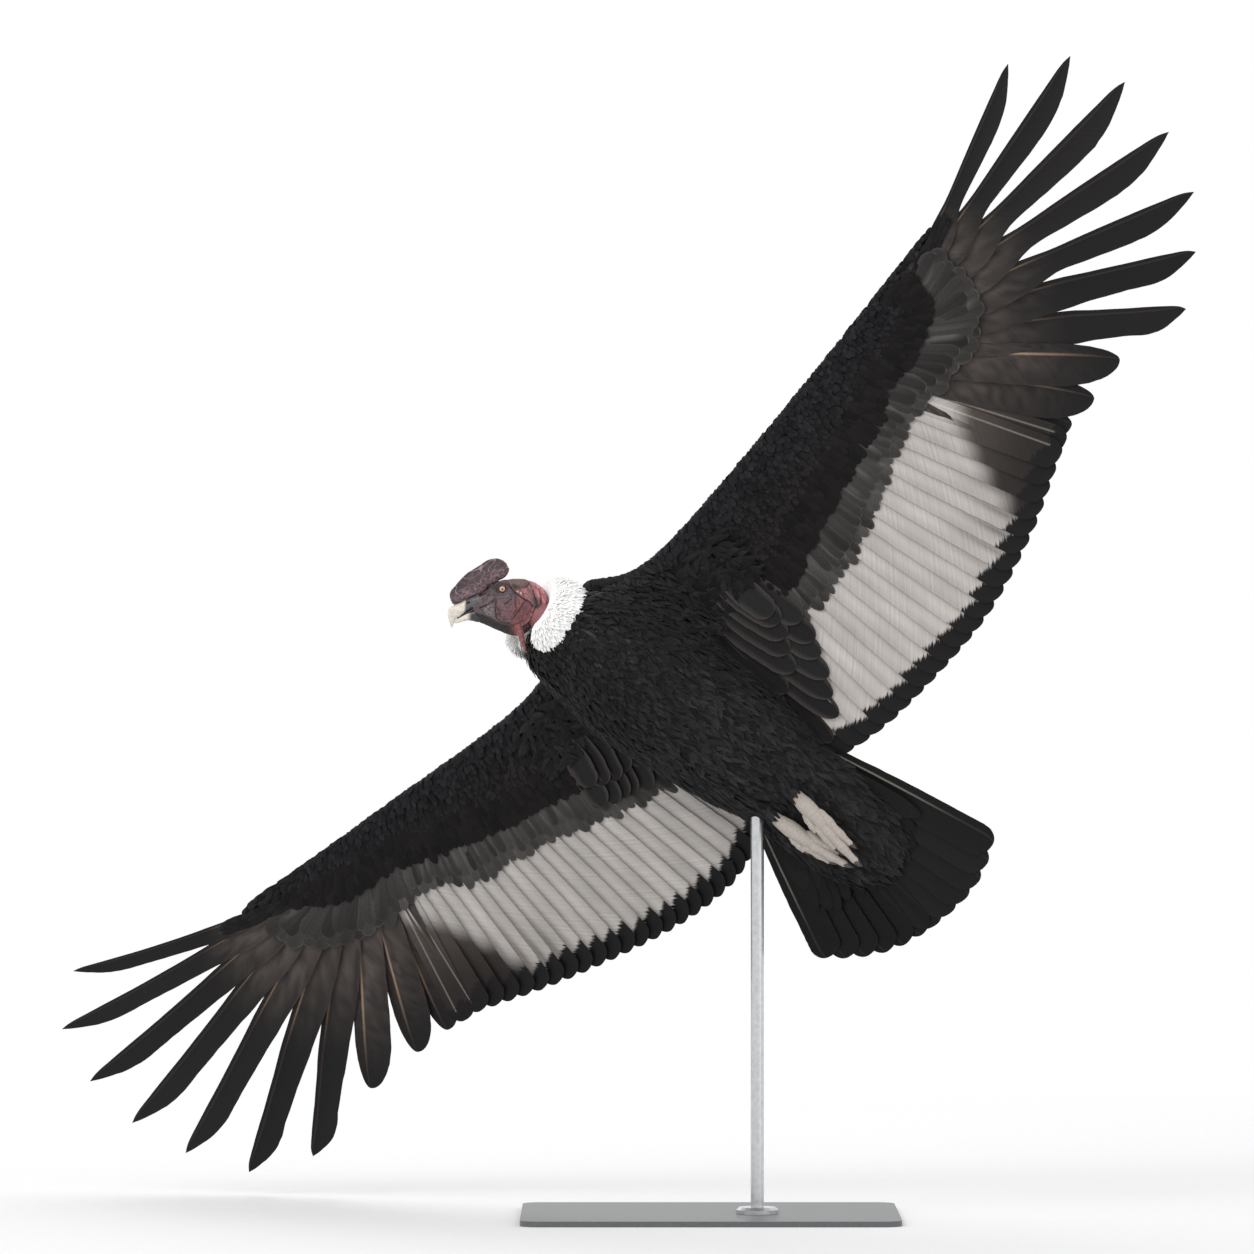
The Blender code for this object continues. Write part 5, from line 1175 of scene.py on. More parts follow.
def axillaries(side, material):
    """The long dark feathers that fan from the armpit over the inner secondaries."""
    for tier, (count, drop, first, last, tips) in enumerate(AXILLARY_FANS[side]):
        t = np.linspace(0, 1, count)
        root = np.stack((mix(first[0], last[0], t), mix(first[1], last[1], t)), -1)
        tip = np.stack(read_columns(tips, t), -1) + RANDOM.normal(0, 0.004, (count, 2))
        s = tip_packed(22)
        place = root[:, None] + (tip - root)[:, None] * s[None, :, None]
        out, fore = place[..., 0], place[..., 1]
        lift = coat_lift(side, out, fore, UNDER) - drop * (0.4 + 0.6 * s) - 0.0012 * t[:, None]
        points = on_wing(side, out, fore, lift)
        across, normal = slanted_frames(side, points)
        width = AXILLARY_WIDTH * read(AXILLARY_BODY, s) * round_tip(s, 0.84, 0.05)
        width = width * edge_wear(points.shape[:2], 0.012)
        vanes = Vanes(points, across, normal, width * 0.55, width * 0.45, COVERT_ACROSS, MIDDLE_RACHIS,
                      0.0006, 0.05, tapered(0.0008, 0.9, s, count))
        body = LESSER_BLACK * uneven(count, 0.2, -1.5, 1.5) * mix(1.25, 0.90, along_tint(s))
        body = mix(body, SHAFT_DARK * 0.8, vanes.shaft_mask * mix(0.7, 0.1, along_tint(s)))
        rim = step(0.10, 0.0, np.minimum(vanes.across, 1 - vanes.across))
        body = mix(body, PRIMARY_BROWN, 0.55 * rim)
        spots = bake_spots(root[:, 0] / UNWRAP_OUT, (root[:, 1] - UNWRAP_REAR) / UNWRAP_FORE)
        vanes.piece(f"axillaries_{SIDE_NAME[side]}_{tier}", body, material, "wing_feather", spots)


# The body


def torso_columns(x):
    return read_columns(TORSO_SECTIONS, x)


def on_torso(x, angle, proud=0.0):
    """Points of the body's coat; angle runs from the left side over the back."""
    left, up, wide, high = torso_columns(x)
    below = np.sin(angle) < 0
    turned = np.cos(angle)
    along = hill(x - THIGH_PLACE, THIGH_LENGTH)
    thighs = sum(hill(turned - middle, THIGH_WIDTH) for middle in THIGH_MIDDLES)
    proud = proud + below * along * (THIGH_HEIGHT * thighs - 0.002)
    wide, high = wide + proud, high + proud
    return np.stack((x, left + wide * np.cos(angle), up + high * np.sin(angle)), -1)


def on_vent(x, angle, proud=0.0):
    """Points of the mound below the root of the tail."""
    left, up, wide, high = read_columns(VENT_SECTIONS, x)
    return np.stack((x, left + (wide + proud) * np.cos(angle), up + (high + proud) * np.sin(angle)), -1)


def surface_normals(surface, x, angle):
    along = surface(x + NORMAL_STEP, angle) - surface(x - NORMAL_STEP, angle)
    around = surface(x, angle + NORMAL_TURN) - surface(x, angle - NORMAL_TURN)
    return unit(np.cross(around, along))


def scatter(places, count_at, start, span, stray):
    """Places and angles of tufts in rings, as many as count_at gives, with strays from the rule."""
    xs, angles = [], []
    for x in places:
        count = count_at(x)
        xs.append(np.full(count, x))
        angles.append(start + (np.arange(count) + RANDOM.uniform(0, 1)) / count * span)
    x, angle = np.concatenate(xs), np.concatenate(angles)
    return x + RANDOM.normal(0, stray[0], len(x)), angle + RANDOM.normal(0, stray[1], len(x))


def body_coat(material):
    """Small soft feathers all over the body, pointing back along it."""
    def count_at(x):
        _, _, wide, high = torso_columns(np.array(x))
        return int(2 * math.pi * math.sqrt((wide**2 + high**2) / 2) / BODY_TUFT_GAP)

    x, angle = scatter(np.arange(*BODY_TUFT_ENDS, -BODY_RING_GAP), count_at, 0.0, 2 * math.pi, (0.0035, 0.02))
    length = RANDOM.uniform(0.024, 0.036, len(x)) * mix(0.75, 1.25, step(0.1, -0.5, x))
    width = RANDOM.uniform(0.0072, 0.0114, len(x))
    half = len(x) // 2
    order = RANDOM.permutation(len(x))
    for part, chosen in enumerate((order[:half], order[half:])):
        tuft_piece(f"body_feathers_{part}", on_torso, x[chosen], angle[chosen], length[chosen],
                   width[chosen], material)


def vent_coat(material):
    """The looser feathers of the mound below the tail, over a closed soft form."""
    def count_at(x):
        return int(3.2 * read_columns(VENT_SECTIONS, np.array(x))[2] / VENT_TUFT_GAP)

    grid_x, grid_angle = np.meshgrid(np.linspace(-0.445, -0.792, 60), turns(64), indexing="ij")
    core = on_vent(grid_x, grid_angle, -0.004)
    core[..., 2] = np.minimum(core[..., 2], -0.003)
    loft_piece("vent_core", from_bird(core), SLATE * 0.55, material)
    x, angle = scatter(np.arange(*VENT_TUFT_ENDS, -VENT_RING_GAP), count_at, math.pi, math.pi, (0.004, 0.03))
    length = RANDOM.uniform(0.034, 0.052, len(x))
    width = RANDOM.uniform(0.0090, 0.0140, len(x))
    tuft_piece("vent_feathers", on_vent, x, angle, length, width, material)


def tuft_patch(name, surface, xs, ends, gap, length, width, material):
    """Tufts spread evenly over part of a surface, between two ends of its second coordinate."""
    x, turn = np.meshgrid(np.arange(*xs), np.arange(*ends, gap), indexing="ij")
    x = x.ravel() + RANDOM.normal(0, 0.0035, x.size)
    turn = turn.ravel() + RANDOM.normal(0, 0.3 * gap, turn.size)
    length = RANDOM.uniform(*length, len(x))
    width = RANDOM.uniform(*width, len(x))
    tuft_piece(name, surface, x, turn, length, width, material)


def joint_coat(side, material):
    """Body feathers that run out over the joint of a wing, the roots of its axillaries and its leg."""
    low = 1.5 * math.pi + side * 0.95

    def on_joint(x, turn, proud=0.0):
        share = np.clip(side * turn, 0, 1)[..., None]
        front = read(LEADING_EDGE[side], np.array(JOINT_OUT)) - 0.014
        fore = mix(JOINT_ENDS[1], front, (x - JOINT_ENDS[1]) / (JOINT_ENDS[0] - JOINT_ENDS[1]))
        on_arm = on_coat(side, JOINT_OUT + 0 * x, fore, UNDER, proud + 0.002)
        return mix(on_torso(x, low + 0 * x, proud), on_arm, share)

    def on_armpit(x, turn, proud=0.0):
        return on_coat(side, side * turn, x, UNDER, proud + 0.013)

    def on_thigh(x, turn, proud=0.0):
        left, up, radius = read_columns(SHANKS[side][::-1], x)
        radius = radius * read(THIGH_SWELL, x) + proud
        return np.stack((x, left + radius * np.cos(turn), up + radius * np.sin(turn)), -1)

    def outwards(ends):
        return ends if side == LEFT else (-ends[1], -ends[0])

    name = SIDE_NAME[side]
    tuft_patch(f"joint_feathers_{name}", on_joint, (*JOINT_ENDS, -0.0085), outwards((0.0, 1.0)), 0.055,
               (0.028, 0.040), (0.0080, 0.0120), material)
    tuft_patch(f"armpit_feathers_{name}", on_armpit, (-0.03, -0.150, -0.0095), outwards((0.12, 0.315)),
               0.0095, (0.028, 0.042), (0.0100, 0.0150), material)
    tuft_patch(f"thigh_feathers_{name}", on_thigh, (-0.455, -0.522, -0.0070), (0.0, 6.28), 0.30,
               (0.024, 0.036), (0.0070, 0.0100), material)


def tuft_piece(name, surface, x, angle, length, width, material):
    """Pointed tufts rooted in a surface, lying back along it with their tips just off it."""
    s = tip_packed(5)
    root = surface(x, angle, -TUFT_DEPTH)
    normal = surface_normals(surface, x, angle)
    back = surface(x - 0.004, angle + RANDOM.normal(0, 0.012, len(x)), -TUFT_DEPTH) - root
    way = unit(back + normal * RANDOM.uniform(0.00005, 0.0007, (len(x), 1)))
    reach = (length[:, None] * s)[..., None]
    points = root[:, None] + way[:, None] * reach + normal[:, None] * (0.10 * reach * (1 - 0.75 * s[:, None]))
    points = points + normal[:, None] * 0.0016
    across, up = shaft_frames(points, np.broadcast_to(normal[:, None], points.shape))
    half = width[:, None] / 2 * read(TUFT_BODY, s)
    vanes = Vanes(points, across, up, half, half, SMALL_ACROSS, MIDDLE_RACHIS, 0.0011, TUFT_ARCH,
                  np.zeros(half.shape))
    each = uneven(len(x), 0.42, -1.5, 2.2)
    pale = step(-0.05, -0.30, x) * step(0.0, -0.8, np.sin(angle))
    body = mix(SLATE * 0.72, SLATE * 1.12, pale[:, None, None, None])
    body = body * each * mix(0.75, 1.25, along_tint(s))
    spots = bake_spots((x - UNWRAP_TAIL) / UNWRAP_ALONG, (angle / (2 * math.pi)) % 1.0)
    vanes.piece(name, body, material, "plumage_black", spots, 75)


# Soft forms


def in_stand(points):
    """Points of the stand's frame as drawn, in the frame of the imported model."""
    return points + OFFSET


def wobble(points, scale, seed=0.0):
    """Smooth noise from -1 to 1 at points, with features about 1 / scale across."""
    flat = points.reshape(-1, 3) * scale + seed
    return np.array([noise.noise(Vector(p)) for p in flat]).reshape(points.shape[:-1])


def near_line(x, z, line):
    """Distance from places in the side view to a line of points."""
    best = np.full(x.shape, 1e9)
    for (ax, az), (bx, bz) in zip(line, line[1:]):
        dx, dz = bx - ax, bz - az
        t = np.clip(((x - ax) * dx + (z - az) * dz) / (dx * dx + dz * dz), 0, 1)
        best = np.minimum(best, np.hypot(x - ax - t * dx, z - az - t * dz))
    return best


def inside(x, z, outline):
    """True inside a closed outline of the side view."""
    found = np.zeros(x.shape, bool)
    for (ax, az), (bx, bz) in zip(outline, outline[1:] + outline[:1]):
        crosses = (az > z) != (bz > z)
        reach = ax + (z - az) / (bz - az + 1e-12) * (bx - ax)
        found ^= crosses & (x < reach)
    return found


def grid_normals(rings):
    """Normals of a closed tube's rings, stations x ring x 3, away from its middle."""
    along = np.gradient(rings, axis=0)
    around = np.roll(rings, -1, 1) - np.roll(rings, 1, 1)
    normal = unit(np.cross(along, around))
    middle = rings.mean(1, keepdims=True)
    sign = np.sign(np.sum(normal * (rings - middle)))
    return normal * sign


def loft_piece(name, rings, tint, material):
    return joined_lofts(name, [rings], [tint], material)


def joined_lofts(name, parts, tints, material):
    """One piece from several closed tubes, each stations x ring x 3."""
    points, corners, starts = [], [], []
    base, corner_base = 0, 0
    for rings in parts:
        stations, around, _ = rings.shape
        index = np.arange(stations * around).reshape(stations, around) + base
        near, far = index[:-1], index[1:]
        quads = np.stack((near, np.roll(near, -1, 1), np.roll(far, -1, 1), far), -1).reshape(-1, 4)
        caps = np.concatenate((index[0, ::-1], index[-1]))
        corners.append(np.concatenate((quads.ravel(), caps)))
        cap_starts = len(quads) * 4 + np.arange(2) * around
        starts.append(np.concatenate((np.arange(len(quads)) * 4, cap_starts)) + corner_base)
        corner_base += len(corners[-1])
        base += stations * around
        points.append(rings.reshape(-1, 3))
    mesh = build_mesh(name, np.concatenate(points), np.concatenate(corners), np.concatenate(starts))
    make_outward(mesh)
    colours = [np.broadcast_to(tint, rings.shape).reshape(-1, 3) for tint, rings in zip(tints, parts)]
    set_attribute(mesh, "tint", np.concatenate(colours))
    return add_piece(mesh, material)


def make_outward(mesh):
    """Turns the faces so that every closed part faces outwards."""
    bm = bmesh.new()
    bm.from_mesh(mesh)
    bmesh.ops.recalc_face_normals(bm, faces=bm.faces)
    bm.to_mesh(mesh)
    bm.free()


def swept_rings(path, wide, high, guide, around, power=1.0):
    """Rings along a path; guide is the way in which wide is measured."""
    ahead = unit(np.gradient(path, axis=0))
    side = unit(guide - ahead * np.sum(ahead * guide, -1, keepdims=True))
    up = np.cross(ahead, side)
    c, s = np.cos(turns(around)), np.sin(turns(around))
    c = np.sign(c) * np.abs(c) ** power
    s = np.sign(s) * np.abs(s) ** power
    out = path[:, None] + side[:, None] * (wide[:, None] * c)[..., None]
    return out + up[:, None] * (high[:, None] * s)[..., None]


def smooth_path(rows, count):
    """A finer path through rows of numbers, by their run."""
    rows = np.array(rows, float)
    run = run_along(rows[:, :3])
    at = np.linspace(0, run[-1], count)
    return np.stack(read_columns(np.column_stack((run, rows)).tolist(), at), -1)


# The head


def head_shape(x, angle):
    """The bare head without its folds; angle runs from the left cheek over the crown."""
    top, bottom, wide = read(HEAD_TOP, x), read(HEAD_BOTTOM, x), read(HEAD_WIDE, x)
    c, s = np.cos(angle), np.sin(angle)
    return np.stack((x, wide * c, (top + bottom) / 2 + (top - bottom) / 2 * s), -1)


def head_relief(x, z):
    """How far the skin stands out, from the folds, lobes, lids and creases of the side view."""
    relief = np.zeros(x.shape)
    for line, depth, width in HEAD_CREASES:
        far = near_line(x, z, line)
        relief += 0.30 * depth * hill(far - 2.2 * width, 1.3 * width)
        relief -= depth * hill(far, width)
    for line, height, width in HEAD_FOLDS:
        relief += height * hill(near_line(x, z, line), width)
    lobe = near_line(x, z, LOBE_LINE)
    relief += LOBE_HEIGHT * np.clip(1 - (lobe / LOBE_RADIUS) ** 2, 0, None) ** 0.5
    relief -= 0.0016 * hill(lobe - 0.0134, 0.0012)
    cheek = np.hypot((x - CHEEK[0]) / 0.021, (z - CHEEK[1]) / 0.023)
    relief += 0.0022 * np.exp(-(cheek**4))
    for spot in SPOTS:
        relief += 0.0018 * np.clip(1 - (np.hypot(x - spot[0], z - spot[1]) / 0.0028) ** 2, 0, None)
    eye = from_eye(x, z)
    folds = step(0.0085, 0.0115, eye)
    rim = 0.0018 * hill(eye - 0.0093, 0.0013)
    lid = rim - 0.0010 * hill(eye - 0.0122, 0.0010)
    return relief * folds + lid - EYE_SOCKET * (1 - step(0.0064, 0.0080, eye))


def from_eye(x, z):
    """Distance from the middle of the eye in the side view."""
    return np.hypot(x - EYE[0], z - EYE[2])


def nape_share(x, z, start, end):
    """0 in front of the nape's slanting border and 1 behind it."""
    return step(start, end, x - NAPE_SLANT * (z - NAPE_HEIGHT))


def patch(x, z, middle, wide, high):
    """1 inside a soft oval of the side view, 0 well outside it."""
    return 1 - step(0.55, 1.25, np.hypot((x - middle[0]) / wide, (z - middle[1]) / high))


def head_tint(x, z):
    """The bare skin's colours, from grey-purple at the bill to red folds at the nape, with painted shade
    under the jaw, below the lobe and in the creases, and painted highlights along the raised folds.
    """
    def paint(colour, new, amount):
        return mix(colour, np.array(new), amount[..., None])

    colour = np.broadcast_to(np.array(FACE), x.shape + (3,))
    colour = paint(colour, LORE_DARK, patch(x, z, *DARK_LORE) * 0.9)
    flecks = 0.45 + 0.55 * step(-0.3, 0.5, wobble(np.stack((x, z, 0 * x), -1), 330.0, 2.0))
    colour = paint(colour, SCALY_GREY, patch(x, z, *SCALY_PATCH) * flecks)
    colour = paint(colour, CHEEK_PINK, patch(x, z, *PINK_CHEEK) * 0.9)
    colour = paint(colour, CHEEK_RED, patch(x, z, *RED_CHEEK))
    colour = paint(colour, TEMPLE_PINK, patch(x, z, *TEMPLE_RED))
    colour = paint(colour, NAPE_RED, nape_share(x, z, -0.060, -0.078) * 0.95)
    # Painted shade under the jaw, darker away from the jaw's edge
    under = inside(x, z, list(JAW_LINE)) * np.clip(near_line(x, z, JAW_LINE[:7]) / 0.004, 0.35, 1)
    colour = paint(colour, JAW_PAINTED_SHADE, under)
    throat = hill(near_line(x, z, THROAT_LINE), 0.009)
    colour = paint(colour, THROAT_RED, np.clip(throat * 1.2, 0, 0.9))
    lobe = near_line(x, z, LOBE_LINE)
    colour = paint(colour, LOBE_GREY, 1 - step(0.011, 0.014, lobe))
    # Painted shade below the raised lobe
    below_lobe = hill(lobe - 0.0136, 0.0012) * step(0.004, -0.006, z)
    colour = paint(colour, CREASE_PAINTED_SHADE, below_lobe * 0.8)
    eye = from_eye(x, z)
    colour = paint(colour, LID_DARK, (1 - step(0.0086, 0.0102, eye)) * 0.95)
    clear = step(0.0088, 0.0112, eye)
    # Painted highlight along the raised folds
    for line, _, width in HEAD_FOLDS:
        light = hill(near_line(x, z, line), 0.9 * width) * clear * FOLD_SHARE
        colour = mix(colour, colour * 0.6 + np.array(FOLD_PAINTED_HIGHLIGHT) * 0.35, light[..., None])
    # Painted shade in the creases, kept off the eye
    creases = np.zeros(x.shape)
    for line, _, width in HEAD_CREASES:
        creases = np.maximum(creases, hill(near_line(x, z, line), 1.15 * width))
    colour = paint(colour, CREASE_PAINTED_SHADE, creases * clear * 0.88)
    for spot in SPOTS:
        near = np.hypot(x - spot[0], z - spot[1])
        colour = paint(colour, SPOT_ORANGE, 1 - step(0.0017, 0.0032, near))
    return colour


def head_skin():
    """Points and tints of the rings of the head's skin, with all its relief and wrinkles, painted shade in
    its cracks and hollows and painted highlights on its raised skin.
    """
    x = np.concatenate((np.linspace(-0.0925, -0.080, 22, endpoint=False), np.linspace(-0.080, 0.069, 205)))
    turn = turns(236)
    angle = turn - 0.24 * np.sin(2 * turn)
    grid_x, grid_angle = np.meshgrid(x, angle, indexing="ij")
    shape = head_shape(grid_x, grid_angle)
    normal = grid_normals(shape)
    side_x, side_z = shape[..., 0], shape[..., 2]
    relief = head_relief(side_x, side_z) * step(0.05, 0.45, np.abs(np.cos(grid_angle)))
    dx, dz = side_x - FOLD_MIDDLE[0], side_z - FOLD_MIDDLE[1]
    far = np.hypot(dx, dz) + 0.001
    around = np.stack((far * 260.0, dx / far * 2.6, dz / far * 2.6 + shape[..., 1] * 40.0), -1)
    bend = wobble(shape, 60.0, 3.0)
    around[..., 0] += 1.6 * bend
    arcs = wobble(around, 1.0)
    mesh_of_lines = wobble(shape * (1.0, 1.0, 0.8), 210.0, 5.0)
    coarse = wobble(shape, 70.0, 9.0)
    calm = step(0.0085, 0.012, from_eye(side_x, side_z))
    calm = calm * (0.25 + 0.75 * step(0.010, 0.015, near_line(side_x, side_z, LOBE_LINE)))
    cracks = np.maximum(hill(arcs, 0.085), 0.75 * hill(mesh_of_lines, 0.075))
    nape = nape_share(side_x, side_z, -0.052, -0.074)
    across_nape = np.stack((side_x - 0.35 * side_z, 0.15 * shape[..., 1], 0.25 * side_z), -1)
    rolls = wobble(across_nape, 190.0, 6.0)
    wrinkles = 0.0009 * coarse - 0.00075 * cracks + 0.0005 * arcs
    height = relief + calm * wrinkles + 0.0013 * nape * rolls
    points = shape + normal * height[..., None]
    tint = head_tint(side_x, side_z)
    # Painted shade in the wrinkles' cracks, and painted highlight on the raised skin between them
    tint = tint * (1 - calm * (0.70 * cracks - 0.42 * np.abs(arcs) - 0.24 * coarse))[..., None]
    # Painted highlight on the nape's raised rolls, and painted shade in the hollows between them
    tint = tint * (1 + 0.62 * nape * rolls)[..., None]
    return points, tint


def throat_skin():
    """The strip of wrinkled skin that hangs from the jaw in front of the ruff."""
    count = 90
    rows = smooth_path(THROAT_STRIP, count)
    s = np.linspace(0, 1, count)
    folds = 0.6 * np.sin(s * 52 + 2.0 * np.sin(s * 14)) + 0.4 * np.sin(s * 31 + 1.3)
    radius = rows[:, 3] * (1 + 0.05 * folds)
    rings = swept_rings(rows[:, :3], radius, radius * 0.8, np.array((0.0, 1.0, 0.0)), 28)
    wrinkles = wobble(rings * (1.0, 1.0, 2.2), 160.0, 3.0)
    rings = rings + grid_normals(rings) * (0.0006 * wrinkles)[..., None]
    # The tint follows the relief: painted highlight on the swellings and raised wrinkles, painted shade in
    # the hollows
    tint = np.array(THROAT_RED) * (0.90 + 0.22 * folds)[:, None, None] * (1 + 0.35 * wrinkles)[..., None]
    return rings, tint


def neck_skin():
    """Rings of the neck's skin from inside the body to the head."""
    path = [(x, HEAD_PLACE[1], NECK_HEIGHT - NECK_SLOPE * (x - NECK_MIDDLE), radius)
            for x, radius in NECK_RADII]
    rows = smooth_path(path, 60)
    radius = rows[:, 3] * (1 + 0.02 * np.sin(np.linspace(0, 60, 60)))
    rings = swept_rings(rows[:, :3], radius, radius, np.array((0.0, 1.0, 0.0)), 48)
    return rings, np.broadcast_to(np.array(NAPE_RED) * 0.6, rings.shape)


def body_skin():
    """Rings of the skin under the feathers: the body, both wings and the root of the tail."""
    angle = turns(72)
    grid_x, grid_angle = np.meshgrid(np.linspace(0.112, -0.588, 70), angle, indexing="ij")
    made = [from_bird(on_torso(grid_x, grid_angle, -SKIN_DEPTH))]
    for side in (LEFT, RIGHT):
        out = np.linspace(-0.02, 1.06, 96)
        front, rear = read(LEADING_EDGE[side], out), read(CORE_REAR, out)
        thick = np.maximum(read(CORE_THICKNESS, out) - 0.010, 0.003)
        rings = [on_wing(side, out, mix(front - 0.005, rear, u), height * thick) for u, height in WING_RING]
        made.append(from_bird(np.stack(rings, 1)))
    x = np.linspace(-0.44, -0.71, 30)
    left, up, wide, high = (column[:, None] for column in read_columns(TAIL_ROOT_SECTIONS, x))
    ring = (x[:, None], left + (wide - SKIN_DEPTH) * np.cos(angle), up + (high - SKIN_DEPTH) * np.sin(angle))
    made.append(from_bird(np.stack(np.broadcast_arrays(*ring), -1)))
    return made


def skin(material):
    """One piece of skin under the whole coat, the bare head and throat in full detail."""
    parts = body_skin()
    tints = [SLATE * 0.55] * len(parts)
    face, face_tint = head_skin()
    parts.append(from_head(face))
    tints.append(face_tint)
    for rings, tint in (neck_skin(), throat_skin()):
        parts.append(in_stand(rings))
        tints.append(tint)
    piece = joined_lofts("skin", parts, tints, material)
    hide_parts("torso", "head", "neck", "wing_arm_left", "wing_arm_right", "wing_forearm_left",
                "wing_forearm_right", "wing_hand_left", "wing_hand_right", "tail")


def eyes(material):
    """Eyeballs with a black pupil, a streaked amber iris and a dark rim."""
    polar = np.concatenate((np.linspace(0.001, 1.15, 56), np.linspace(1.25, 3.13, 16)))
    angle, around = np.meshgrid(polar, turns(64), indexing="ij")
    radius = EYE_RADIUS * (1 + 0.05 * hill(angle, 0.55))
    across = EYE_RADIUS * np.sin(np.minimum(angle, math.pi / 2))
    streak = 0.5 + 0.5 * np.sin(around * 23 + 3 * np.sin(around * 7)) * np.sin(around * 41)
    colour = mix(IRIS_BROWN, IRIS_PALE, (streak * step(0.0022, 0.0040, across))[..., None])
    colour = mix(colour, IRIS_EDGE, step(0.0040, 0.0052, across)[..., None])
    colour = mix(PUPIL_BLACK, colour, step(0.0021, 0.0026, across)[..., None])
    colour = mix(colour, EYE_RIM, step(0.0064, 0.0070, across)[..., None])
    for side in (LEFT, RIGHT):
        rings = np.stack((radius * np.sin(angle) * np.cos(around),
                          side * radius * np.cos(angle),
                          radius * np.sin(angle) * np.sin(around)), -1)
        rings = rings + np.array((EYE[0], side * EYE[1], EYE[2]))
        piece = loft_piece(f"eye_{SIDE_NAME[side]}", from_head(rings), colour, material)
        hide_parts(f"eye_{SIDE_NAME[side]}")


def bill(material):
    """Upper and lower bill, ivory in front and grey at the base, with nostrils through the cere."""
    left = np.array((0.0, 1.0, 0.0))
    for name, rows, power in (("bill_upper", UPPER_BILL, 0.82), ("bill_lower", LOWER_BILL, 0.85)):
        upper = name == "bill_upper"
        fine = smooth_path([(x, 0.0, z, high, wide) for x, z, high, wide in rows], 120)
        rings = swept_rings(fine[:, :3], fine[:, 4], fine[:, 3], left, 72, power)
        normal = grid_normals(rings)
        x, y, z = rings[..., 0], rings[..., 1], rings[..., 2]
        height = 0.00025 * wobble(rings * (1.0, 1.0, 2.2), 160.0)
        if upper:
            hole = np.hypot((x - NOSTRIL[0]) / NOSTRIL_LENGTH, (z - NOSTRIL[1]) / NOSTRIL_HEIGHT)
            height = height - NOSTRIL_DEPTH * np.clip(1 - hole**2, 0, None) * (np.abs(y) > 0.004)
            height = height + 0.0008 * hill(hole - 1.25, 0.25)
            place = x + CERE_SLANT * (z - NOSTRIL_LINE)
            edge = step(CERE_END - 0.003, CERE_END + 0.002, place)
            height = height - 0.0007 * hill(place - CERE_END, 0.0012)
        else:
            edge = step(0.078, 0.092, x + 0.25 * (z + 0.045))
        points = rings + normal * height[..., None]
        ivory = BILL_IVORY * (1 + 0.10 * wobble(rings * (0.3, 1.0, 1.0), 300.0))[..., None]
        base = UPPER_BILL_BASE if upper else LOWER_BILL_BASE
        base = base * (1 + 0.35 * wobble(rings, 220.0))[..., None]
        colour = mix(base, ivory, edge[..., None])
        parts, tints = [from_head(points)], [colour]
        if upper:
            # Painted shade in the nostrils' hollows
            tints = [mix(colour, NOSTRIL_PAINTED_SHADE, (1 - step(0.55, 1.0, hole))[..., None] * 0.95)]
        else:
            # A dark fill along the gape between the mandibles, painted shade
            mouth = smooth_path([(x, 0.0, z, high, wide) for x, z, high, wide in MOUTH], 40)
            parts.append(from_head(swept_rings(mouth[:, :3], mouth[:, 4], mouth[:, 3], left, 32)))
            tints.append(np.array(MOUTH_PAINTED_SHADE))
        piece = joined_lofts(name, parts, tints, material)
        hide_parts(name)


def comb(material):
    """The fleshy comb: a smooth upper lobe with long pale seams, wrinkled and lumpy along its foot."""
    rows = [(x, 0.0, (low + high) / 2, (high - low) / 2, wide) for x, low, high, wide in COMB_ROWS]
    fine = smooth_path(rows, 220)
    angle = turns(144)
    x, middle, high, wide = fine[:, 0], fine[:, 2], fine[:, 3], fine[:, 4]
    up = np.sin(angle)
    pinch = 1 - 0.30 * step(0.1, 1.0, up)
    rings = np.stack((x[:, None] + 0 * angle, wide[:, None] * (np.cos(angle) * pinch)[None],
                      middle[:, None] + high[:, None] * up[None]), -1)
    normal = grid_normals(rings)
    level = np.broadcast_to(up, rings.shape[:2])
    along = rings[..., 0] * math.cos(COMB_TILT) + rings[..., 2] * math.sin(COMB_TILT)
    across = rings[..., 2] * math.cos(COMB_TILT) - rings[..., 0] * math.sin(COMB_TILT)
    flow = np.stack((along * 0.42, rings[..., 1] * 0.6, across), -1)
    bend = wobble(flow, 55.0, 2.0)
    seams = wobble(flow + bend[..., None] * (0.0, 0.0, 0.004), 62.0, 4.0)
    folds = wobble(flow * (1.5, 1.0, 1.0) + bend[..., None] * (0.003, 0.0, 0.003), 150.0, 7.0)
    lumps = wobble(rings * (1.0, 0.6, 1.0), 85.0, 1.0)
    low_half = 1 - step(-0.25, 0.45, level + 0.5 * lumps)
    seam = hill(seams, 0.045) * (1 - 0.6 * low_half)
    ridge = hill(folds, 0.11) * (0.18 + 0.82 * low_half)
    bulbs = np.zeros(rings.shape[:2])
    for bulb_x, bulb_z, size in COMB_BULBS:
        far = np.hypot(rings[..., 0] - bulb_x, rings[..., 2] - bulb_z)
        bulbs = np.maximum(bulbs, np.clip(1 - (far / size) ** 2, 0, None) ** 0.5)
    inner = 0.35 + 0.65 * np.abs(np.cos(angle))
    height = inner * (0.0014 * lumps + 0.0015 * seam + 0.0016 * ridge) + 0.0026 * bulbs
    points = rings + normal * height[..., None]
    rosy = np.clip(low_half * 0.6 + 0.55 * lumps + 0.12, 0, 1)
    colour = mix(np.array(COMB_PLUM), np.array(COMB_ROSE), rosy[..., None])
    colour = mix(colour, np.array(COMB_SEAM), np.clip(0.80 * seam + 0.60 * ridge, 0, 1)[..., None])
    colour = mix(colour, np.array(COMB_ROSE) * 1.25, (bulbs * 0.5)[..., None])
    colour = colour * (1 + 0.16 * folds)[..., None]
    piece = loft_piece("comb", from_head(points), colour, material)
    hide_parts("comb")


# The ruff


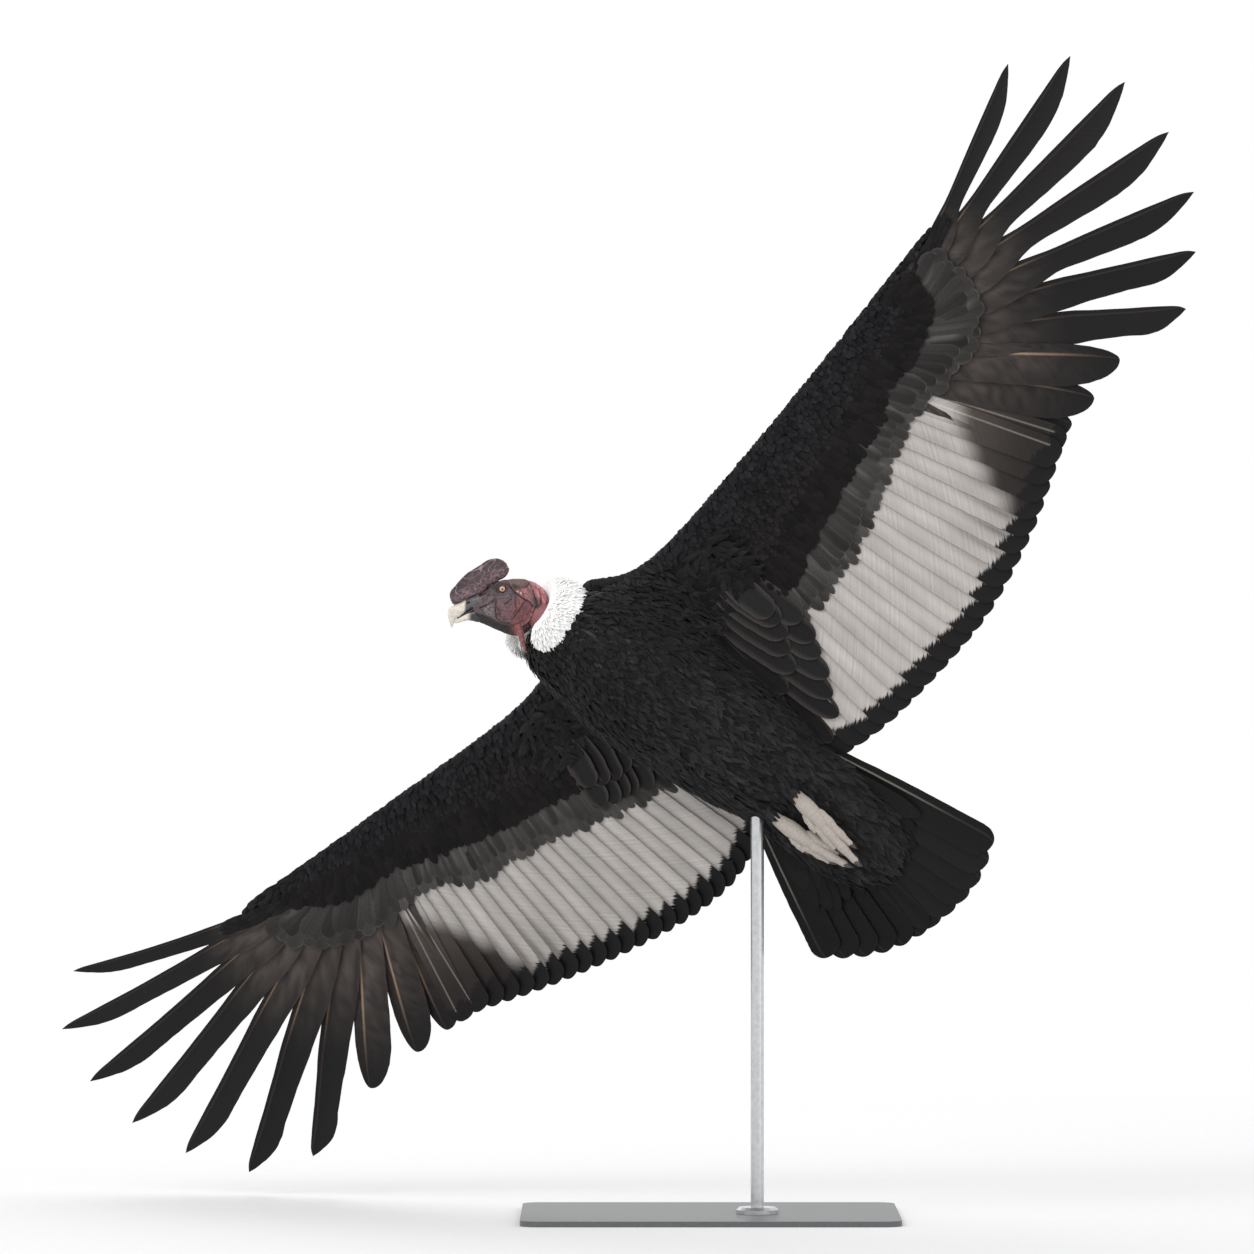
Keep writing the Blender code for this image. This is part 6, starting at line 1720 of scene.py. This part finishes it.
def ruff_ways(angle):
    """Directions outwards from the collar's axis, from the throat round to the nape."""
    throat = unit(RUFF_THROAT - RUFF_AXIS * (RUFF_THROAT @ RUFF_AXIS))
    across = np.cross(RUFF_AXIS, throat)
    return throat * np.cos(angle)[..., None] + across * np.sin(angle)[..., None]


def on_ruff(angle, turn, proud=0.0):
    """Points of the collar's plush; turn runs round its thickness from outwards to the front."""
    out = ruff_ways(angle)
    to_end = np.minimum(angle - RUFF_OPENING, 2 * math.pi - RUFF_OPENING - angle)
    fade = step(-0.05, 0.55, to_end) * 0.5 + 0.5
    lumps = 1 + 0.05 * np.sin(angle * 9 + 2 * np.sin(angle * 4)) * np.cos(turn)
    reach = (RUFF_REACH * lumps * fade + proud) * np.cos(turn)
    ahead = (RUFF_DEPTH * fade + proud) * np.sin(turn)
    middle = RUFF_CENTRE + out * RUFF_RADIUS
    far_end = step(RUFF_FAR_FROM, 2 * math.pi - RUFF_OPENING, angle)[..., None]
    middle = mix(middle, RUFF_FAR_END, far_end)
    return middle + out * reach[..., None] + RUFF_AXIS * ahead[..., None]


def ruff(material):
    """A thick collar of fine white down, closed plush over a soft core."""
    last = 2 * math.pi - RUFF_OPENING
    grid_angle, grid_turn = np.meshgrid(np.linspace(RUFF_OPENING, last, 90), turns(40), indexing="ij")
    sunk = mix(*RUFF_CORE_SUNK, step(RUFF_SINK_FROM, last, grid_angle))
    core = in_stand(on_ruff(grid_angle, grid_turn, sunk))
    piece = loft_piece("ruff_core", core, DOWN_WHITE, material)
    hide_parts("ruff")
    number = np.arange(RUFF_TUFTS)
    angle = mix(RUFF_OPENING, last, (number + RANDOM.uniform(0, 1, RUFF_TUFTS)) / RUFF_TUFTS)
    turn = (number * GOLDEN_TURN) % (2 * math.pi)
    order = RANDOM.permutation(RUFF_TUFTS)
    for part in range(2):
        chosen = order[part::2]
        ruff_tufts(f"ruff_down_{part}", angle[chosen], turn[chosen], material)


def ruff_tufts(name, angle, turn, material):
    """Short broad wisps of down, laid like shingles round the roll so that only their tips part."""
    s = np.linspace(0, 1, 5)
    root = on_ruff(angle, turn, -0.0060)
    top = on_ruff(angle, turn, 0.0)
    normal = unit(top - root)
    out = ruff_ways(angle)
    lie = unit(out * 0.35 - RUFF_AXIS)
    lie = unit(lie - normal * np.sum(lie * normal, -1, keepdims=True) * 0.9)
    length = RANDOM.uniform(0.015, 0.023, len(angle))
    stray = RANDOM.normal(0, 0.10, (len(angle), 3))
    way = unit(normal * 0.30 + lie * 0.95 + stray)
    curl = unit(lie - normal * 0.55)
    reach = (length[:, None] * s)[..., None]
    points = root[:, None] + way[:, None] * reach + curl[:, None] * reach * s[:, None] * 0.25
    across, up = shaft_frames(points, np.broadcast_to(normal[:, None], points.shape))
    half = RANDOM.uniform(0.0032, 0.0048, (len(angle), 1)) * read(WISP_BODY, s)
    vanes = Vanes(points, across, up, half, half, SMALL_ACROSS, MIDDLE_RACHIS, 0.0009, TUFT_ARCH,
                  np.zeros(half.shape))
    body = DOWN_WHITE * uneven(len(angle), 0.03, -2, 1.0) * mix(0.98, 1.02, along_tint(s))
    spots = bake_spots(angle / (2 * math.pi), turn / (2 * math.pi))
    vanes.piece(name, body.clip(0, 0.96), material, "ruff_down", spots, 75, in_stand)


# Feet


def foot(side, scaly, horn):
    """One folded foot, its toes laid together along the tail, with scales and curved claws."""
    name = SIDE_NAME[side]
    shank = smooth_path(SHANKS[side] + PALMS[side], 180)
    rings, tone = scaled_tube(shank, 40, 0.0042)
    parts = [rings]
    pink = step(-0.560, -0.515, shank[:, 0])[:, None, None]
    tints = [mix(FOOT_GREY, SHANK_PINK, pink * 0.85) * tone]
    for toe, (start, end, radius) in enumerate(TOES[side]):
        start, end = np.array(start), np.array(end)
        length = np.linalg.norm(end - start)
        t = np.linspace(0, 1, 7)
        path = start + (end - start) * t[:, None]
        path[:, 2] -= 0.0045 * np.sin(math.pi * t)
        pads = radius * (1.0 - 0.34 * t) * (1 + 0.09 * np.cos(t * 6 * math.pi))
        rows = smooth_path(np.column_stack((path, pads)), int(length / 0.0011))
        rows[:, 3] *= read(TOE_BODY, np.linspace(0, 1, len(rows)))
        rings, tone = scaled_tube(rows, 28, 0.0030)
        parts.append(rings)
        tints.append(FOOT_GREY * tone)
        tip, onward = path[-1], unit(path[-1] - path[-2])
        s = np.linspace(0, 1, 26)
        claw = tip + onward * (CLAW_LENGTH * s - CLAW_SUNK)[:, None] + UP * (CLAW_CURVE * s * s)[:, None]
        thick = radius * 0.62 * read(CLAW_BODY, s)
        rings = swept_rings(claw, thick * 0.85, thick, unit(np.cross(onward, UP)), 20)
        tint = mix(CLAW_BASE, CLAW_TIP, s[:, None, None])
        piece = loft_piece(f"claw_{name}_{toe + 1}", from_bird(rings), tint, horn)
        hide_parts(f"claw_{name}_{toe + 1}")
    piece = joined_lofts(f"foot_{name}", [from_bird(p) for p in parts], tints, scaly)
    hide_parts(f"foot_{name}")


def scaled_tube(rows, around, pitch):
    """A toe or shank with overlapping plates above and a pebbled sole, and the tone of its creases, which is
    painted shade.
    """
    guide = np.array((0.0, 1.0, 0.0))
    rings = swept_rings(rows[:, :3], rows[:, 3], rows[:, 3] * 0.92, guide, around)
    normal = grid_normals(rings)
    phase = (run_along(rows[:, :3]) / pitch)[:, None] % 1.0
    plated = step(-0.2, 0.35, normal @ -UP)
    rough = wobble(rings, 420.0)
    plates = (phase**0.7 - 0.5) * plated
    pebbles = rough * (1 - plated)
    # Painted shade in the creases between the plates; the noise that raises the pebbles also varies the tone
    crease = hill(np.minimum(phase, 1 - phase), 0.13) * (0.5 + 0.5 * rough)
    tone = 1.06 - 0.50 * crease + 0.22 * rough
    height = 0.00055 * plates + 0.0006 * pebbles + 0.0003 * wobble(rings, 150.0)
    return rings + normal * height[..., None], tone[..., None]


def stand(frame_nodes):
    """Dresses the stand's own nodes in paint and steel."""
    paint, tree, shader = new_material("stand_paint", 0.45, Coat_Weight=0.1)
    speckle(tree, shader, *PAINT_TONES, 260.0, (0.38, 0.58), 0.08)
    steel, tree, shader = new_material("stand_steel", 0.3, Metallic=1.0)
    speckle(tree, shader, *STEEL_TONES, 90.0, (0.22, 0.38), 0.04)
    for name, material in (("stand_base", paint), ("stand_collar", steel), ("stand_rod", steel)):
        piece = frame_nodes[name]
        piece.data.materials.clear()
        piece.data.materials.append(material)


# The tail


def tail_feathers(material):
    """The fan of long tail feathers, dark with pale shafts near the roots of the outermost."""
    spread = (np.arange(TAIL_FEATHERS) + 0.5) / TAIL_FEATHERS * 2 - 1
    s = tip_packed(STATIONS)
    vanes = tail_row(spread, read(TAIL_REACH, spread), TAIL_WIDTH, s, 0.0, 0.0, FLIGHT_SHAFT)
    along = along_tint(s)
    each = uneven(TAIL_FEATHERS, 0.15, -1.5, 1.5)
    body = BLACK * each * mix(1.25, 0.95, step(0.2, 0.8, along))
    body = body * mix(1.15, 1.0, step(0.0, 0.4, vanes.across))
    outermost = (np.abs(spread) > 0.85)[:, None, None, None]
    pale_shaft = mix(SHAFT_CREAM * 0.42, SHAFT_DARK, step(0.35, 0.85, along))
    shaft_colour = np.where(outermost, pale_shaft, SHAFT_DARK * mix(1.1, 0.7, along))
    body = mix(body, shaft_colour, vanes.shaft_mask * 1.0)
    vanes.piece("tail_feathers", body, material, "plumage_black", None)


def tail_coverts(material):
    """Soft feathers that close over the roots of the tail from below and from above."""
    s = tip_packed(14)
    for level, rows in TAIL_COVERT_ROWS.items():
        for tier, (reach, start, end) in enumerate(rows):
            count = 13 - tier
            spread = ((np.arange(count) + 0.5) / count * 2 - 1) * (0.86 - 0.04 * tier)
            spread = spread + RANDOM.normal(0, 0.02, count)
            reaches = reach * (1 - 0.07 * spread**2) + RANDOM.normal(0, 0.006, count)
            vanes = tail_row(spread, reaches, TAIL_COVERT_WIDTH, s, start, end - start, 0.0003, COVERT_ACROSS,
                             MIDDLE_RACHIS, 0.70)
            body = SLATE * 0.62 * uneven(count, 0.25, -1.5, 1.8) * mix(0.9, 1.15, along_tint(s))
            spots = bake_spots(0.02 + 0.1 * tier * np.ones(count), (spread + 1) / 2)
            vanes.piece(f"tail_coverts_{LEVEL_NAME[level]}_{tier}", body, material, "plumage_black", spots)


def tail_row(spread, reach, width, s, height, rise, radius, across=FLIGHT_ACROSS, rachis=FLIGHT_RACHIS,
             round_from=0.925):
    """A row of feathers fanned from the tail's apex, each with its outer edge raised."""
    angle = math.pi + TAIL_AXIS - spread * TAIL_HALF_FAN
    way = np.stack((np.cos(angle), np.sin(angle), np.zeros(len(angle))), -1)
    outward = np.stack((way[:, 1], -way[:, 0], np.zeros(len(angle))), -1) * np.sign(spread)[:, None]
    reaches = mix(TAIL_START, reach[:, None], s)
    lift = height + rise * s + 0.0006 * np.abs(spread)[:, None]
    points = TAIL_APEX + way[:, None] * reaches[..., None] + UP * lift[..., None]
    side_way = (outward * math.cos(TAIL_TILT) + UP * math.sin(TAIL_TILT))[:, None]
    normal = (UP * math.cos(TAIL_TILT) - outward * math.sin(TAIL_TILT))[:, None]
    widths = width * (read(TAIL_BODY, s) * round_tip(s, round_from, 0.05))
    widths = widths * edge_wear(points.shape[:2], FLIGHT_WEAR)
    return Vanes(points, np.broadcast_to(side_way, points.shape), np.broadcast_to(normal, points.shape),
                 widths * 0.6, widths * 0.4, across, rachis, FLIGHT_THICKNESS, 0.03,
                 tapered(radius, 0.9, s, len(spread)))


# Materials


def feed(tree, socket, value):
    """Sets an input to a value, or links it to the output of another node."""
    if isinstance(value, bpy.types.NodeSocket):
        tree.links.new(value, socket)
    else:
        socket.default_value = value


def node(tree, kind, **inputs):
    """A new node; a name with a leading underscore is a setting of the node, any other one an input."""
    made = tree.nodes.new(kind)
    for key, value in inputs.items():
        if key.startswith("_"):
            setattr(made, key[1:], value)
        else:
            feed(tree, made.inputs[key.replace("_", " ")], value)
    return made


def attribute(tree, name, output):
    return node(tree, "ShaderNodeAttribute", _attribute_name=name).outputs[output]


def worked_out(tree, operation, *values):
    """The result of an operation on numbers or outputs."""
    made = node(tree, "ShaderNodeMath", _operation=operation)
    for socket, value in zip(made.inputs, values):
        feed(tree, socket, value)
    return made.outputs[0]


def mapped(tree, value, start, end, low, high):
    """A value turned from the range start to end into the range low to high."""
    made = node(tree, "ShaderNodeMapRange", Value=value, From_Min=start, From_Max=end, To_Min=low,
                To_Max=high)
    return made.outputs["Result"]


def shaded(tree, level):
    """The colour of the tint attribute, made lighter or darker by level."""
    tint = attribute(tree, "tint", "Color")
    made = node(tree, "ShaderNodeVectorMath", _operation="SCALE", Scale=level)
    feed(tree, made.inputs[0], tint)
    return made.outputs[0]


def dress(tree, shader, colour, height, strength, depth):
    """Gives a shader its colour and its fine relief."""
    feed(tree, shader.inputs["Base Color"], colour)
    raised = node(tree, "ShaderNodeBump", Strength=strength, Distance=depth, Height=height)
    feed(tree, shader.inputs["Normal"], raised.outputs[0])


def new_material(name, roughness, **inputs):
    made = bpy.data.materials.new(name)
    made.use_nodes = True
    tree = made.node_tree
    shader = tree.nodes["Principled BSDF"]
    shader.inputs["Roughness"].default_value = roughness
    for key, value in inputs.items():
        shader.inputs[key.replace("_", " ")].default_value = value
    return made, tree, shader


def feather_material(name, roughness, fine, streaks, contrast, bump, sheen=0.0, tips=False):
    """Vanes coloured by their tint, with barbs as fine slanting lines; tips turn black at a ragged line."""
    made, tree, shader = new_material(name, roughness, Specular_IOR_Level=0.16, Sheen_Weight=sheen)
    shader.inputs["Sheen Roughness"].default_value = 0.4
    barb = attribute(tree, "barb", "Fac")
    thin, wide = (
        node(tree, "ShaderNodeTexNoise", _noise_dimensions="1D", Scale=scale, Detail=detail, W=barb)
        for scale, detail in ((fine, 2.0), (streaks, 3.0))
    )
    lines = worked_out(tree, "ADD", thin.outputs[0], wide.outputs[0])
    colour = shaded(tree, mapped(tree, lines, 0.7, 1.3, 1 - contrast, 1 + contrast))
    if tips:
        pale = attribute(tree, "pale", "Fac")
        ragged = worked_out(tree, "MULTIPLY_ADD", lines, TIP_RAGGEDNESS, pale)
        border = mapped(tree, ragged, TIP_RAGGEDNESS - TIP_BLUR, TIP_RAGGEDNESS + TIP_BLUR, 0.0, 1.0)
        mixed = node(tree, "ShaderNodeMix", _data_type="RGBA", Factor=border)
        black_input, colour_input = mixed.inputs[6:8]
        feed(tree, black_input, (*BLACK, 1))
        feed(tree, colour_input, colour)
        colour = mixed.outputs[2]
    dress(tree, shader, colour, lines, bump, GRAIN_DEPTH)
    return made


def speckle(tree, shader, dark, light, scale, roughness, bump):
    """Fine uneven colour, gloss and height all over a surface."""
    place = node(tree, "ShaderNodeTexCoord").outputs["Object"]
    grain = node(tree, "ShaderNodeTexNoise", Scale=scale, Detail=6.0, Vector=place).outputs[0]
    ramp = node(tree, "ShaderNodeValToRGB", Fac=grain)
    for element, position, colour in zip(ramp.color_ramp.elements, (0.3, 0.7), (dark, light)):
        element.position = position
        element.color = (*colour, 1)
    feed(tree, shader.inputs["Roughness"], mapped(tree, grain, 0.0, 1.0, *roughness))
    dress(tree, shader, ramp.outputs[0], grain, bump, SPECKLE_DEPTH)


def skin_material(name, roughness, cell, crackle, bump, **inputs):
    """Skin, scale or horn coloured by its tint, with fine cells and creases; the colour is darker down in the
    creases, painted shade, and varies with a random grain.
    """
    made, tree, shader = new_material(name, roughness, **inputs)
    place = node(tree, "ShaderNodeTexCoord").outputs["Object"]
    cells = node(tree, "ShaderNodeTexVoronoi", _feature="DISTANCE_TO_EDGE", Scale=cell, Vector=place)
    grain = node(tree, "ShaderNodeTexNoise", Scale=cell * 0.7, Detail=5.0, Vector=place).outputs[0]
    edges = mapped(tree, cells.outputs["Distance"], 0.0, 0.25, 0.0, 1.0)
    height = worked_out(tree, "MULTIPLY_ADD", edges, crackle, grain)
    # Darker where the relief is low: painted shade in the creases between cells, with random grain
    colour = shaded(tree, mapped(tree, height, 0.3, 0.7 + crackle, 0.78, 1.18))
    gloss = mapped(tree, grain, 0.3, 0.7, roughness - 0.10, roughness + 0.12)
    feed(tree, shader.inputs["Roughness"], gloss)
    dress(tree, shader, colour, height, bump, GRAIN_DEPTH)
    return made


# Floor, light and camera


def floor_material():
    """Pale studio floor that fades out towards its rim, so that no edge shows against the backdrop."""
    material, tree, shader = new_material("floor", 0.9, Specular_IOR_Level=0.1)
    place = node(tree, "ShaderNodeTexCoord").outputs["Object"]
    grain = node(tree, "ShaderNodeTexNoise", Scale=40.0, Detail=4.0, Vector=place).outputs[0]
    feed(tree, shader.inputs["Base Color"], mapped(tree, grain, 0.0, 1.0, 0.80, 0.84))
    distance = node(tree, "ShaderNodeVectorMath", _operation="LENGTH")
    feed(tree, distance.inputs[0], place)
    fade = mapped(tree, distance.outputs["Value"], *FLOOR_FADE, 1.0, 0.0)
    fade.node.interpolation_type = "SMOOTHSTEP"
    feed(tree, shader.inputs["Alpha"], fade)
    return material


def studio_floor():
    floor_mesh = bpy.data.meshes.new("floor")
    bm = bmesh.new()
    bmesh.ops.create_circle(bm, cap_ends=True, radius=FLOOR_RADIUS, segments=96)
    bm.to_mesh(floor_mesh)
    bm.free()
    floor = bpy.data.objects.new("floor", floor_mesh)
    bpy.context.scene.collection.objects.link(floor)
    floor_mesh.materials.append(floor_material())


def studio_light():
    world = bpy.data.worlds.new("studio")
    world.use_nodes = True
    background = world.node_tree.nodes["Background"]
    background.inputs["Color"].default_value = (1.0, 1.0, 1.0, 1.0)
    background.inputs["Strength"].default_value = WORLD_LEVEL
    bpy.context.scene.world = world
    for name, place, aim, size, power in LAMPS:
        light = bpy.data.lights.new(name, "AREA")
        light.size = size
        light.energy = power
        lamp = bpy.data.objects.new(name, light)
        lamp.location = place
        lamp.rotation_mode = "QUATERNION"
        lamp.rotation_quaternion = (Vector(aim) - Vector(place)).to_track_quat("-Z", "Y")
        bpy.context.scene.collection.objects.link(lamp)
    bpy.context.scene.view_settings.view_transform = "Standard"


def studio_camera():
    """The photo's view: level with the bird's shoulders and far off, with a long lens."""
    camera_data = bpy.data.cameras.new("camera")
    camera_data.sensor_width = SENSOR_WIDTH
    camera_data.lens = SENSOR_WIDTH * -CAMERA_PLACE[1] / VIEW_WIDTH
    camera_data.clip_end = 100.0
    camera = bpy.data.objects.new("camera", camera_data)
    camera.location = CAMERA_PLACE + OFFSET
    camera.rotation_euler = (math.radians(90), 0.0, 0.0)
    bpy.context.scene.collection.objects.link(camera)
    bpy.context.scene.camera = camera


def main():
    """Builds every piece; the order matters, because all random draws come from one generator."""
    flight = feather_material("flight_feather", 0.50, 1500.0, 160.0, 0.13, 0.35, tips=True)
    soft = feather_material("soft_feather", 0.75, 900.0, 200.0, 0.22, 0.5, sheen=0.04)
    for side in (LEFT, RIGHT):
        primaries(side, flight)
        secondaries(side, flight)
        for level in (UNDER, UPPER):
            greater_coverts(side, level, flight)
            median_coverts(side, level, soft)
            lesser_coverts(side, level, soft)
        leading_coverts(side, soft)
        axillaries(side, flight)
        joint_coat(side, soft)
    tail_feathers(flight)
    tail_coverts(soft)
    body_coat(soft)
    vent_coat(soft)
    down = feather_material("down", 0.9, 1200.0, 260.0, 0.03, 0.15)
    bare = skin_material("bare_skin", 0.46, 620.0, 0.5, 0.5, Subsurface_Weight=0.05, Subsurface_Scale=0.002)
    fleshy = skin_material("comb_skin", 0.52, 480.0, 0.6, 0.6, Subsurface_Weight=0.05, Subsurface_Scale=0.002)
    horn = skin_material("horn", 0.36, 160.0, 0.05, 0.12, Coat_Weight=0.15, Coat_Roughness=0.25)
    scaly = skin_material("foot_scales", 0.55, 420.0, 0.9, 0.7)
    wet = skin_material("eyeball", 0.14, 200.0, 0.0, 0.0, Coat_Weight=1.0, Coat_Roughness=0.03)
    skin(bare)
    eyes(wet)
    bill(horn)
    comb(fleshy)
    ruff(down)
    for side in (LEFT, RIGHT):
        foot(side, scaly, horn)
    stand(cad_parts)
    studio_floor()
    studio_light()
    studio_camera()


main()
